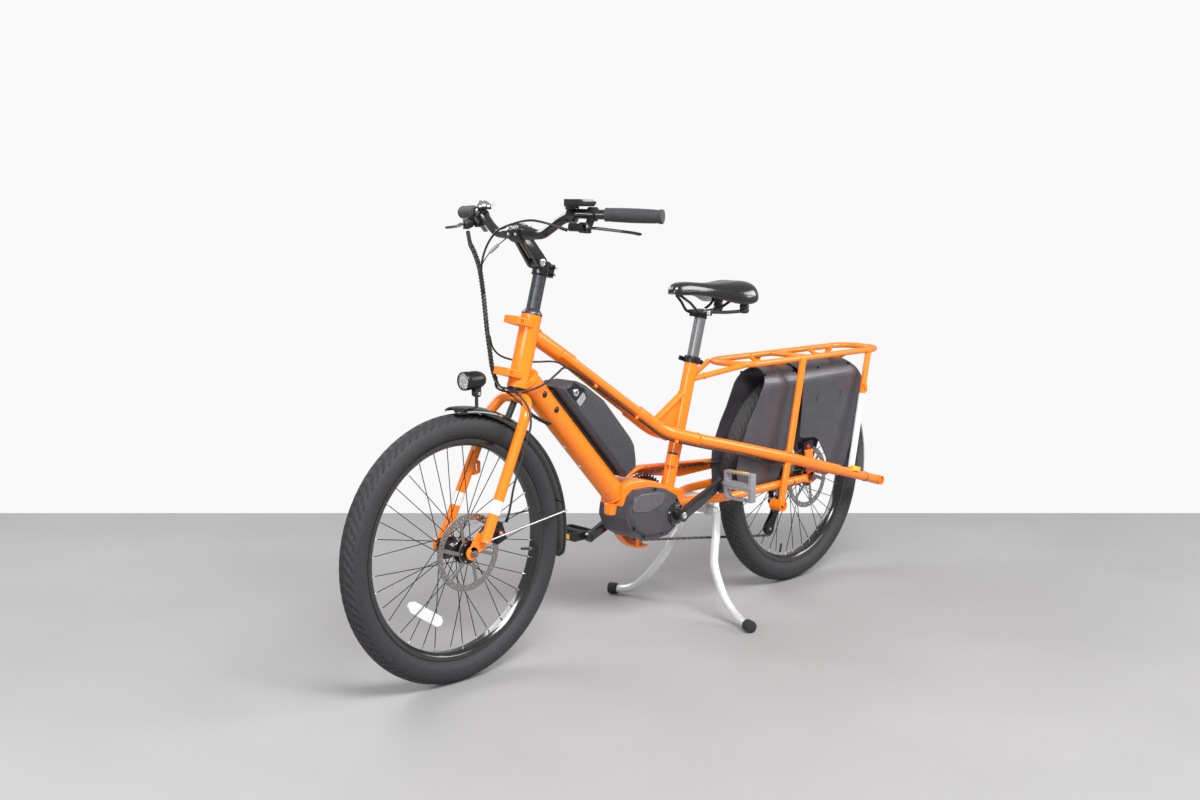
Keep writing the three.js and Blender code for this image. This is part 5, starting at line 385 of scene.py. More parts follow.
def smooth(points, count):
    """A centripetal curve through the points, at even steps."""
    ghost = [points[0] * 2 - points[1]] + list(points) + [points[-1] * 2 - points[-2]]
    dense = []
    fine = 24
    for i in range(1, len(ghost) - 2):
        p = ghost[i - 1:i + 3]
        knots = [0]
        for a, b in zip(p, p[1:]):
            knots.append(knots[-1] + max(math.sqrt((b - a).length), 1e-3))
        for k in range(fine):
            t = knots[1] + (knots[2] - knots[1]) * k / fine

            def mixed(a, b, low, high):
                return a.lerp(b, (t - knots[low]) / (knots[high] - knots[low]))
            first = mixed(p[0], p[1], 0, 1)
            second = mixed(p[1], p[2], 1, 2)
            third = mixed(p[2], p[3], 2, 3)
            dense.append(mixed(mixed(first, second, 0, 2), mixed(second, third, 1, 3), 1, 2))
    dense.append(points[-1].copy())
    return evenly(dense, count)


def evenly(points, count):
    lengths = [0]
    for a, b in zip(points, points[1:]):
        lengths.append(lengths[-1] + (b - a).length)
    out = []
    index = 0
    for k in range(count + 1):
        far = lengths[-1] * k / count
        while index < len(points) - 2 and lengths[index + 1] < far:
            index += 1
        span = max(lengths[index + 1] - lengths[index], 1e-9)
        out.append(points[index].lerp(points[index + 1], (far - lengths[index]) / span))
    return out


def weld(shape, centre, along, radius, bead=2.0):
    """A weld bead round a tube, with its small scallops."""
    sides = 72
    ripple = 0.35
    unevenness = 0.12
    ring = circle_round(centre, along, radius, sides)
    beads = [bead * (1 + ripple * math.sin(i * math.pi)) + random.uniform(-unevenness, unevenness)
             for i in range(sides)]
    radii = [bead + 0.25 * (i % 3) for i, bead in enumerate(beads)]
    tube(shape, ring, radii, sides=8, closed=True)


def bolt(shape, centre, along, radius, height, finish="silver"):
    """A round-headed bolt with a round socket in its head."""
    along = along.normalized()
    profile = [(radius, 0), (radius, height * 0.55), (radius * 0.86, height * 0.9),
               (radius * 0.55, height), (radius * 0.5, height * 0.9), (radius * 0.48, height * 0.45)]
    turned(shape, centre, along, profile, finish, sides=24)


# Materials
PRISM_SCALE = 420
PRISM_DEPTH = 0.001
RELIEF_DEPTH = 0.0004
materials = {}


def surface(name, colour, roughness, metallic=0.0, coat=0.0, vary=0.08, grain=90, bump=0.0,
            bump_scale=600, stretch=(1, 1, 1), rough_vary=0.06, coat_roughness=0.05, sheen=0.0,
            specular=0.5):
    """A finish whose colour, roughness and relief all vary a little over the surface."""
    material = bpy.data.materials.new(name)
    materials[name] = material
    material.use_nodes = True
    nodes = material.node_tree.nodes
    links = material.node_tree.links
    shader = nodes["Principled BSDF"]
    shader.inputs["Metallic"].default_value = metallic
    shader.inputs["Coat Weight"].default_value = coat
    shader.inputs["Coat Roughness"].default_value = coat_roughness
    shader.inputs["Sheen Weight"].default_value = sheen
    shader.inputs["Specular IOR Level"].default_value = specular
    where = nodes.new("ShaderNodeTexCoord")
    mapping = nodes.new("ShaderNodeMapping")
    mapping.inputs["Scale"].default_value = stretch
    links.new(where.outputs["Object"], mapping.inputs["Vector"])
    cloud = nodes.new("ShaderNodeTexNoise")
    cloud.inputs["Scale"].default_value = grain
    cloud.inputs["Detail"].default_value = 5
    links.new(mapping.outputs["Vector"], cloud.inputs["Vector"])
    ramp = nodes.new("ShaderNodeValToRGB")
    ramp.color_ramp.elements[0].position = 0.3
    ramp.color_ramp.elements[1].position = 0.7
    ramp.color_ramp.elements[0].color = (*[c * (1 - vary) for c in colour], 1)
    ramp.color_ramp.elements[1].color = (*[min(1, c * (1 + vary)) for c in colour], 1)
    links.new(cloud.outputs["Fac"], ramp.inputs["Fac"])
    links.new(ramp.outputs["Color"], shader.inputs["Base Color"])
    rough = nodes.new("ShaderNodeMapRange")
    rough.inputs["To Min"].default_value = max(0.02, roughness - rough_vary)
    rough.inputs["To Max"].default_value = min(1, roughness + rough_vary)
    links.new(cloud.outputs["Fac"], rough.inputs["Value"])
    links.new(rough.outputs["Result"], shader.inputs["Roughness"])
    if bump:
        fine = nodes.new("ShaderNodeTexNoise")
        fine.inputs["Scale"].default_value = bump_scale
        fine.inputs["Detail"].default_value = 3
        links.new(mapping.outputs["Vector"], fine.inputs["Vector"])
        relief = nodes.new("ShaderNodeBump")
        relief.inputs["Strength"].default_value = bump
        relief.inputs["Distance"].default_value = RELIEF_DEPTH
        links.new(fine.outputs["Fac"], relief.inputs["Height"])
        links.new(relief.outputs["Normal"], shader.inputs["Normal"])
    return material


def reflector(name, colour):
    """Moulded reflector plastic with small prisms."""
    material = surface(name, colour, 0.12, vary=0.15, grain=300, coat=1.0, rough_vary=0.04)
    nodes = material.node_tree.nodes
    links = material.node_tree.links
    cells = nodes.new("ShaderNodeTexVoronoi")
    cells.inputs["Scale"].default_value = PRISM_SCALE
    links.new(nodes["Texture Coordinate"].outputs["Object"], cells.inputs["Vector"])
    relief = nodes.new("ShaderNodeBump")
    relief.inputs["Strength"].default_value = 0.6
    relief.inputs["Distance"].default_value = PRISM_DEPTH
    links.new(cells.outputs["Distance"], relief.inputs["Height"])
    links.new(relief.outputs["Normal"], nodes["Principled BSDF"].inputs["Normal"])


def clear(name):
    """Clear moulded plastic."""
    material = surface(name, (0.95, 0.96, 0.97), 0.04, vary=0.01, rough_vary=0.02)
    shader = material.node_tree.nodes["Principled BSDF"]
    shader.inputs["Transmission Weight"].default_value = 1.0
    shader.inputs["IOR"].default_value = 1.45


surface("orange", (0.93, 0.208, 0.008), 0.3, coat=0.45, vary=0.05, grain=14, bump=0.04,
        bump_scale=900, rough_vary=0.05, specular=0.3)
surface("tyre", (0.021, 0.021, 0.023), 0.68, vary=0.22, grain=120, bump=0.35, bump_scale=1400,
        rough_vary=0.08)
surface("black_gloss", (0.010, 0.010, 0.011), 0.16, coat=0.5, vary=0.2, grain=60, bump=0.03)
surface("black_satin", (0.016, 0.016, 0.018), 0.42, vary=0.2, grain=120, bump=0.1, bump_scale=1600)
surface("black_metal", (0.020, 0.020, 0.022), 0.32, metallic=0.55, vary=0.2, grain=160, bump=0.06,
        bump_scale=1800)
surface("anthracite", (0.040, 0.040, 0.047), 0.46, vary=0.12, grain=90, bump=0.3, bump_scale=2600)
surface("motor_grey", (0.052, 0.050, 0.058), 0.42, vary=0.1, grain=80, bump=0.25, bump_scale=2400)
surface("motor_facet", (0.115, 0.11, 0.12), 0.36, metallic=0.3, vary=0.08, grain=90, bump=0.15,
        bump_scale=2200)
surface("sheet_grey", (0.064, 0.063, 0.074), 0.38, metallic=0.2, coat=0.15, vary=0.1, grain=30,
        bump=0.12, bump_scale=1500)
surface("tail_grey", (0.19, 0.19, 0.2), 0.5, vary=0.1, grain=60, bump=0.15)
surface("silver", (0.60, 0.61, 0.62), 0.28, metallic=0.9, vary=0.07, grain=200, bump=0.05)
surface("stand_white", (0.62, 0.63, 0.64), 0.36, metallic=0.35, vary=0.06, grain=70, bump=0.06)
surface("gunmetal", (0.09, 0.095, 0.105), 0.34, metallic=0.75, vary=0.1, grain=150, bump=0.06)
surface("steel", (0.30, 0.285, 0.27), 0.34, metallic=1.0, vary=0.12, grain=500, stretch=(1, 5, 1),
        bump=0.08, bump_scale=900)
surface("post_grey", (0.22, 0.225, 0.235), 0.3, metallic=0.7, vary=0.04, grain=120,
        stretch=(6, 6, 1), bump=0.03)
surface("pedal_grey", (0.23, 0.235, 0.245), 0.48, vary=0.08, grain=120, bump=0.15)
surface("panel_grey", (0.28, 0.28, 0.3), 0.42, vary=0.06, grain=120, bump=0.1)
surface("bright_metal", (0.82, 0.82, 0.83), 0.25, metallic=0.35, vary=0.06, grain=260, bump=0.3,
        bump_scale=500)
surface("chrome", (0.72, 0.72, 0.73), 0.08, metallic=1.0, vary=0.03, grain=80, rough_vary=0.03)
surface("grip", (0.028, 0.028, 0.031), 0.72, vary=0.15, grain=200, bump=0.4, bump_scale=1800,
        sheen=0.1)
surface("hose", (0.013, 0.013, 0.013), 0.38, vary=0.15, grain=300, bump=0.08)
surface("saddle", (0.008, 0.008, 0.009), 0.22, vary=0.2, grain=60, bump=0.1, bump_scale=1100,
        coat=0.7, coat_roughness=0.12)
surface("rubber", (0.018, 0.018, 0.018), 0.75, vary=0.2, grain=200, bump=0.3)
# White for the fork's bands and the lamp's bulb, and for the painted highlight on the rear struts
surface("label_white", (0.75, 0.75, 0.74), 0.4, vary=0.04, grain=100)
surface("red", (0.55, 0.03, 0.02), 0.3, metallic=0.4, coat=0.5, vary=0.08, grain=100)
reflector("amber", (0.95, 0.52, 0.015))
reflector("clear_reflector", (0.72, 0.73, 0.74))
clear("lens")

# Camera at the photograph's place, and the light
CAMERA_PLACE = vec(2002.27, 2440.84, 1123.78)
CAMERA_YAW = -2.3624
CAMERA_PITCH = -0.1462
CAMERA_ROLL = 0.0072
CAMERA_FOCAL_PIXELS = 1404.66
PHOTO_WIDTH_PIXELS = 1200
SENSOR_WIDTH = 36
FLOOR_EDGE_LEFT = vec(55.1, -2433.4, 0)
FLOOR_EDGE_RIGHT = vec(-3037.9, 503.9, 0)
FLOOR_REACH = 9000
FLOOR_DROP = 0.5
FLOOR_COLOUR = (0.33, 0.325, 0.33)
WALL_COLOUR = (0.95, 0.945, 0.955)
WORLD_STRENGTH = 0.42
# Each light's name, its place and size in metres, and its power in watts
SOFTBOXES = (
    ("key", (1.2, 2.4, 3.3), 2.2, 185), ("fill", (-2.8, 2.6, 2.2), 2.4, 90),
    ("back", (0.8, -3.0, 2.8), 2.6, 80), ("front", (4.2, 1.2, 1.6), 2.2, 75))


def make_camera():
    """A camera that sees the bike as the photograph does."""
    camera = bpy.data.objects.new("camera", bpy.data.cameras.new("camera"))
    bpy.context.scene.collection.objects.link(camera)
    bpy.context.scene.camera = camera
    ahead = vec(math.cos(CAMERA_PITCH) * math.cos(CAMERA_YAW),
                math.cos(CAMERA_PITCH) * math.sin(CAMERA_YAW), math.sin(CAMERA_PITCH))
    level = ahead.cross(UP).normalized()
    above = level.cross(ahead)
    right = math.cos(CAMERA_ROLL) * level + math.sin(CAMERA_ROLL) * above
    top = -math.sin(CAMERA_ROLL) * level + math.cos(CAMERA_ROLL) * above
    turn = Matrix((right, top, -ahead)).transposed()
    camera.matrix_world = Matrix.Translation(to_frame(CAMERA_PLACE)) @ turn.to_4x4()
    camera.data.sensor_width = SENSOR_WIDTH
    camera.data.lens = CAMERA_FOCAL_PIXELS * SENSOR_WIDTH / PHOTO_WIDTH_PIXELS
    camera.data.clip_end = 100


def softbox(name, place, size, power):
    light = bpy.data.lights.new(name, "AREA")
    light.shape = "RECTANGLE"
    light.size = size
    light.size_y = size * 0.6
    light.energy = power
    lamp = bpy.data.objects.new(name, light)
    bpy.context.scene.collection.objects.link(lamp)
    lamp.location = place
    aim = vec(0, 0, 0.5) - Vector(place)
    lamp.rotation_euler = aim.to_track_quat("-Z", "Y").to_euler()


def make_studio():
    """A pale floor whose far edge is the photograph's, a white background and soft lights."""
    toward_camera = vec(-math.cos(CAMERA_YAW), -math.sin(CAMERA_YAW), 0)
    along_edge = (FLOOR_EDGE_RIGHT - FLOOR_EDGE_LEFT).normalized()
    left, right = FLOOR_EDGE_LEFT - along_edge * FLOOR_REACH, FLOOR_EDGE_RIGHT + along_edge * FLOOR_REACH
    corners = [left, right, right + toward_camera * FLOOR_REACH, left + toward_camera * FLOOR_REACH]
    mesh = bpy.data.meshes.new("floor")
    mesh.from_pydata([to_frame(corner - UP * FLOOR_DROP) for corner in corners], [], [(0, 1, 2, 3)])
    floor = bpy.data.objects.new("floor", mesh)
    bpy.context.scene.collection.objects.link(floor)
    mesh.materials.append(surface("floor", FLOOR_COLOUR, 0.55, vary=0.05, grain=1.6, bump=0.05))
    world = bpy.data.worlds.new("world")
    bpy.context.scene.world = world
    world.use_nodes = True
    nodes = world.node_tree.nodes
    links = world.node_tree.links
    light = nodes["Background"]
    light.inputs["Color"].default_value = (1, 1, 1, 1)
    light.inputs["Strength"].default_value = WORLD_STRENGTH
    seen = nodes.new("ShaderNodeBackground")
    seen.inputs["Color"].default_value = (*WALL_COLOUR, 1)
    seen.inputs["Strength"].default_value = 1.0
    path = nodes.new("ShaderNodeLightPath")
    mix = nodes.new("ShaderNodeMixShader")
    links.new(path.outputs["Is Camera Ray"], mix.inputs["Fac"])
    links.new(light.outputs["Background"], mix.inputs[1])
    links.new(seen.outputs["Background"], mix.inputs[2])
    links.new(mix.outputs["Shader"], nodes["World Output"].inputs["Surface"])
    for softbox_values in SOFTBOXES:
        softbox(*softbox_values)


make_camera()
make_studio()
bpy.context.scene.view_settings.view_transform = "Standard"

# Wheels
RIM_OUTER_RADIUS = 258
RIM_INNER_RADIUS = 240
RIM_WIDTH = 36
RIM_INNER_WIDTH = 17
SPOKE_COUNT = 36
FLANGE_RADIUS = 29
HUB_RADIUS = 17
FRONT_HUB_WIDTH = 114
REAR_HUB_WIDTH = 135
FRONT_FLANGE_SPREAD = 56
REAR_FLANGE_SPREAD = 50
AXLE_NUT_RADIUS = 9
AXLE_BORE_RADIUS = 5.5
ROTOR_RADIUS = 90
ROTOR_RING_WIDTH = 15
ROTOR_THICKNESS = 2
ROTOR_HUB_RADIUS = 24
ROTOR_ARM_WIDTH = 9
ROTOR_ARMS = 6
ROTOR_INSET = 10.5
TREAD_PITCH = 2 * math.pi * TYRE_RADIUS / 84
TREAD_ROWS = ((0, 0.0, 0.30), (12, 0.5, 0.55), (23, 0.0, 0.80))
TREAD_HALF_LENGTH = 9.5
TREAD_HALF_WIDTH = 3.4
TREAD_DEPTH = 2.6
SPOKE_RADIUS = 1.05
SPOKE_CROSSING = 0.15 * 2 * math.pi
NIPPLE_RADIUS = 2.1
VALVE_RADIUS = 3.2
VALVE_LENGTH = 35
REFLECTOR_LENGTH = 112
REFLECTOR_HEIGHT = 27
REFLECTOR_PLACE = 165
REFLECTOR_BEND = 1400
ROTOR_DRILLINGS = 24
ROTOR_SWEEP = 0.22
# Each row of drillings: its distance out from the arms, its shift round and its holes' radius
DRILLING_ROWS = ((3.4, 0, 2.1), (7.8, 0.34, 2.6), (12, 0.67, 1.8))
TYRE_STEPS = 64
TYRE_TURNS = 720
TYRE_LINE_ANGLE = 1.9


def tread_depth(along, across):
    """The depth of the lens-shaped grooves at a place on the tyre."""
    deepest = 0
    for row, shift, slant in TREAD_ROWS:
        out = abs(across) - row
        run = (along + shift * TREAD_PITCH + out * slant * 1.4) % TREAD_PITCH - TREAD_PITCH / 2
        tilt = math.cos(slant) * run - math.sin(slant) * out
        cross = math.sin(slant) * run + math.cos(slant) * out
        inside = 1 - (tilt / TREAD_HALF_LENGTH) ** 2 - (cross / TREAD_HALF_WIDTH) ** 2
        deepest = max(deepest, min(1, inside * 2.2))
    return deepest * TREAD_DEPTH


def tyre(name, node, centre):
    shape = Shape()
    crown = TYRE_SECTION / 2
    middle = TYRE_RADIUS - crown
    open_angle = math.acos((middle - RIM_OUTER_RADIUS - GAP) / crown)
    rings = []
    for k in range(TYRE_TURNS):
        turn = 2 * math.pi * k / TYRE_TURNS
        ring = []
        for i in range(TYRE_STEPS + 1):
            angle = (math.pi - open_angle) * (2 * i / TYRE_STEPS - 1)
            depth = tread_depth(turn * TYRE_RADIUS, angle * crown)
            bead = 0.5 if abs(abs(angle) - TYRE_LINE_ANGLE) < 0.06 else 0
            radius = middle + (crown - depth + bead) * math.cos(angle)
            ring.append(around(centre, radius, turn, (crown - depth + bead) * math.sin(angle)))
        rings.append(ring)
    loft(shape, rings, "tyre", closed=True)
    dress(name, node, shape, angle=60)


def spoke_ends(centre, index, flange):
    side = 1 if index % 2 else -1
    cross = 1 if index % 4 < 2 else -1
    rim_angle = (index + 0.5) / SPOKE_COUNT * 2 * math.pi
    hub_angle = rim_angle + cross * SPOKE_CROSSING
    hub_end = around(centre, FLANGE_RADIUS - 4, hub_angle, side * (flange + cross * 1.3))
    rim_end = around(centre, RIM_INNER_RADIUS + 2, rim_angle, side * 1.3)
    return hub_end, rim_end


def wheel(name, node, centre, hub_width, flange_spread, freehub, reflector_turn, valve_turn):
    """Rim, hub, crossed spokes, valve and reflector."""
    shape = Shape()
    half = RIM_WIDTH / 2
    inner = RIM_INNER_WIDTH / 2
    wall = RIM_OUTER_RADIUS - inner
    rim = [(RIM_INNER_RADIUS, inner), (RIM_INNER_RADIUS + 2, inner + 2), (wall - 3, half - 1.2),
           (wall, half), (RIM_OUTER_RADIUS - 1, half), (RIM_OUTER_RADIUS, half - 1)]
    spun(shape, centre, mirrored(rim) + [(RIM_INNER_RADIUS - 0.6, 0)], "black_gloss", sides=160)
    flange = flange_spread / 2
    end = hub_width / 2 - GAP
    shoulder = hub_width / 2 - ROTOR_INSET + ROTOR_THICKNESS
    drive = shoulder if freehub else flange
    neck = HUB_RADIUS * 0.82
    spun(shape, centre, [
        (AXLE_BORE_RADIUS, -end), (AXLE_NUT_RADIUS, -end), (AXLE_NUT_RADIUS, -drive), (HUB_RADIUS, -drive),
        (HUB_RADIUS, -flange - 3), (FLANGE_RADIUS - 1, -flange - 2), (FLANGE_RADIUS, -flange - 1),
        (FLANGE_RADIUS, -flange + 1), (FLANGE_RADIUS - 1, -flange + 2), (HUB_RADIUS, -flange + 4),
        (neck, -flange + 10), (neck, flange - 10), (HUB_RADIUS, flange - 4), (FLANGE_RADIUS - 1, flange - 2),
        (FLANGE_RADIUS, flange - 1), (FLANGE_RADIUS, flange + 1), (FLANGE_RADIUS - 1, flange + 2),
        (HUB_RADIUS, flange + 3), (HUB_RADIUS, shoulder), (AXLE_NUT_RADIUS, shoulder),
        (AXLE_NUT_RADIUS, end), (AXLE_BORE_RADIUS, end),
    ], "black_gloss", sides=64)
    for i in range(SPOKE_COUNT):
        hub_end, rim_end = spoke_ends(centre, i, flange)
        rod(shape, hub_end, rim_end, SPOKE_RADIUS, "black_metal", edge=0.2, sides=8)
        along = (hub_end - rim_end).normalized()
        rod(shape, rim_end - along * 3, rim_end + along * 12, NIPPLE_RADIUS, "silver", end_radius=1.6,
            sides=8)
        rod(shape, hub_end - along * 2, hub_end + along * 0.4 + LEFT * 0.2, 2.0, "black_metal", sides=8)
    valve = around(centre, RIM_INNER_RADIUS + 1, valve_turn)
    valve_end = around(centre, RIM_INNER_RADIUS + 1 - VALVE_LENGTH, valve_turn)
    rod(shape, valve, valve_end, VALVE_RADIUS, "black_satin", edge=1.2, sides=16)
    rod(shape, valve, around(centre, RIM_INNER_RADIUS - 7, valve_turn), 4.6, "silver", sides=6)
    wheel_reflector(shape, centre, reflector_turn)
    dress(name, node, shape)


def wheel_reflector(shape, centre, turn):
    """The white plastic reflector clipped between the spokes."""
    middle = around(centre, REFLECTOR_PLACE, turn)
    corners = []
    for u, v in ((-1, -0.4), (-0.8, -1), (0.8, -1), (1, -0.4), (1, 0.4), (0.8, 1), (-0.8, 1), (-1, 0.4)):
        along = u * REFLECTOR_LENGTH / 2
        out = v * REFLECTOR_HEIGHT / 2 - along * along / REFLECTOR_BEND
        corners.append((
            -math.sin(turn) * along + math.cos(turn) * out, math.cos(turn) * along + math.sin(turn) * out))
    plate(shape, about(middle, corners), -2, 6, "clear_reflector", edge=1.6)


def toothed_outline(centre, radius, teeth, depth=3.2):
    shares = ((0.0, -1.0), (0.22, -1.0), (0.40, 0.75), (0.5, 1.0), (0.60, 0.75), (0.78, -1.0))
    return [in_plane(around(centre, radius + out * depth, 2 * math.pi * (i + share) / teeth))
            for i in range(teeth) for share, out in shares]


def circle_outline(centre, radius, sides=48):
    return [in_plane(around(centre, radius, 2 * math.pi * i / sides)) for i in range(sides)]


def window(centre, turn, half_turn, arm_width, outer, inner, shares, sweep=0):
    """The outline of an opening between two spider arms."""
    def corner(radius, share):
        half = half_turn - math.asin(arm_width / 2 / radius)
        slant = sweep * (radius - ROTOR_HUB_RADIUS) / (outer - ROTOR_HUB_RADIUS)
        return in_plane(around(centre, radius, turn + share * half + slant))
    return [corner(outer, s) for s in shares] + [corner(inner, s) for s in shares[::-1]]


def rotor(name, node, centre, hub_width):
    shape = Shape()
    middle = hub_width / 2 - ROTOR_INSET
    low = middle - ROTOR_THICKNESS / 2
    high = middle + ROTOR_THICKNESS / 2
    outer = ROTOR_RADIUS - ROTOR_RING_WIDTH
    holes = [circle_outline(centre, HUB_RADIUS + GAP, 40)]
    for i in range(ROTOR_ARMS):
        turn = (i + 0.5) / ROTOR_ARMS * 2 * math.pi
        holes.append(window(
            centre, turn, math.pi / ROTOR_ARMS, ROTOR_ARM_WIDTH, outer, ROTOR_HUB_RADIUS + 4,
            [-1, -0.66, -0.33, 0, 0.33, 0.66, 1], ROTOR_SWEEP))
    for i in range(ROTOR_DRILLINGS):
        for out, shift, size in DRILLING_ROWS:
            spot = around(centre, outer + out, (i + shift) / ROTOR_DRILLINGS * 2 * math.pi)
            holes.append(circle_outline(spot, size, 10))
    plate(shape, circle_outline(centre, ROTOR_RADIUS, 144), low, high, "steel", edge=0.25, holes=holes)
    spun(shape, centre, [
        (HUB_RADIUS + GAP, high - 0.4), (ROTOR_HUB_RADIUS + 2, high - 0.4),
        (ROTOR_HUB_RADIUS + 2, high + 1.2), (HUB_RADIUS + 3, high + 2.4), (HUB_RADIUS + GAP, high + 2.4),
    ], "black_metal", sides=48)
    for i in range(ROTOR_ARMS):
        turn = i / ROTOR_ARMS * 2 * math.pi
        spot = around(centre, (HUB_RADIUS + ROTOR_HUB_RADIUS) / 2 + 1.5, turn, high + 1.2)
        bolt(shape, spot, LEFT, 2.6, 1.8)
    dress(name, node, shape)


tyre("tyre_front", "front_tyre", FRONT)
tyre("tyre_rear", "rear_tyre", REAR)
wheel("wheel_front", "front_wheel", FRONT, FRONT_HUB_WIDTH, FRONT_FLANGE_SPREAD, False,
      math.radians(-56), math.radians(190))
wheel("wheel_rear", "rear_wheel", REAR, REAR_HUB_WIDTH, REAR_FLANGE_SPREAD, True,
      math.radians(75), math.radians(-79))
rotor("rotor_front", "front_rotor", FRONT, FRONT_HUB_WIDTH)
rotor("rotor_rear", "rear_rotor", REAR, REAR_HUB_WIDTH)

# Fork and head
HEAD_TUBE_LENGTH = 175
HEAD_TUBE_RADIUS = 25
HEAD_TUBE_BORE = 18.6
STEERER_RADIUS = 14.3
BEARING_HEIGHT = 9
CROWN_HEIGHT = 22
CROWN_RADIUS = 22.5
LEG_RADIUS = 12.5
LEG_TOP_SPREAD = 124
LEG_FOOT_SPREAD = 142
LEG_SHOULDER_DROP = 64
LEG_SHOULDER_AHEAD = 14
LEG_FOOT_SETBACK = 28
LEG_FOOT_RISE = 20
DROPOUT_THICKNESS = 6
DROPOUT_RADIUS = 16
FORK_LUG_SHARE = 0.47
FORK_LUG_THICKNESS = 10
BAND_FROM, BAND_TO = 0.67, 0.775
COLUMN_LENGTH = 96
COLUMN_RADIUS = 16.5
CONE_HEIGHT = 13
STEM_BASE_HEIGHT = 34
STEM_BASE_RADIUS = 20.5
STEM_PIVOT_AHEAD = 18
STEM_PIVOT_RISE = 28
leg_foot = vec(FRONT.x - LEG_FOOT_SETBACK, LEG_FOOT_SPREAD / 2, FRONT.z + LEG_FOOT_RISE)
leg_shoulder = on_head(-LEG_SHOULDER_DROP, LEG_SHOULDER_AHEAD, LEG_TOP_SPREAD / 2)


def axle_plate(shape, centre, radius, faces):
    """The round plate of a dropout, with the axle's bore."""
    plate(shape, circle_outline(centre, radius), *faces, edge=1,
          holes=[circle_outline(centre, AXLE_BORE_RADIUS, 20)])


@piece("fork_painted", "fork")
def fork(shape):
    """Steerer and crown, both legs with their dropouts, and the lug on the right leg."""
    crown_top = -BEARING_HEIGHT - GAP
    crown_middle = -BEARING_HEIGHT - CROWN_HEIGHT * 0.62
    turned(shape, on_head(crown_top - CROWN_HEIGHT), head_up, [
        (CROWN_RADIUS - 4.5, 0), (CROWN_RADIUS - 1.5, 2), (CROWN_RADIUS, 5), (CROWN_RADIUS, CROWN_HEIGHT - 2),
        (CROWN_RADIUS - 1.5, CROWN_HEIGHT), (STEERER_RADIUS, CROWN_HEIGHT),
        (STEERER_RADIUS, CROWN_HEIGHT + HEAD_TUBE_LENGTH + COLUMN_LENGTH + BEARING_HEIGHT),
    ], sides=56)
    leg = rounded([on_head(crown_middle), on_head(crown_middle, 0, LEG_TOP_SPREAD * 0.34), leg_shoulder,
                   leg_foot], LEG_TOP_SPREAD / 2, 14)
    for side in (1, -1):
        tube(shape, sided(leg, side), LEG_RADIUS, sides=32)
        faces = to_side(side, FRONT_HUB_WIDTH / 2, FRONT_HUB_WIDTH / 2 + DROPOUT_THICKNESS)
        axle_plate(shape, FRONT, DROPOUT_RADIUS, faces)
        web = about(FRONT, [(-7, -2), (DROPOUT_RADIUS * 0.5, DROPOUT_RADIUS * 0.6)]) + about(leg_foot, [
            (LEG_RADIUS, DROPOUT_RADIUS * 1.6), (-LEG_RADIUS, DROPOUT_RADIUS),
            (-LEG_RADIUS * 0.8, -DROPOUT_RADIUS)])
        plate(shape, web, *faces, edge=1)
    lug = flipped(leg_shoulder.lerp(leg_foot, FORK_LUG_SHARE)) - vec(LEG_RADIUS + 6, 0, 0)
    loop = outline_rounded(about(lug, [(10, -20), (-13, -16), (-13, 12), (10, 22)]), 5)
    hole = outline_rounded(about(lug, [(1, -10), (-8, -8), (-8, 6), (1, 10)]), 3)
    plate(shape, loop, lug.y - FORK_LUG_THICKNESS / 2, lug.y + FORK_LUG_THICKNESS / 2, edge=1.2,
          holes=[hole])


def leg_bands():
    """The white band round the lower part of each leg."""
    shape = Shape()
    for side in (1, -1):
        top, foot = sided([leg_shoulder, leg_foot], side)
        pipe(shape, top.lerp(foot, BAND_FROM), top.lerp(foot, BAND_TO), LEG_RADIUS + 0.5, LEG_RADIUS - 0.5,
             "label_white", edge=0.2)
    shape.build("fork_bands", "fork")


leg_bands()

TOP_TUBE_RADIUS = 19
TOP_TUBE_LENGTH = 166
TOP_TUBE_SLOPE = math.radians(31)
LUG_REACH = 62
LUG_HEIGHT = 18
LUG_WIDTH = 50
LUG_ROOT = 12
LUG_SHARES = (0.87, 0.17)
stub_start = on_head(HEAD_TUBE_LENGTH * 0.77)
stub_along = vec(-math.cos(TOP_TUBE_SLOPE), 0, -math.sin(TOP_TUBE_SLOPE))
stub_end = stub_start + stub_along * TOP_TUBE_LENGTH


def rack_lug(shape, share):
    """A closed bracket on the front of the head tube, with a bolt in its left side."""
    half = LUG_HEIGHT / 2
    half_width = LUG_WIDTH / 2
    rise = HEAD_TUBE_LENGTH * share
    corners = ((LUG_ROOT, -half), (LUG_REACH, -half), (LUG_REACH, half), (LUG_ROOT, half))
    outline = [in_plane(on_head(rise + up, ahead)) for ahead, up in corners]
    plate(shape, outline, -half_width, half_width, edge=2.4, resolution=3)
    hole = on_head(rise, LUG_REACH - 14, half_width - 0.8)
    bolt_head = [(4.6, 0), (4.6, 1.1), (3.2, 1.3), (3.1, 0.4), (0.5, 0.4)]
    turned(shape, hole, LEFT, bolt_head, "black_satin", sides=24)


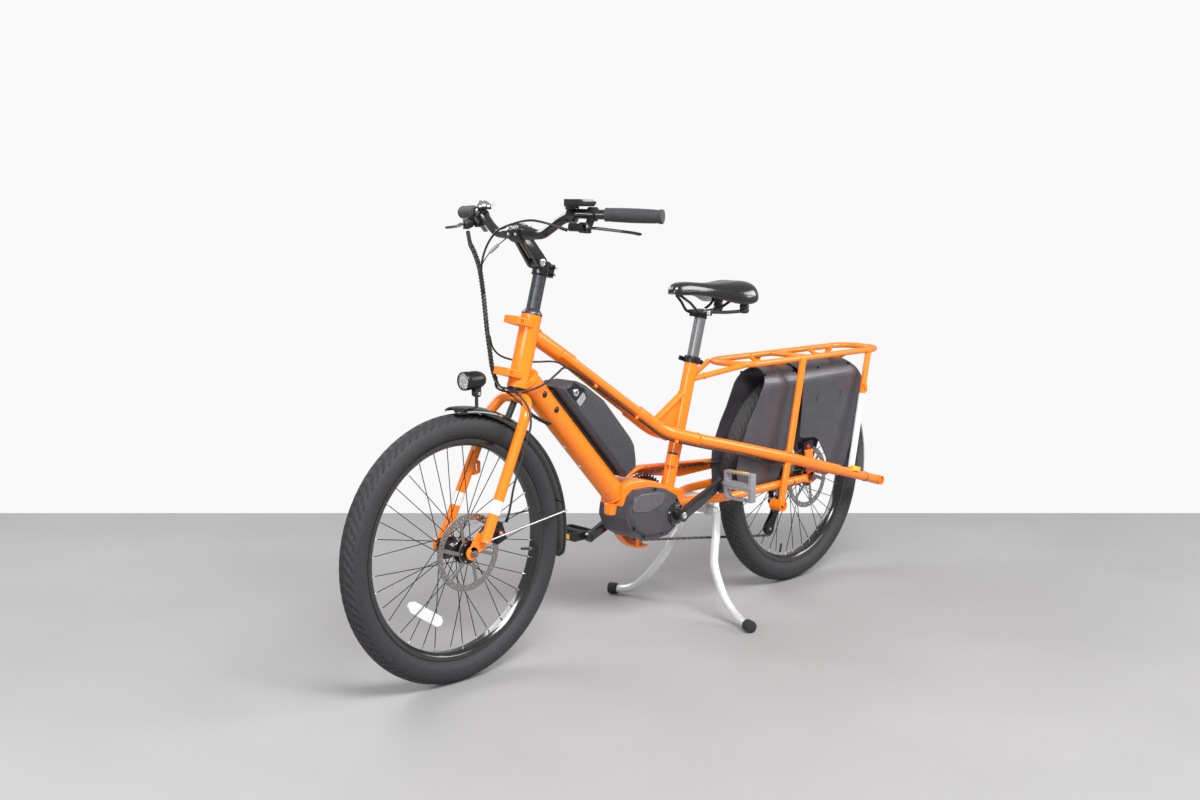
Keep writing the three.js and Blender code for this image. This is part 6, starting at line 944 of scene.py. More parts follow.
@piece("head_tube_painted", "head_tube")
def head_tube(shape):
    """Head tube with its flared ends, the top tube's stub and both rack lugs."""
    length = HEAD_TUBE_LENGTH
    turned(shape, on_head(0), head_up, [
        (HEAD_TUBE_BORE, 0), (24, 0), (HEAD_TUBE_RADIUS, 1), (HEAD_TUBE_RADIUS, 12), (24.3, 14),
        (24.3, length - 14), (HEAD_TUBE_RADIUS, length - 12), (HEAD_TUBE_RADIUS, length - 1), (24, length),
        (HEAD_TUBE_BORE, length)], sides=64, closed=True)
    tube(shape, [stub_start + stub_along * d for d in (10, 60, 120, TOP_TUBE_LENGTH - 6)], TOP_TUBE_RADIUS,
         sides=48)
    turned(shape, stub_end - stub_along * 7, stub_along, [
        (TOP_TUBE_RADIUS, 0), (TOP_TUBE_RADIUS, 2), (TOP_TUBE_RADIUS * 0.93, 5), (TOP_TUBE_RADIUS * 0.7, 6.6),
        (1, 7)], sides=48)
    for share in LUG_SHARES:
        rack_lug(shape, share)
    weld(shape, stub_start + stub_along * 25.5, stub_along, TOP_TUBE_RADIUS + 0.6)


DOWN_TUBE_RADIUS = 30
PORT_SHARES = (0.16, 0.28)
BOLT_SHARES = (0.52, 0.68)
down_start = on_head(HEAD_TUBE_LENGTH * 0.215)
down_end = vec(CRANK.x + 160, 0, CRANK.z + 65.5)
down_along = (down_end - down_start).normalized()
down_out = vec(down_along.z, 0, -down_along.x)


def on_down(along, out=0):
    return down_start + down_along * along + down_out * out


@piece("down_tube_painted", "down_tube")
def down_tube(shape):
    length = (down_end - down_start).length
    stations = [HEAD_TUBE_RADIUS * 0.7 + (length - 20) * i / 8 for i in range(9)]
    tube(shape, [on_down(min(far, length - 1)) for far in stations], DOWN_TUBE_RADIUS, sides=64)
    for far in (27, length - 3):
        weld(shape, on_down(far), down_along, DOWN_TUBE_RADIUS + 0.4, bead=2.4)
    for share in PORT_SHARES:
        base = down_start.lerp(down_end, share) + LEFT * (DOWN_TUBE_RADIUS - 2)
        turned(shape, base, LEFT, [(8, 0), (8, 2.4), (6.5, 4), (3.5, 5), (3, 7)], "black_satin", sides=28)
    for share in BOLT_SHARES:
        bolt(shape, down_start.lerp(down_end, share) - down_out * (DOWN_TUBE_RADIUS - 1), -down_out, 5, 4)


# Long rails, seat tube, stays and deck
rail_bend = vec(CRANK.x + 2, 22, CRANK.z + 212.5)
sleeve_end = vec(CRANK.x - 95, 55, CRANK.z + 184)
rail_strut = vec(REAR.x + 140, 93, CRANK.z + 94)
rail_step = vec(REAR.x - 89, 100, REAR.z + 14)
rail_tip = vec(REAR.x - 306, 101, REAR.z - 46)
rail_front = stub_start.lerp(stub_end, 0.66) + LEFT * 12
sleeve_start = rail_front.lerp(rail_bend, 0.74)
RAIL_FRONT_RADIUS = 12.3
SLEEVE_RADIUS = 16.6
RAIL_RADIUS = 15.8
RAIL_END_RADIUS = 13.6
RAIL_END_BORE_RADIUS = 10.8
RAIL_END_BORE_DEPTH = 70
RAIL_BEND_RADIUS = 190
RAIL_SOCKET_AHEAD = 11
RAIL_SOCKET_RISE = 3
RAIL_SOCKET_SPAN = (84, 119)
RAIL_BAND_PLACE = 34
RAIL_RING_SHARE = 0.64
SEAT_TUBE_BEHIND = 28.6


def ring_step(shape, place, along, radius, length, finish="orange"):
    """A low raised band round a tube."""
    profile = [(radius - 2, 0), (radius - 0.6, 0.6), (radius, 1.6)]
    profile += [(out, length - far) for out, far in profile[::-1]]
    turned(shape, place - along.normalized() * length / 2, along, profile, finish, sides=40)


def cross_socket(shape, centre, side, near, far, radius, bore):
    """A short open pipe across the bike."""
    low, high = to_side(side, near, far)
    pipe(shape, vec(centre.x, low, centre.z), vec(centre.x, high, centre.z), radius, bore, edge=1)


@piece("side_rails_painted", "side_rails")
def side_rails(shape):
    """Both long rails: thin front run, sleeve, thick run and open thin end."""
    bend_route = rounded([rail_front, rail_bend, sleeve_end], RAIL_BEND_RADIUS, 20)
    rear_route = rounded([sleeve_end, rail_strut, rail_step], RAIL_BEND_RADIUS, 12)
    for side in (1, -1):
        tube(shape, sided([rail_front, rail_front.lerp(rail_bend, 0.8)], side), RAIL_FRONT_RADIUS, sides=36)
        tube(shape, sided([sleeve_start] + bend_route[1:], side), SLEEVE_RADIUS, sides=40)
        tube(shape, sided(rear_route, side), RAIL_RADIUS, sides=40)
        start, tip, bend_end, foot = sided([rail_step, rail_tip, sleeve_end, sleeve_start], side)
        along = (tip - start).normalized()
        length = (tip - start).length
        turned(shape, start, along, [
            (RAIL_END_BORE_RADIUS, length - RAIL_END_BORE_DEPTH), (RAIL_END_BORE_RADIUS, length),
            (RAIL_END_RADIUS - 0.8, length), (RAIL_END_RADIUS, length - 0.8), (RAIL_END_RADIUS, 0),
            (0.5, 0), (0.5, length - RAIL_END_BORE_DEPTH)], sides=40)
        ring_step(shape, tip - along * 4, along, RAIL_END_RADIUS + 0.6, 7)
        ring_step(shape, start - along, along, RAIL_RADIUS + 0.4, 6)
        ring_step(shape, start + along * RAIL_BAND_PLACE, along, RAIL_END_RADIUS + 0.7, 4)
        ring_step(shape, start.lerp(tip, RAIL_RING_SHARE), along, RAIL_END_RADIUS + 1.2, 4, "black_satin")
        socket = tip + vec(RAIL_SOCKET_AHEAD, 0, RAIL_SOCKET_RISE)
        cross_socket(shape, socket, side, *RAIL_SOCKET_SPAN, RAIL_END_RADIUS, RAIL_END_BORE_RADIUS)
        weld(shape, foot, foot - sided([rail_front], side)[0], RAIL_FRONT_RADIUS + 1.6, bead=2.2)
        weld(shape, bend_end, sided([rail_strut], side)[0] - bend_end, RAIL_RADIUS + 0.5, bead=1.5)
    run = sleeve_end - rail_bend
    foot = on_seat(rail_bend.z - CRANK.z)
    behind = SEAT_TUBE_BEHIND / math.cos(LEAN)
    middle = rail_bend + run * ((foot.x - behind - rail_bend.x) / (run.x + run.z * math.tan(LEAN)))
    cross_rod(shape, middle, 10, -middle.y, middle.y)


SEAT_TUBE_RADIUS = 18
SEAT_TUBE_BORE = 16
SEAT_TUBE_BORE_DEPTH = 190
SEAT_TUBE_FOOT_RISE = 45
SEAT_TUBE_TOP_RISE = 395
BRACE_RISE = 310
BRACE_RADIUS = 9
GUSSET_THICKNESS = 4
PORT_STUB_RADIUS = 13
PORT_STUB_LENGTH = 34
PORT_BORE = 6
BRACE_SHARE = 0.07


@piece("seat_tube_painted", "seat_tube")
def seat_tube(shape):
    """Seat tube open at the top, its central brace with a gusset plate, and the cable port's stub."""
    foot = on_seat(SEAT_TUBE_FOOT_RISE)
    length = (on_seat(SEAT_TUBE_TOP_RISE) - foot).length
    bore_foot = length - SEAT_TUBE_BORE_DEPTH
    turned(shape, foot, head_up, [
        (SEAT_TUBE_RADIUS, 0), (SEAT_TUBE_RADIUS, length - 1), (SEAT_TUBE_RADIUS - 1, length),
        (SEAT_TUBE_BORE, length), (SEAT_TUBE_BORE, bore_foot), (0.5, bore_foot)], sides=48)
    high = on_seat(BRACE_RISE)
    low = on_seat(sleeve_end.z - CRANK.z)
    brace_foot = rail_bend.lerp(rail_front, BRACE_SHARE)
    brace_foot.y = 0
    brace = (brace_foot - high).normalized()
    tube(shape, [high, brace_foot], BRACE_RADIUS, sides=28)
    weld(shape, high + brace * 24, brace, BRACE_RADIUS + 0.4, bead=1.5)
    plate(shape, [in_plane(high), in_plane(brace_foot), in_plane(low)], -GUSSET_THICKNESS / 2,
          GUSSET_THICKNESS / 2, edge=0.5)
    port_top = on_seat(sleeve_end.z - CRANK.z - RAIL_RADIUS - 24) + vec(14.4, 9, 0)
    rod(shape, port_top - head_up * PORT_STUB_LENGTH, port_top, PORT_STUB_RADIUS, edge=2)
    pipe(shape, port_top - head_up * 2, port_top + head_up * 3, PORT_STUB_RADIUS + 0.6, PORT_BORE,
         "black_satin", edge=1)


STAY_RADIUS = 11.5
STAY_SPREAD = 75
REAR_DROPOUT_RADIUS = 17
REAR_DROPOUT_THICKNESS = 6
NOSE_RADIUS = 20
MOTOR_LENGTH = 206
MOTOR_HEIGHT = 138
MOTOR_AHEAD = 175
MOTOR_BELOW = 58
BRACKET_HALF_WIDTH = 41
BRACKET_SHARES = (
    (0.03, 0.9), (0.02, 0.6), (0.03, 0.514), (0.1, 0.5), (1.05, 0.5), (1.165, 0.53), (1.15, 0.8),
    (0.96, 0.87), (0.825, 0.935), (0.641, 1.051), (0.398, 1.138), (0.16, 1.152), (0.05, 1.12))


def motor_outline(shares):
    return [(CRANK.x + MOTOR_AHEAD - back * MOTOR_LENGTH, CRANK.z - MOTOR_BELOW + up * MOTOR_HEIGHT)
            for back, up in shares]


@piece("chainstays_painted", "chainstays")
def chainstays(shape):
    """The arched motor bracket, both lower stays, their dropouts and the tabs on them."""
    bracket = outline_rounded(motor_outline(BRACKET_SHARES), 14)
    plate(shape, bracket, -BRACKET_HALF_WIDTH, BRACKET_HALF_WIDTH, edge=5, resolution=3)
    nose_low, nose_high = [vec(x, 0, z) for x, z in motor_outline(((0.034, 0.52), (0.034, 0.76)))]
    rod(shape, nose_low, nose_high, NOSE_RADIUS, edge=4)
    route = rounded([
        vec(CRANK.x - 32.2, 30, CRANK.z + 18), vec(CRANK.x - 103, 32, CRANK.z + 14),
        vec(CRANK.x - 207, STAY_SPREAD, REAR.z), vec(REAR.x + 40, STAY_SPREAD, REAR.z + 4)], 150, 14)
    ahead = vec(1, 0, 0)
    for side in (1, -1):
        tube(shape, sided(route, side), STAY_RADIUS, sides=32)
        faces = to_side(side, REAR_HUB_WIDTH / 2, REAR_HUB_WIDTH / 2 + REAR_DROPOUT_THICKNESS)
        axle_plate(shape, REAR, REAR_DROPOUT_RADIUS, faces)
        plate(shape, about(REAR, [(9, -14), (52, -7), (52, 11.5), (9, 14)]), *faces, edge=1)
        end, tie = sided([route[-1], vec(REAR.x + 98, STAY_SPREAD, REAR.z + 1.6)], side)
        weld(shape, end, ahead, STAY_RADIUS - 1, bead=2)
        ring_step(shape, tie, ahead, STAY_RADIUS + 1.4, 4, "black_satin")
    for side, corners in ((1, [(-10, 8), (17, 8), (34, 84), (-3, 84)]),
                          (-1, [(-15, -8), (-14, -30), (0, -30), (15, -8)])):
        faces = to_side(side, REAR_HUB_WIDTH / 2, REAR_HUB_WIDTH / 2 + REAR_DROPOUT_THICKNESS)
        plate(shape, about(REAR, corners), *faces, edge=1)


DECK_HEIGHT = 666
SKIRT_CROWN_HEIGHT = 644.5
DECK_HALF = 71
DECK_TUBE_RADIUS = 8.5
CROSSBAR_RADIUS = 6
CROSSBARS_AHEAD = (122, -161)
DECK_STAY_RADIUS = 7.5
REAR_STRUT_RADIUS = 9
# Where the painted highlight, a white sleeve, runs along each rear strut, as shares from its top
STRUT_HIGHLIGHT_FROM, STRUT_HIGHLIGHT_TO = 0.36, 0.955
DECK_CORNER_RADIUS = 62
CROSSBAR_BEND_RADIUS = 31
DECK_STAY_RISE = 334
REAR_STRUT_BEHIND = 271
REFLECTOR_BLOCK = (34, 16, 15)
STRUT_BLOCK = (13, 18, 24)
deck_front = REAR.x + 314
deck_rear = REAR.x - 339
rear_strut_share = (154 - 89) / (306 - 89)


@piece("rack_deck_painted", "rack_deck")
def rack_deck(shape):
    """Deck loop, cross bars, front stays, and the rear struts, each with a white sleeve over most of its
    length that is a painted highlight.
    """
    corners = [vec(x, y, DECK_HEIGHT) for x, y in (
        (deck_front, DECK_HALF), (deck_rear, DECK_HALF), (deck_rear, -DECK_HALF), (deck_front, -DECK_HALF))]
    loop = rounded(corners, DECK_CORNER_RADIUS, 14, closed=True)
    tube(shape, loop, DECK_TUBE_RADIUS, sides=32, closed=True, side=UP)
    low_height = SKIRT_CROWN_HEIGHT + GAP + CROSSBAR_RADIUS
    for ahead in CROSSBARS_AHEAD:
        x = REAR.x + ahead
        half_bar = [vec(x, -DECK_HALF, DECK_HEIGHT), vec(x, -DECK_HALF * 0.6, low_height)]
        bar = rounded(half_bar + [flipped(point) for point in half_bar[::-1]], CROSSBAR_BEND_RADIUS, 8)
        tube(shape, bar, CROSSBAR_RADIUS)
        for side in (1, -1):
            joint = vec(x, side * (DECK_HALF - 7), DECK_HEIGHT - 2)
            weld(shape, joint, LEFT, CROSSBAR_RADIUS + 0.3, bead=1.3)
    cross_rod(shape, vec(REAR.x + 24, 0, DECK_HEIGHT), DECK_STAY_RADIUS, -DECK_HALF, DECK_HALF)
    for side in (1, -1):
        stay_foot = on_seat(DECK_STAY_RISE)
        stay_top = vec(deck_front - 6, side * (DECK_HALF - 6), DECK_HEIGHT)
        tube(shape, [stay_foot, stay_top], DECK_STAY_RADIUS, sides=28)
        weld(shape, stay_foot.lerp(stay_top, 0.28), stay_top - stay_foot, DECK_STAY_RADIUS + 0.4, bead=1.4)
        top, foot, amber = sided([
            vec(REAR.x - REAR_STRUT_BEHIND, DECK_HALF, DECK_HEIGHT),
            rail_step.lerp(rail_tip, rear_strut_share),
            rail_step.lerp(rail_tip, 0.36) + vec(0, 8, RAIL_END_RADIUS + 3)], side)
        up = (top - foot).normalized()
        tube(shape, [top, foot + up * 12], REAR_STRUT_RADIUS, sides=28)
        weld(shape, foot + up * 15, top - foot, REAR_STRUT_RADIUS + 0.4, bead=1.8)
        weld(shape, top - up * 9, top - foot, REAR_STRUT_RADIUS + 0.2, bead=1.4)
        # Painted highlight: a white sleeve over most of the rear strut
        pipe(shape, top.lerp(foot, STRUT_HIGHLIGHT_FROM), top.lerp(foot, STRUT_HIGHLIGHT_TO), REAR_STRUT_RADIUS + 0.6,
             REAR_STRUT_RADIUS - 0.4, "label_white", edge=0.2)
        block(shape, top.lerp(foot, 0.31) + LEFT * side * 3, *STRUT_BLOCK, lean=0.14, edge=2)
        slope = math.atan2(rail_step.z - rail_tip.z, rail_step.x - rail_tip.x)
        block(shape, amber, *REFLECTOR_BLOCK, "amber", lean=-slope, edge=2)


strut_foot = vec(REAR.x + 171, 94, 261)
STRUT_RADIUS = 10
STRUT_SOCKET_RADIUS = 16
STRUT_SOCKET_BORE = 12.5
STRUT_SOCKET_SPAN = (65, 105)


def strut(name, node, side):
    """A front strut from the deck past the rail to its cross socket."""
    shape = Shape()
    top = vec(REAR.x + 67, 81, DECK_HEIGHT)
    route = sided(rounded([top, rail_strut, strut_foot], RAIL_BEND_RADIUS, 14), side)
    tube(shape, route, STRUT_RADIUS, sides=32)
    cross_socket(shape, strut_foot, side, *STRUT_SOCKET_SPAN, STRUT_SOCKET_RADIUS, STRUT_SOCKET_BORE)
    joint = sided([rail_strut], side)[0]
    for up, along in ((17, route[0] - joint), (-17, joint - route[-1])):
        weld(shape, joint + UP * up, along, STRUT_RADIUS + 0.4, bead=1.8)
    dress(name, node, shape)


strut("strut_left_painted", "strut_left", 1)
strut("strut_right_painted", "strut_right", -1)

# Skirts over the rear wheel, each a flat cut sheet bent over the crown
SKIRT_HALF_WIDTH = 58
SKIRT_THICKNESS = 2.4
SKIRT_DEPTH = 332
SKIRT_LENGTH = 592
SKIRT_FRONT_AHEAD = 326
SKIRT_CORNER = 26
SKIRT_BENDS = 12
FRONT_SKIRT_LEFT = (
    (0.46, 0), (0.468, 0.17), (0.462, 0.39), (0.406, 0.63), (0.362, 0.8), (0.3, 1), (0.028, 1),
    (0, 0.824), (0.012, 0.71), (0.044, 0.58), (0.08, 0.45), (0.124, 0.34), (0.17, 0.2), (0.215, 0.08),
    (0.245, 0))
FRONT_SKIRT_RIGHT = (
    (0.46, 0), (0.468, 0.17), (0.462, 0.39), (0.406, 0.63), (0.362, 0.8), (0.3, 1), (0.06, 1),
    (0.05, 0.824), (0.052, 0.71), (0.076, 0.58), (0.112, 0.45), (0.152, 0.34), (0.192, 0.2),
    (0.225, 0.08), (0.245, 0))
REAR_SKIRT = (
    (0.9, 0), (0.955, 0.09), (0.99, 0.18), (1, 0.26), (0.985, 0.42), (0.948, 0.6), (0.85, 1),
    (0.715, 1), (0.705, 0.86), (0.656, 0.735), (0.63, 0.68), (0.6, 0.655), (0.5, 0.64), (0.478, 0.62),
    (0.492, 0.39), (0.497, 0.17), (0.49, 0))


def unrolled(back, down, side):
    """A place on the flat sheet: how far back, and how far round from the crown."""
    fall = down * SKIRT_DEPTH
    radius = SKIRT_HALF_WIDTH
    if fall < radius:
        far = radius * math.acos(1 - fall / radius)
    else:
        far = radius * math.pi / 2 + fall - radius
    return vec(REAR.x + SKIRT_FRONT_AHEAD - back * SKIRT_LENGTH, side * far, 0)


def bent(point, grow=0.0):
    far = abs(point.y)
    side = 1 if point.y >= 0 else -1
    radius = SKIRT_HALF_WIDTH
    quarter = radius * math.pi / 2
    middle = SKIRT_CROWN_HEIGHT - radius
    size = radius + grow
    if far < quarter:
        turn = far / radius
        return vec(point.x, side * size * math.sin(turn), middle + size * math.cos(turn))
    return vec(point.x, side * size, middle - (far - quarter))


def subdivided(shares, side):
    out = []
    for (a, b), (c, d) in zip(shares, shares[1:]):
        for k in range(4):
            t = k / 4
            out.append(unrolled(a + (c - a) * t, b + (d - b) * t, side))
    out.append(unrolled(*shares[-1], side))
    return out


def skirt(name, node, left, right, bolts, slit_shades):
    """A sheet cut to its two side outlines, bent over the crown, with its bolts, and thin black marks that
    are painted shade for its slits.
    """
    loop = rounded(subdivided(left, 1) + subdivided(right, -1)[::-1][1:-1], SKIRT_CORNER, 3, closed=True)
    flat = bmesh.new()
    flat.faces.new([flat.verts.new(point) for point in loop])
    quarter = SKIRT_HALF_WIDTH * math.pi / 2
    for i in range(-SKIRT_BENDS, SKIRT_BENDS + 1):
        everything = flat.verts[:] + flat.edges[:] + flat.faces[:]
        cut = quarter * i / SKIRT_BENDS
        bmesh.ops.bisect_plane(flat, geom=everything, plane_co=(0, cut, 0), plane_no=(0, 1, 0))
    bmesh.ops.remove_doubles(flat, verts=flat.verts, dist=0.05)
    flat.verts.index_update()
    outer = [bent(vertex.co) for vertex in flat.verts]
    inner = [bent(vertex.co, -SKIRT_THICKNESS) for vertex in flat.verts]
    count = len(outer)
    faces = [[v.index for v in face.verts] for face in flat.faces]
    rims = [[v.index for v in edge.verts] for edge in flat.edges if edge.is_boundary]
    every = faces + [[i + count for i in face[::-1]] for face in faces]
    every += [[b, a, a + count, b + count] for a, b in rims]
    flat.free()
    whole = bmesh.new()
    made = [whole.verts.new(point) for point in outer + inner]
    for face in every:
        whole.faces.new([made[i] for i in face])
    bmesh.ops.recalc_face_normals(whole, faces=whole.faces)
    rim_edges = [e for e in whole.edges if e.is_manifold and e.calc_face_angle(0) > 1.2]
    bmesh.ops.bevel(whole, geom=rim_edges, offset=0.7, segments=2, affect="EDGES", clamp_overlap=True)
    mesh = bpy.data.meshes.new("sheet")
    whole.to_mesh(mesh)
    whole.free()
    shape = Shape()
    shape.add_mesh(mesh, "sheet_grey")
    for ahead in bolts:
        for side in (1, -1):
            place = vec(REAR.x + ahead, side * SKIRT_HALF_WIDTH * 0.72, SKIRT_CROWN_HEIGHT - 18)
            bolt(shape, place, vec(0, side, 1), 4.5, 2.6, "black_metal")
    # Painted shade: each slit is a thin black block on the sheet's face, not an opening
    for ahead, drop in slit_shades:
        slit_shade = vec(REAR.x + ahead, SKIRT_HALF_WIDTH, SKIRT_CROWN_HEIGHT - drop)
        block(shape, slit_shade, 3, 1.2, 14, "black_gloss", lean=0.1, edge=0.3)
    return dress(name, node, shape, angle=30)


skirt("skirt_front_sheet", "skirt_front", FRONT_SKIRT_LEFT, FRONT_SKIRT_RIGHT, (60, 190), ((150, 205),))
skirt("skirt_rear_sheet", "skirt_rear", REAR_SKIRT, REAR_SKIRT, (-60, -210), ((-35, 105), (-150, 95)))


# Mudguards
def arc_sheet(shape, centre, radius, width_across, thickness, crown, start, end, finish, lip=2.0):
    """A curved sheet round a wheel, crowned across and narrowed at both ends."""
    steps = 96
    sides = [-1, -0.97, -0.85, -0.6, -0.3, 0, 0.3, 0.6, 0.85, 0.97, 1]
    rings = []
    for i in range(steps + 1):
        angle = start + (end - start) * i / steps
        near_end = min(i, steps - i)
        narrow = 1 - 0.5 * (1 - near_end / 3) ** 2 if near_end < 3 else 1
        outer = []
        inner = []
        for s in sides:
            drop = crown * s * s + (lip if abs(s) == 1 else 0)
            outer.append(around(centre, radius + thickness - drop, angle, s * narrow * width_across / 2))
            inner.append(around(centre, radius - drop, angle, s * narrow * (width_across / 2 - 1.2)))
        rings.append(inner + outer[::-1])
    loft(shape, rings, finish)


FENDER_RADIUS = 327
FENDER_WIDTH = 71
FENDER_START = math.radians(88)
FENDER_END = math.radians(193)
FENDER_STAY_ANGLE = math.radians(172)
TAIL_RADIUS = 325
TAIL_WIDTH = 66
TAIL_START = math.radians(118)
TAIL_END = math.radians(188)
TAIL_BLOCK_ANGLE = math.radians(136)
LAMP_SETBACK = 88
LAMP_HEIGHT = 699
LAMP_RADIUS = 21.5
LAMP_LENGTH = 62
LAMP_EYE_RADIUS = 8
LAMP_POST_SETBACK = 66
lamp_pivot = vec(FRONT.x - LAMP_POST_SETBACK, 0, LAMP_HEIGHT - LAMP_RADIUS - LAMP_EYE_RADIUS * 1.2)


@piece("front_mudguard_shell", "front_mudguard")
def front_mudguard(shape):
    """The guard with its stays, the bracket to the crown and the lamp's post."""
    arc_sheet(shape, FRONT, FENDER_RADIUS, FENDER_WIDTH, 3, 9, FENDER_START, FENDER_END, "black_gloss")
    for side in (1, -1):
        edge = around(FRONT, FENDER_RADIUS - 7, FENDER_STAY_ANGLE, side * FENDER_WIDTH * 0.47)
        foot = vec(leg_foot.x, side * (LEG_FOOT_SPREAD + LEG_RADIUS) / 2, FRONT.z + LEG_FOOT_RISE * 1.3)
        tube(shape, [edge, foot], 2.3, "silver", sides=14)
        bolt(shape, edge + LEFT * side * 0.5, LEFT * side, 4.5, 3)
        bolt(shape, foot + LEFT * side * 2, LEFT * side, 5.5, 4)
    foot = on_head(-BEARING_HEIGHT - CROWN_HEIGHT - 1)
    along = (foot - FRONT).normalized()
    rod(shape, FRONT + along * (FENDER_RADIUS + 2), foot, 8, "black_satin")
    post_angle = math.acos(-LAMP_POST_SETBACK / FENDER_RADIUS)
    rod(shape, around(FRONT, FENDER_RADIUS + 1.5, post_angle), lamp_pivot, 4, "black_satin")
    cross_rod(shape, lamp_pivot, LAMP_EYE_RADIUS, -4, 4, "black_satin")
    bolt(shape, lamp_pivot + LEFT * 8, LEFT, 4.2, 3.4)


@piece("rear_mudguard_shell", "rear_mudguard")
def rear_mudguard(shape):
    arc_sheet(shape, REAR, TAIL_RADIUS, TAIL_WIDTH, 3, 0.5, TAIL_START, TAIL_END, "tail_grey", lip=3)
    for side in (1, -1):
        place = around(REAR, TAIL_RADIUS + 1.5, TAIL_BLOCK_ANGLE, side * 42)
        block(shape, place, 18, 24, 7, "black_satin", lean=-TAIL_BLOCK_ANGLE, edge=1)


@piece("headlamp_body", "headlamp")
def headlamp(shape):
    """Body and bowl, reflector, bulb, lens and the fork that holds it."""
    start = vec(FRONT.x - LAMP_SETBACK, 0, LAMP_HEIGHT)
    ahead = vec(1, 0, 0)
    turned(shape, start, ahead, [
        (0.5, 0), (8, 0.6), (14, 4), (18, 11), (20.4, 20), (21.2, 30), (21.2, 44), (20.2, 45), (20.2, 47),
        (21.5, 48), (21.5, LAMP_LENGTH - 1), (20.8, LAMP_LENGTH), (19.2, LAMP_LENGTH),
        (18.6, LAMP_LENGTH - 2), (18.6, LAMP_LENGTH - 3.6), (12, 44), (5, 36), (0.5, 34),
    ], "black_metal", sides=56)
    turned(shape, start, ahead, [
        (18.4, LAMP_LENGTH - 3), (15, 50), (11, 42), (6, 37), (0.5, 35.5)], "bright_metal", sides=48)
    bulb = [(0.5, 36), (4, 36.5), (4, 41), (2.4, 43), (0.5, 43.4)]
    turned(shape, start, ahead, bulb, "label_white", sides=24)
    turned(shape, start, ahead, [
        (0.5, LAMP_LENGTH - 3), (18.5, LAMP_LENGTH - 3.4), (18.5, LAMP_LENGTH - 2.6), (14, LAMP_LENGTH - 0.8),
        (7, LAMP_LENGTH - 0.1), (0.5, LAMP_LENGTH)], "lens", sides=48)
    top = LAMP_HEIGHT - LAMP_RADIUS * 0.7 - lamp_pivot.z
    arm = about(lamp_pivot, [(-8, -3), (-4, -8), (4, -8), (8, -3), (8, top), (-8, top)])
    for side in (1, -1):
        plate(shape, arm, *to_side(side, 4.3, 8.3), "black_satin", edge=0.8)


# Column, stem and bar
BAR_CENTRE_RADIUS = 15.9
BAR_END_RADIUS = 11.1
BAR_WIDTH = 680
BAR_RISE = 45
BAR_SWEEP_BACK = 118
BAR_WIDTH_SHARES = (0, 0.075, 0.22, 0.3, 0.39, 0.5, 0.58, 0.66, 1)
BAR_RISE_SHARES = (0, 0, -0.03, 0.27, 0.72, 1.02, 1, 1, 0.93)
BAR_SWEEP_SHARES = (0, 0, 0.02, 0.04, 0.1, 0.2, 0.36, 0.52, 1)
GRIP_LENGTH = 132
GRIP_FIRST_RIB = 8
GRIP_RIBS = 22
BAR_STRAIGHT = 23.6
BAR_TAPER_END = 68
SPACER_LINES = (37, 67)
column_top = HEAD_TUBE_LENGTH + COLUMN_LENGTH
stem_pivot = on_head(column_top + STEM_PIVOT_RISE, STEM_PIVOT_AHEAD)
bar_clamp = on_head(column_top + STEM_PIVOT_RISE + 52, STEM_PIVOT_AHEAD + 72)
bar_half = [vec(bar_clamp.x - sweep * BAR_SWEEP_BACK, share * BAR_WIDTH / 2, bar_clamp.z + rise * BAR_RISE)
            for share, rise, sweep in zip(BAR_WIDTH_SHARES, BAR_RISE_SHARES, BAR_SWEEP_SHARES)]
grip_along = (bar_half[-1] - bar_half[-2]).normalized()
grip_start = bar_half[-1] - grip_along * GRIP_LENGTH


def bar_at(share):
    for (a, b), (p, q) in zip(zip(BAR_WIDTH_SHARES, BAR_WIDTH_SHARES[1:]), zip(bar_half, bar_half[1:])):
        if a <= share <= b:
            return p.lerp(q, (share - a) / (b - a))
    return bar_half[-1]


@piece("column_sleeve", "spacer_stack")
def column(shape):
    """The tall sleeve over the steerer, with its cone and the lines between its spacers."""
    profile = [(15, 0), (HEAD_TUBE_RADIUS - 1, 0), (HEAD_TUBE_RADIUS, 1), (HEAD_TUBE_RADIUS, 4),
               (COLUMN_RADIUS + 1.5, CONE_HEIGHT), (COLUMN_RADIUS, CONE_HEIGHT + 1)]
    for line in SPACER_LINES:
        profile += [(COLUMN_RADIUS, line - 1), (COLUMN_RADIUS - 0.7, line - 0.5),
                    (COLUMN_RADIUS - 0.7, line + 0.5), (COLUMN_RADIUS, line + 1)]
    profile += [(COLUMN_RADIUS, COLUMN_LENGTH - 1), (15, COLUMN_LENGTH - GAP)]
    turned(shape, on_head(HEAD_TUBE_LENGTH + GAP), head_up, profile, "gunmetal", sides=56, closed=True)


@piece("headset_ring", "headset_lower")
def headset_ring(shape):
    turned(shape, on_head(-BEARING_HEIGHT), head_up, [
        (15, 0), (22, 0), (24, 1), (24, 3.4), (23, 4), (23, 5), (24, 5.6), (24, 8), (15, 8.7)], "black_metal",
        sides=56, closed=True)


@piece("stem_base_body", "stem_base")
def stem_base(shape):
    refined(shape, "stem_base", "black_gloss", edge=2.2)
    low = column_top + GAP
    pipe(shape, on_head(low), on_head(low + 3), STEM_BASE_RADIUS + 0.8, 18, "black_metal", edge=0.8)
    turned(shape, on_head(column_top + STEM_BASE_HEIGHT - 1), head_up, [
        (19, 0), (19, 1.6), (12, 2.4), (11, 1.8), (0.5, 1.8)], "black_gloss", sides=48)
    for share in (0.25, 0.75):
        bolt(shape, on_head(low + STEM_BASE_HEIGHT * share, -STEM_BASE_RADIUS - 5, 22), LEFT, 3.6, 3.2)


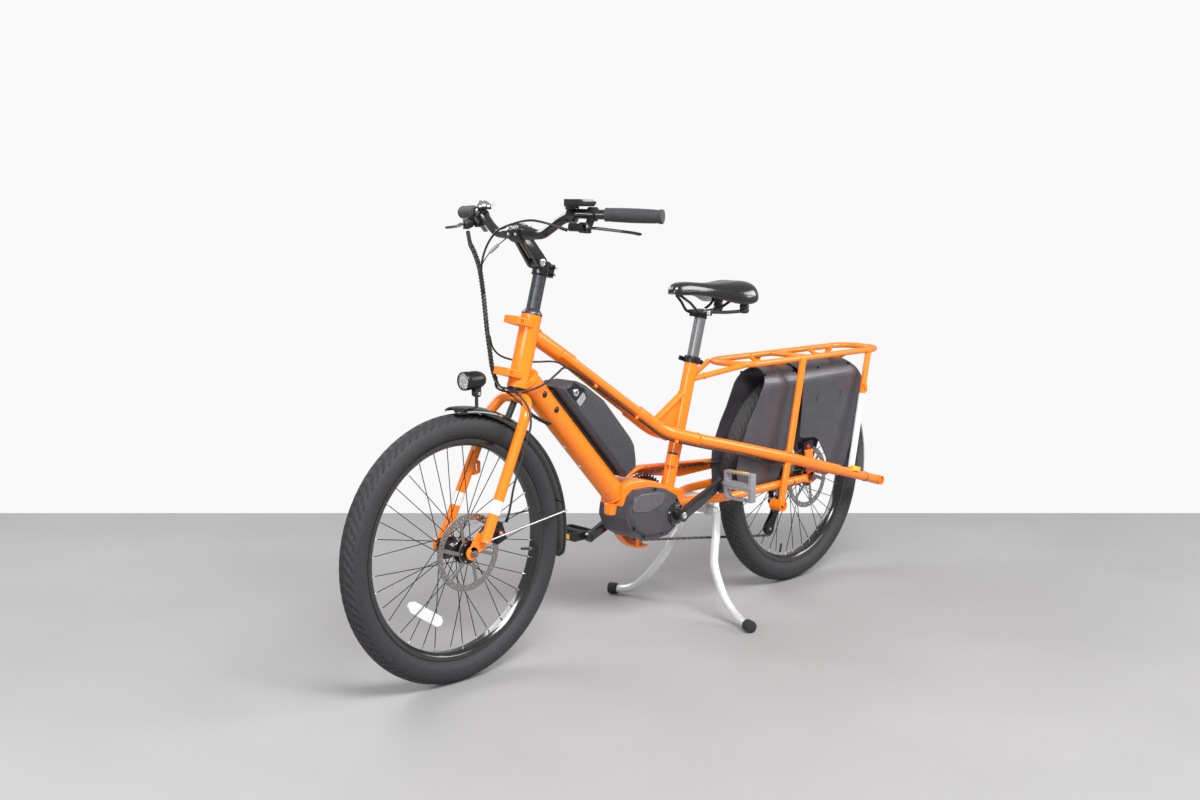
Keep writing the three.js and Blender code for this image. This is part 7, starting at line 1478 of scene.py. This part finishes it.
@piece("stem_arm_body", "stem_arm")
def stem_arm(shape):
    refined(shape, "stem_arm", "black_gloss", edge=2.4)
    for side in (1, -1):
        bolt(shape, stem_pivot + LEFT * side * 20, LEFT * side, 9.2, 3.4)
        for up in (-9, 9):
            bolt(shape, bar_clamp + head_ahead * 20.5 + head_up * up + LEFT * side * 12, head_ahead, 3.4, 3)
    for left in (-14, -7, 0, 7, 14):
        cross_rod(shape, bar_clamp, 22.2, left - 1.2, left + 1.2, "black_gloss", edge=0.5, sides=48)


def bar_radius(left):
    """The bar's radius by its distance from the middle, thick at the clamp."""
    share = min(1, max(0, (abs(left) - BAR_STRAIGHT) / (BAR_TAPER_END - BAR_STRAIGHT)))
    eased = share * share * (3 - 2 * share)
    return BAR_CENTRE_RADIUS + (BAR_END_RADIUS - BAR_CENTRE_RADIUS) * eased


@piece("handlebar_tube", "handlebar")
def handlebar(shape):
    half = smooth(bar_half, 72)
    whole = [flipped(point) for point in half[:0:-1]] + half
    tube(shape, whole, [bar_radius(point.y) for point in whole], "black_gloss", sides=36)


def grip(name, node, side):
    """A ribbed rubber grip with a collar and an end cap."""
    shape = Shape()
    start, along = sided([grip_start, grip_along], side)
    profile = [(11.5, 0), (14.6, 0), (15.6, 0.8), (15.6, 5), (14.9, 6)]
    pitch = (GRIP_LENGTH - GRIP_FIRST_RIB - 14) / GRIP_RIBS
    for i in range(GRIP_RIBS):
        base = GRIP_FIRST_RIB + i * pitch
        swell = math.sin(math.pi * i / GRIP_RIBS)
        profile += [(14.7 + swell, base), (15.5 + swell, base + pitch * 0.3),
                    (15.5 + swell, base + pitch * 0.7), (14.7 + swell, base + pitch)]
    end = GRIP_LENGTH
    profile += [(15.4, end - 5), (16.4, end - 4), (16.5, end + 0.5), (15, end + 2.6), (6, end + 3),
                (0.5, end + 3)]
    turned(shape, start, along, profile, "grip", sides=48)
    dress(name, node, shape, angle=50)


grip("grip_left_rubber", "grip_left", 1)
grip("grip_right_rubber", "grip_right", -1)

# Saddle
post_top = on_seat(502)
SADDLE_LENGTH = 268
SADDLE_WIDTH = 152
SADDLE_SKIRT_DEPTH = 62
SADDLE_NOSE_EXTRA = 7
SADDLE_HULL_LENGTH = SADDLE_LENGTH + 18
SEAM_STEPS = 40
SEAM_RADIUS = 1.1
RAIL_SPREAD = 22
RAIL_STRAIGHT = 31.2
RAIL_WIRE_RADIUS = 3.6
SPRING_SPREAD = 46
saddle_nose = vec(post_top.x + 114, 0, CRANK.z + 591)
SADDLE_STATIONS = (0, 0.03, 0.1, 0.22, 0.36, 0.5, 0.62, 0.74, 0.85, 0.94, 0.985, 1)
SADDLE_WIDTHS = (0.14, 0.24, 0.3, 0.33, 0.39, 0.54, 0.77, 0.98, 1.07, 1.04, 0.92, 0.66)
SADDLE_TOPS = (0.22, 0, -0.09, -0.09, -0.03, 0.02, 0.01, -0.03, -0.06, -0.03, 0.08, 0.24)
SADDLE_LOWS = (0.4, 0.48, 0.51, 0.53, 0.57, 0.7, 0.9, 1.04, 1.06, 0.98, 0.84, 0.64)
SADDLE_ARCH = (
    (-0.97, 1), (-1, 0.72), (-0.93, 0.36), (-0.7, 0.1), (-0.36, 0), (0, 0.04), (0.36, 0), (0.7, 0.1),
    (0.93, 0.36), (1, 0.72), (0.97, 1), (0.5, 0.78), (-0.5, 0.78))


def on_saddle(share, left, height):
    """A place by its share of the saddle's length and of its depth below the nose."""
    return vec(saddle_nose.x - share * SADDLE_LENGTH, left, saddle_nose.z - height * SADDLE_SKIRT_DEPTH)


def saddle():
    """The padded cover, a cage of stations that a subdivision rounds off, and its seams."""
    shape = Shape()
    rings = []
    for station, across, high_share, low_share in zip(
            SADDLE_STATIONS, SADDLE_WIDTHS, SADDLE_TOPS, SADDLE_LOWS):
        x = saddle_nose.x + SADDLE_NOSE_EXTRA - station * SADDLE_HULL_LENGTH
        half = across * SADDLE_WIDTH / 2
        high = saddle_nose.z - high_share * SADDLE_SKIRT_DEPTH
        low_edge = saddle_nose.z - low_share * SADDLE_SKIRT_DEPTH
        rings.append([vec(x, left * half, high + (low_edge - high) * down) for left, down in SADDLE_ARCH])
    loft(shape, rings, "saddle")
    obj = dress("saddle_cover", "saddle", shape, angle=180)
    smoother = obj.modifiers.new("smoother", "SUBSURF")
    smoother.levels = 3
    smoother.render_levels = 3
    seams(obj)


def seams(cover):
    """A raised seam along each side of the cover, laid on its finished skin."""
    mesh = evaluated(cover)
    skin = BVHTree.FromPolygons([v.co for v in mesh.vertices], [list(f.vertices) for f in mesh.polygons])
    bpy.data.meshes.remove(mesh)
    shape = Shape()
    for side in (1, -1):
        line = []
        for k in range(SEAM_STEPS + 1):
            share = 0.05 + 0.88 * k / SEAM_STEPS
            start = on_saddle(share, side * SADDLE_WIDTH, 0.3 + 0.36 * share ** 2)
            spot = skin.ray_cast(to_frame(start), -LEFT * side)[0]
            if spot:
                line.append((spot - ORIGIN) / UNIT)
        tube(shape, evenly(line, 60), SEAM_RADIUS, "saddle", sides=10)
    shape.build("saddle_seams", "saddle")


saddle()


@piece("saddle_rails_wire", "saddle_rails")
def saddle_rails(shape):
    """The bent rail, and the two springs with the bars to them."""
    low_height = post_top.z + 10.4
    half = [
        on_saddle(0.84, RAIL_SPREAD * 1.7, 0.6), on_saddle(0.68, RAIL_SPREAD * 1.1, 1),
        vec(post_top.x - RAIL_STRAIGHT, RAIL_SPREAD, low_height),
        vec(post_top.x + RAIL_STRAIGHT, RAIL_SPREAD, low_height),
        on_saddle(0.2, RAIL_SPREAD * 0.7, 0.8), on_saddle(0.08, RAIL_SPREAD * 0.3, 0.46)]
    route = rounded(half + [flipped(point) for point in half[::-1]], 44, 8)
    tube(shape, route, RAIL_WIRE_RADIUS, "black_metal", sides=16)
    spring = on_saddle(0.9, SPRING_SPREAD, 1.25)
    bar = [vec(post_top.x - 26, 20, low_height), vec(post_top.x - 66, 32, low_height - 2), spring - UP * 2]
    for side in (1, -1):
        foot = sided([spring - UP * 8], side)[0]
        turned(shape, foot, UP, [
            (8, 0), (12, 3), (13.5, 10), (11.5, 14), (13.5, 18), (11.5, 24), (13.5, 28), (12, 50), (8, 56)],
            "black_satin", sides=32)
        tube(shape, rounded(sided(bar, side), 40, 8), 4.6, "black_satin", sides=16)


POST_RADIUS = 15.5
POST_INSERTION = 92


@piece("seatpost_tube", "seatpost")
def seatpost(shape):
    """The post, its head and the two clamped cheeks under the saddle."""
    foot = on_seat(SEAT_TUBE_TOP_RISE) - head_up * POST_INSERTION
    rod(shape, foot, post_top, POST_RADIUS, "post_grey", edge=1.5, sides=48)
    rod(shape, post_top - head_up * 6, post_top + head_up * 2, POST_RADIUS + 2, "black_metal", edge=2,
        sides=40)
    block(shape, post_top + UP * 5, 50, 40, 9, "black_metal", edge=3)
    block(shape, post_top + UP * 14, 46, 56, 7, "gunmetal", edge=3)
    for side in (1, -1):
        bolt(shape, post_top + vec(0, side * 26, 9), LEFT * side, 7, 4)
    for ahead in (-17, 17):
        bolt(shape, post_top + vec(ahead, 0, 17), UP, 4.5, 3)


# Stand
STAND_RADIUS = 11.5
STAND_REACH = 84
STAND_HALF_SPREAD = 246
STAND_DROP = 260
STAND_AXLE_HALF = 58
STAND_SHARES = (
    (0, 0.236, 0), (0.03, 0.245, 0.13), (0.083, 0.26, 0.25), (0.31, 0.309, 0.39), (0.488, 0.36, 0.52),
    (0.607, 0.455, 0.665), (0.718, 0.57, 0.805), (0.774, 0.732, 0.938), (0.87, 0.87, 0.99), (1, 1, 1))
stand_pivot = vec(CRANK.x - 178, 0, 276)


@piece("stand_legs", "stand")
def stand(shape):
    leg = [stand_pivot + vec(ahead * STAND_REACH, left * STAND_HALF_SPREAD, -down * STAND_DROP)
           for ahead, left, down in STAND_SHARES]
    route = smooth(leg, 60)
    for side in (1, -1):
        line = sided(route, side)
        tube(shape, line, STAND_RADIUS, "stand_white", sides=32)
        along = (line[-1] - line[-3]).normalized()
        turned(shape, line[-1] - along * 14, along, [
            (11.6, 0), (13.6, 0), (15, 2), (15.4, 12), (15.9, 22), (15, 26), (12, 27), (0.5, 27)], "rubber",
            sides=36)
    cross_rod(shape, stand_pivot, STAND_RADIUS, -STAND_AXLE_HALF, STAND_AXLE_HALF, "stand_white", edge=1.5)


# Drive
CHAIN_LINE = 50
CHAIN_PITCH = 12.7
LINK_RADIUS = 3.5
ROLLER_RADIUS = 2.6
PIN_RADIUS = 1.5
CHAINRING_RADIUS = 90
COG_CHAIN_RADIUS = 56
JOCKEY_RADIUS = 21
CHAINRING_TEETH = 44
CHAINRING_ARMS = 5
CHAINRING_ROOT_RADIUS = 86
CHAINRING_BORE = 11.5
CHAINRING_BOSS_RADIUS = 22
CHAINRING_WINDOW = (71, 28)
CHAINRING_BOLT_RADIUS = 64
COGS = 8
COG_RADII = (30, 70)
COG_PITCH = 3.8
COG_BORE = 18.3
upper_jockey = vec(REAR.x - 6, 0, REAR.z - 92)
lower_jockey = vec(REAR.x + 38, 0, REAR.z - 166)


def chain_path():
    """Even steps along the chain: arcs over each wheel, joined by straight runs."""
    wheels = [(CRANK, CHAINRING_RADIUS, 1), (lower_jockey, JOCKEY_RADIUS, 1),
              (upper_jockey, JOCKEY_RADIUS, -1), (REAR, COG_CHAIN_RADIUS, 1)]
    headings = []
    for i, (centre, radius, turn) in enumerate(wheels):
        next_centre, next_radius, next_turn = wheels[(i + 1) % len(wheels)]
        run = next_centre - centre
        step = radius * turn - next_radius * next_turn
        headings.append(math.atan2(run.z, run.x) - math.asin(step / run.length))
    line = []
    for i, (centre, radius, turn) in enumerate(wheels):
        last = headings[i - 1]
        start = last + turn * math.pi / 2
        sweep = (turn * (last - headings[i])) % (2 * math.pi)
        count = max(6, int(sweep * 12))
        line += [around(centre, radius, start - turn * sweep * k / count, -CHAIN_LINE)
                 for k in range(count + 1)]
    line.append(line[0].copy())
    total = sum((b - a).length for a, b in zip(line, line[1:]))
    links = round(total / CHAIN_PITCH / 2) * 2
    return evenly(line, links)[:-1]


def waisted(a, b, radius, waist, steps):
    """A figure-of-eight outline round two centres."""
    along = (b - a).normalized()
    across = vec(-along.z, 0, along.x)
    outline = []
    for centre, side in ((b, 1), (a, -1)):
        for k in range(steps + 1):
            turn = math.pi * (k / steps - side / 2)
            outline.append(centre + along * radius * math.cos(turn) + across * radius * math.sin(turn))
        outline.append((a + b) / 2 + across * side * waist)
    return outline


@piece("chain_links", "chain")
def chain(shape):
    """Inner and outer links by turns, each with its roller and pin."""
    path = chain_path()
    for i, a in enumerate(path):
        outline = waisted(a, path[(i + 1) % len(path)], LINK_RADIUS, LINK_RADIUS * 0.62, 5)
        for side in (-1, 1):
            face = -CHAIN_LINE + side * (3.4 if i % 2 else 2.2)
            rings = [[vec(p.x, y, p.z) for p in outline] for y in (face - 0.5, face + 0.5)]
            loft(shape, rings, "gunmetal" if i % 2 else "steel")
        for radius, half, sides in ((ROLLER_RADIUS, 2, 10), (PIN_RADIUS, 4, 8)):
            cross_rod(shape, a, radius, -CHAIN_LINE - half, -CHAIN_LINE + half, "steel", edge=0.2,
                      sides=sides)


@piece("chainring_toothed", "chainring")
def chainring(shape):
    low = -CHAIN_LINE - 1.5
    high = low + 3
    turns = [i / CHAINRING_ARMS * 2 * math.pi for i in range(CHAINRING_ARMS)]
    half_turn = math.pi / CHAINRING_ARMS
    holes = [circle_outline(CRANK, CHAINRING_BORE, 32)]
    for turn in turns:
        opening = window(CRANK, turn + half_turn, half_turn, 18, *CHAINRING_WINDOW,
                         [-1, -0.6, -0.2, 0.2, 0.6, 1])
        holes.append(outline_rounded(opening, 5, 3))
    teeth = toothed_outline(CRANK, CHAINRING_ROOT_RADIUS, CHAINRING_TEETH, 2.6)
    plate(shape, teeth, low, high, "black_metal", edge=0.5, holes=holes)
    spun(shape, CRANK, [
        (CHAINRING_BORE, high - 7), (CHAINRING_BOSS_RADIUS - 1, high - 7), (CHAINRING_BOSS_RADIUS, high - 6),
        (CHAINRING_BOSS_RADIUS, high), (CHAINRING_BORE, high)], "black_metal", sides=48)
    for turn in turns:
        bolt(shape, around(CRANK, CHAINRING_BOLT_RADIUS, turn, low), -LEFT, 4.4, 2)


@piece("cassette_cogs", "cassette")
def cassette(shape):
    outer = -REAR_HUB_WIDTH / 2 + GAP * 15
    smallest, largest = COG_RADII
    for i in range(COGS):
        radius = smallest + (largest - smallest) * i / (COGS - 1)
        face = outer + 1.5 + i * COG_PITCH
        teeth = round(2 * math.pi * radius / CHAIN_PITCH)
        plate(shape, toothed_outline(REAR, radius - 3, teeth, 3), face, face + 2, "steel", edge=0.3,
              holes=[circle_outline(REAR, COG_BORE, 32)])
    inner = outer + 29
    spun(shape, REAR, [(COG_BORE, outer), (24, outer), (26, outer + 2), (26, inner), (COG_BORE, inner)],
         "black_metal", sides=40)


def from_solid(name, node, finish, edge):
    """A piece with its solid's shape and rounded edges."""
    shape = Shape()
    refined(shape, node, finish, edge)
    dress(name, node, shape)


@piece("derailleur_cage_plates", "derailleur_cage")
def derailleur_cage(shape):
    """Two cage plates with the jockey wheels between them."""
    outline = waisted(upper_jockey, lower_jockey, JOCKEY_RADIUS * 0.82, JOCKEY_RADIUS * 0.52, 12)
    for face in (-CHAIN_LINE - 7, -CHAIN_LINE + 5):
        plate(shape, [in_plane(place) for place in outline], face, face + 2, "black_metal")
    for place in (upper_jockey, lower_jockey):
        plate(shape, toothed_outline(place, JOCKEY_RADIUS - 3, 11, 2.6), -CHAIN_LINE - 2, -CHAIN_LINE + 2,
              "black_satin", edge=0.5)
        cross_rod(shape, place, 5, -CHAIN_LINE - 7, -CHAIN_LINE + 7, "black_metal")
        for side in (-1, 1):
            bolt(shape, vec(place.x, -CHAIN_LINE + side * 7, place.z), LEFT * side, 4.5, 2)


from_solid("derailleur_arms", "derailleur_body", "black_metal", 1.6)

GUARD_RADIUS = 111
GUARD_FOOT_ANGLE = math.radians(-98)
GUARD_LENGTH = 322
GUARD_FALL = 23
GUARD_DEPTH = 27
GUARD_LIP_RADIUS = 106
GUARD_INNER_RADIUS = 90
GUARD_FACES = (-64, -61.5)
GUARD_LIP_FACES = (-64, -42)


@piece("chain_guard_sheet", "chain_guard")
def chain_guard(shape):
    """The guard's lip and side round the chainring, its run over the chain, and its tab."""
    def arc(radius, steps=48):
        start = math.pi / 2 + 0.05
        return [in_plane(around(CRANK, radius, start + (GUARD_FOOT_ANGLE - start) * i / steps))
                for i in range(steps + 1)]
    top = GUARD_RADIUS
    plate(shape, arc(top) + arc(GUARD_LIP_RADIUS)[::-1], *GUARD_LIP_FACES, edge=1)
    plate(shape, arc(top) + arc(GUARD_INNER_RADIUS)[::-1], *GUARD_FACES)
    run = about(CRANK, [
        (0, top), (-GUARD_LENGTH, top - GUARD_FALL), (-GUARD_LENGTH, top - GUARD_FALL - GUARD_DEPTH),
        (-GUARD_LENGTH / 2, top - GUARD_DEPTH * 2), (0, top - GUARD_DEPTH)])
    plate(shape, outline_rounded(run, 8), *GUARD_FACES)
    rear = -GUARD_LENGTH * 0.8
    low = top - GUARD_FALL * 0.8
    lip = about(CRANK, [(0, top), (rear, low), (rear, low - 2.5), (0, top - 5)])
    plate(shape, lip, *GUARD_LIP_FACES)
    plate(shape, about(CRANK, [(20, -105), (32, -104), (32, -35), (20, -35)]), -45.4, -40.3)
    for share in (0.25, 0.75):
        bolt(shape, vec(CRANK.x - GUARD_LENGTH * share, GUARD_FACES[0], CRANK.z + top - 30), -LEFT, 5, 2.4)


# Bought-in pieces whose solids carry their shape, with edges rounded and their small parts added
CRANK_LENGTH = 170
CRANK_LIFT = math.radians(21.9)
CRANK_FACE = 99
crank_along = vec(-math.cos(CRANK_LIFT), 0, math.sin(CRANK_LIFT))
left_eye = CRANK + crank_along * CRANK_LENGTH
right_eye = CRANK - crank_along * CRANK_LENGTH


def crank(name, node, bolts):
    shape = Shape()
    refined(shape, node, "black_gloss", edge=2.6)
    for place, left, radius, height in bolts:
        bolt(shape, vec(place.x, left, place.z), LEFT * math.copysign(1, left), radius, height)
    dress(name, node, shape)


crank("crank_left_arm", "crank_left", [(CRANK, CRANK_FACE, 8.5, 3), (left_eye, CRANK_FACE - 2, 6, 2)])
crank("crank_right_arm", "crank_right", [(CRANK, -CRANK_FACE, 8.5, 3)])

PEDAL_HALF_WIDTH = 46
PEDAL_REFLECTOR_PLACE = 37.4
PIN_SPACINGS = (-36, -12, 12, 36)


def pedal(name, node, eye, side, upright):
    """A pedal's cage with its reflectors and pins, standing on end or lying flat."""
    shape = Shape()
    refined(shape, node, "pedal_grey" if upright else "black_satin", edge=2.6)
    low_corner, high_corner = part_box(node)
    outer = abs(low_corner.y if side < 0 else high_corner.y) / UNIT
    middle = vec(eye.x, side * (outer - PEDAL_HALF_WIDTH), eye.z)
    ahead = vec(1, 0, 0)
    across, normal = (UP, ahead) if upright else (ahead, UP)
    for end in (-1, 1):
        size = (13, 52, 3.4) if upright else (3.4, 52, 13)
        block(shape, middle + across * end * PEDAL_REFLECTOR_PLACE, *size, "amber", edge=0.8)
        along = normal * end
        for left in PIN_SPACINGS:
            for far in (-32, 32):
                spot = middle + LEFT * left + across * far
                rod(shape, spot + along * 9, spot + along * 12.4, 1.6, "steel", edge=0.4, sides=10)
    dress(name, node, shape)


pedal("pedal_left_cage", "pedal_left", left_eye, 1, True)
pedal("pedal_right_cage", "pedal_right", right_eye, -1, False)

BATTERY_START = 84
BATTERY_LENGTH = 362
BATTERY_DEPTH = 86
BATTERY_WIDTH = 90
BATTERY_LOW = DOWN_TUBE_RADIUS * 1.07
BATTERY_RECESS_DEPTH = 16
BATTERY_PANEL = ((0.07, 0.15), (0.25, 0.15), (0.25, 0.55), (0.2, 0.62), (0.1, 0.55))
BATTERY_HANDLE = ((0.195, 0.17), (0.245, 0.17), (0.245, 0.5), (0.195, 0.56))
BATTERY_LOCK = (0.145, 0.34)
BATTERY_SEAM_SHARE = 0.9
BATTERY_SEAM_OUTS = (46, 96)


def on_battery(along, out, left=0):
    """A place by its shares of the battery's length and depth."""
    place = on_down(BATTERY_START + along * BATTERY_LENGTH, BATTERY_LOW + out * BATTERY_DEPTH)
    return place + LEFT * left


@piece("battery_case", "battery")
def battery(shape):
    """The case with the dark panel, the grey handle and the lock on its left side."""
    refined(shape, "battery", "anthracite", edge=6)
    half = BATTERY_WIDTH / 2
    for shares, proud, finish, edge in (
            (BATTERY_PANEL, 0.3, "black_gloss", 0.5), (BATTERY_HANDLE, 2.2, "panel_grey", 0.9)):
        outline = outline_rounded([in_plane(on_battery(*share)) for share in shares], 5)
        plate(shape, outline, half - BATTERY_RECESS_DEPTH, half + proud, finish, edge)
    lock = on_battery(*BATTERY_LOCK, half)
    turned(shape, lock, LEFT, [(9, 0), (9, 3), (8, 4), (7, 4.4), (6.6, 3.8), (0.5, 3.8)], "silver", sides=32)
    block(shape, lock + LEFT * 4.2, 8, 1.2, 2, "black_satin", lean=0.6, edge=0.3)


def battery_seam():
    """The joint line near the case's lower end."""
    shape = Shape()
    low, high = [on_down(BATTERY_START + BATTERY_LENGTH * BATTERY_SEAM_SHARE, out)
                 + LEFT * (BATTERY_WIDTH / 2 - 0.2) for out in BATTERY_SEAM_OUTS]
    rod(shape, low, high, 0.7, "black_satin", edge=0.2, sides=8)
    shape.build("battery_seams", "battery")


battery_seam()
from_solid("battery_rail", "battery_mount", "black_satin", 1.2)


MOTOR_FACE = 62
MOTOR_FACET = ((0.06, 0.62), (0.1, 0.84), (0.2, 0.93), (0.5, 0.91), (0.68, 0.84), (0.6, 0.66), (0.36, 0.56))
MOTOR_BOLTS = ((0.12, 0.3), (0.3, 0.1), (0.62, 0.1), (0.86, 0.2), (0.9, 0.66), (0.5, 0.96))
FRONT_KNOB_ANGLE = math.radians(160)
REAR_KNOB_ANGLE = math.radians(83)


@piece("motor_case", "motor_housing")
def motor(shape):
    """The housing with its raised facet, the crank's boss and six bolts."""
    refined(shape, "motor_housing", "motor_grey", edge=4)
    facet = outline_rounded(motor_outline(MOTOR_FACET), 10)
    plate(shape, facet, MOTOR_FACE - 2, MOTOR_FACE + 7.5, "motor_facet", edge=2.5, resolution=3)
    turned(shape, vec(CRANK.x, MOTOR_FACE, CRANK.z), LEFT, [
        (12.5, 0), (30, 0), (30, 5), (27, 9), (26, 14), (24, 15), (12.5, 15)], "black_gloss", sides=56,
        closed=True)
    for x, z in motor_outline(MOTOR_BOLTS):
        bolt(shape, vec(x, MOTOR_FACE - 1, z), LEFT, 4, 3, "black_metal")


@piece("front_caliper_body", "front_caliper")
def front_caliper(shape):
    refined(shape, "front_caliper", "black_metal", edge=2)
    knob = around(FRONT, ROTOR_RADIUS + 2, FRONT_KNOB_ANGLE, 62)
    cross_rod(shape, knob, 8, 56, 62, "red", edge=1.5)
    bolt(shape, knob, LEFT, 4, 2)


@piece("rear_caliper_body", "rear_caliper")
def rear_caliper(shape):
    refined(shape, "rear_caliper", "black_metal", edge=2)
    cross_rod(shape, around(REAR, ROTOR_RADIUS + 2, REAR_KNOB_ANGLE), 7, 64, 69, "red", edge=1.2)


# Pieces that keep their solid's shape: the finish, and how far the edges are rounded
SMALL_PIECES = {
    "stand_bracket": ("stand_white", 1.2), "seat_clamp": ("black_metal", 1.0),
    "rear_axle": ("steel", 0.6), "front_axle": ("steel", 0.6), "seat_clamp_lever": ("black_metal", 1.2),
    "brake_perch_left": ("black_metal", 1.2), "brake_perch_right": ("black_metal", 1.2),
    "brake_lever_left": ("black_gloss", 1.4), "brake_lever_right": ("black_gloss", 1.4),
    "shift_lever": ("motor_facet", 1.0), "display": ("black_gloss", 2.0), "bell_lever": ("steel", 0.4),
}
for small, (small_finish, small_edge) in SMALL_PIECES.items():
    from_solid(small + "_body", small, small_finish, small_edge)


BELL_RADIUS = 20.5
BELL_HEIGHT = 15.8
BELL_SHARE = 0.44


@piece("bell_cap", "bell_dome")
def bell(shape):
    refined(shape, "bell_dome", "black_metal", edge=0.8)
    place = flipped(bar_at(BELL_SHARE)) + UP * (BAR_END_RADIUS + 5)
    dome = [in_plane(vec(BELL_RADIUS * math.cos(a), 0, 3.6 + BELL_HEIGHT * math.sin(a)))
            for a in (math.radians(degrees) for degrees in range(0, 88, 6))]
    turned(shape, place, UP, [(19, 3.4), (20.4, 3.0)] + dome + [(0.5, 19.4)], "chrome", sides=56)
    bolt(shape, place + UP * 19, UP, 3.5, 1.8)


# Cables: places along each route, near those of the solid
LOOM_POINTS = (
    (-200, -187, 1030), (-192, -169, 1003), (-185, -146, 983), (-172, -113, 951), (-160, -90, 919),
    (-151, -71, 874), (-147, -56, 804), (-148, -48, 758), (-153, -44, 712), (-160, -40, 686))
LEFT_HOSE_POINTS = (
    (-197, 163, 1041), (-184, 146, 1048), (-168, 120, 1057), (-156, 84, 1062), (-148, 32, 1053),
    (-142, -13, 1036), (-140, -46, 1003), (-142, -67, 963), (-147, -75, 925), (-152, -74, 884))
FRAME_HOSE_POINTS = (
    (-160, -41, 690), (-152, -30, 672), (-154, 0, 664), (-170, 26, 664), (-200, 41, 668), (-240, 46, 680),
    (-285, 40, 700), (-318, 30, 709))
FORK_HOSE_POINTS = (
    (-160, -40, 688), (-146, -12, 676), (-146, 24, 672), (-152, 52, 660), (-160, 72, 634), (-158, 84, 600),
    (-142, 86, 553), (-130, 86, 522), (-117, 85, 490), (-104, 84, 453), (-98, 80, 412), (-101, 68, 384),
    (-104, 59, 371))
CALIPER_HOSE_POINTS = (
    (-1040, 84, 386), (-1080, 74, 383), (-1130, 69, 384), (-1180, 68, 392), (-1222, 66, 399))
HEAD_HOSE_POINTS = (
    (-152, -52, 790), (-158, -50, 765), (-176, -48, 745), (-205, -40, 732), (-228, -4, 728), (-238, 24, 729),
    (-262, 34, 729), (-292, 32, 724), (-318, 29, 713))
MOTOR_WIRE_POINTS = (
    (-158, -36, 684), (-150, 0, 668), (-152, 30, 655), (-166, 52, 632), (-186, 56, 612), (-215, 56, 596),
    (-246, 50, 584), (-262, 38, 582))
WIRE_POINTS = (
    (-166, -104, 941), (-171, -96, 961), (-177, -78, 985), (-189, -60, 1004), (-215, -40, 1028),
    (-250, -14, 1045))
HOSE_RADIUS = 2.6
LOOM_RADIUS = 5.0
MOTOR_WIRE_RADIUS = 2.1
CLIP_SHARES = (0.30, 0.44, 0.57)


def rail_hose_points():
    """Places just under the left rail, which the frame's hose follows."""
    reach = SLEEVE_RADIUS + HOSE_RADIUS + 1.2
    below = vec(0, 0.42, -0.91)
    bend_route = rounded([rail_front, rail_bend, sleeve_end], RAIL_BEND_RADIUS, 4)
    route = [rail_front.lerp(rail_bend, 0.2), rail_front.lerp(rail_bend, 0.45)] + bend_route[1:-1]
    route += [rail_bend.lerp(sleeve_end, 0.9)] + [sleeve_end.lerp(rail_strut, share) for share in (0.3, 0.6)]
    out = []
    for i, point in enumerate(route):
        along = (route[min(i + 1, len(route) - 1)] - route[max(i - 1, 0)]).normalized()
        out.append(point + (below - along * below.dot(along)).normalized() * reach)
    return out


def spiral(shape, route, radius, pitch, finish):
    """A wrap wound round a bundle."""
    length = sum((b - a).length for a, b in zip(route, route[1:]))
    turns = length / pitch
    steps = int(turns * 14)
    line = evenly(route, steps)
    out = []
    side = (line[1] - line[0]).orthogonal().normalized()
    for i, point in enumerate(line):
        along = (line[min(i + 1, steps)] - line[max(i - 1, 0)]).normalized()
        side = (side - along * side.dot(along)).normalized()
        turn = 2 * math.pi * turns * i / steps
        out.append(point + (side * math.cos(turn) + along.cross(side) * math.sin(turn)) * radius)
    tube(shape, out, 1.5, finish, sides=6)


@piece("cable_loom_hoses", "cable_loom")
def cables(shape):
    """The bundle from the bars, its hoses and wires, their clips and end fittings."""
    def hose(points, count, radius, sides):
        line = smooth([Vector(point) for point in points], count)
        tube(shape, line, radius, "hose", sides=sides)
        return line
    loom = hose(LOOM_POINTS, 90, LOOM_RADIUS, 20)
    spiral(shape, loom[8:], LOOM_RADIUS, 8.5, "hose")
    left_hose = hose(LEFT_HOSE_POINTS, 90, HOSE_RADIUS, 14)
    frame_hose = hose([*FRAME_HOSE_POINTS, *rail_hose_points(), *CALIPER_HOSE_POINTS], 260, HOSE_RADIUS, 14)
    fork_hose = hose(FORK_HOSE_POINTS, 120, HOSE_RADIUS, 14)
    hose(HEAD_HOSE_POINTS, 90, 2.3, 12)
    motor_wire = hose(MOTOR_WIRE_POINTS, 80, MOTOR_WIRE_RADIUS, 10)
    spiral(shape, motor_wire[44:78], 3.4, 6.5, "hose")
    wire = hose(WIRE_POINTS, 60, 1.3, 8)
    rod(shape, wire[18], wire[28], 4.4, "panel_grey", edge=1, sides=20)
    for share in CLIP_SHARES:
        i = int(share * len(frame_hose))
        along = (frame_hose[i + 1] - frame_hose[i]).normalized()
        rod(shape, frame_hose[i] - along * 5, frame_hose[i] + along * 5, 4.6, edge=1, sides=16)
    for line in (left_hose, fork_hose, frame_hose):
        for near, far in ((line[0], line[6]), (line[-1], line[-6])):
            rod(shape, near, near.lerp(far, 0.8), 3.8, "black_metal", sides=20)
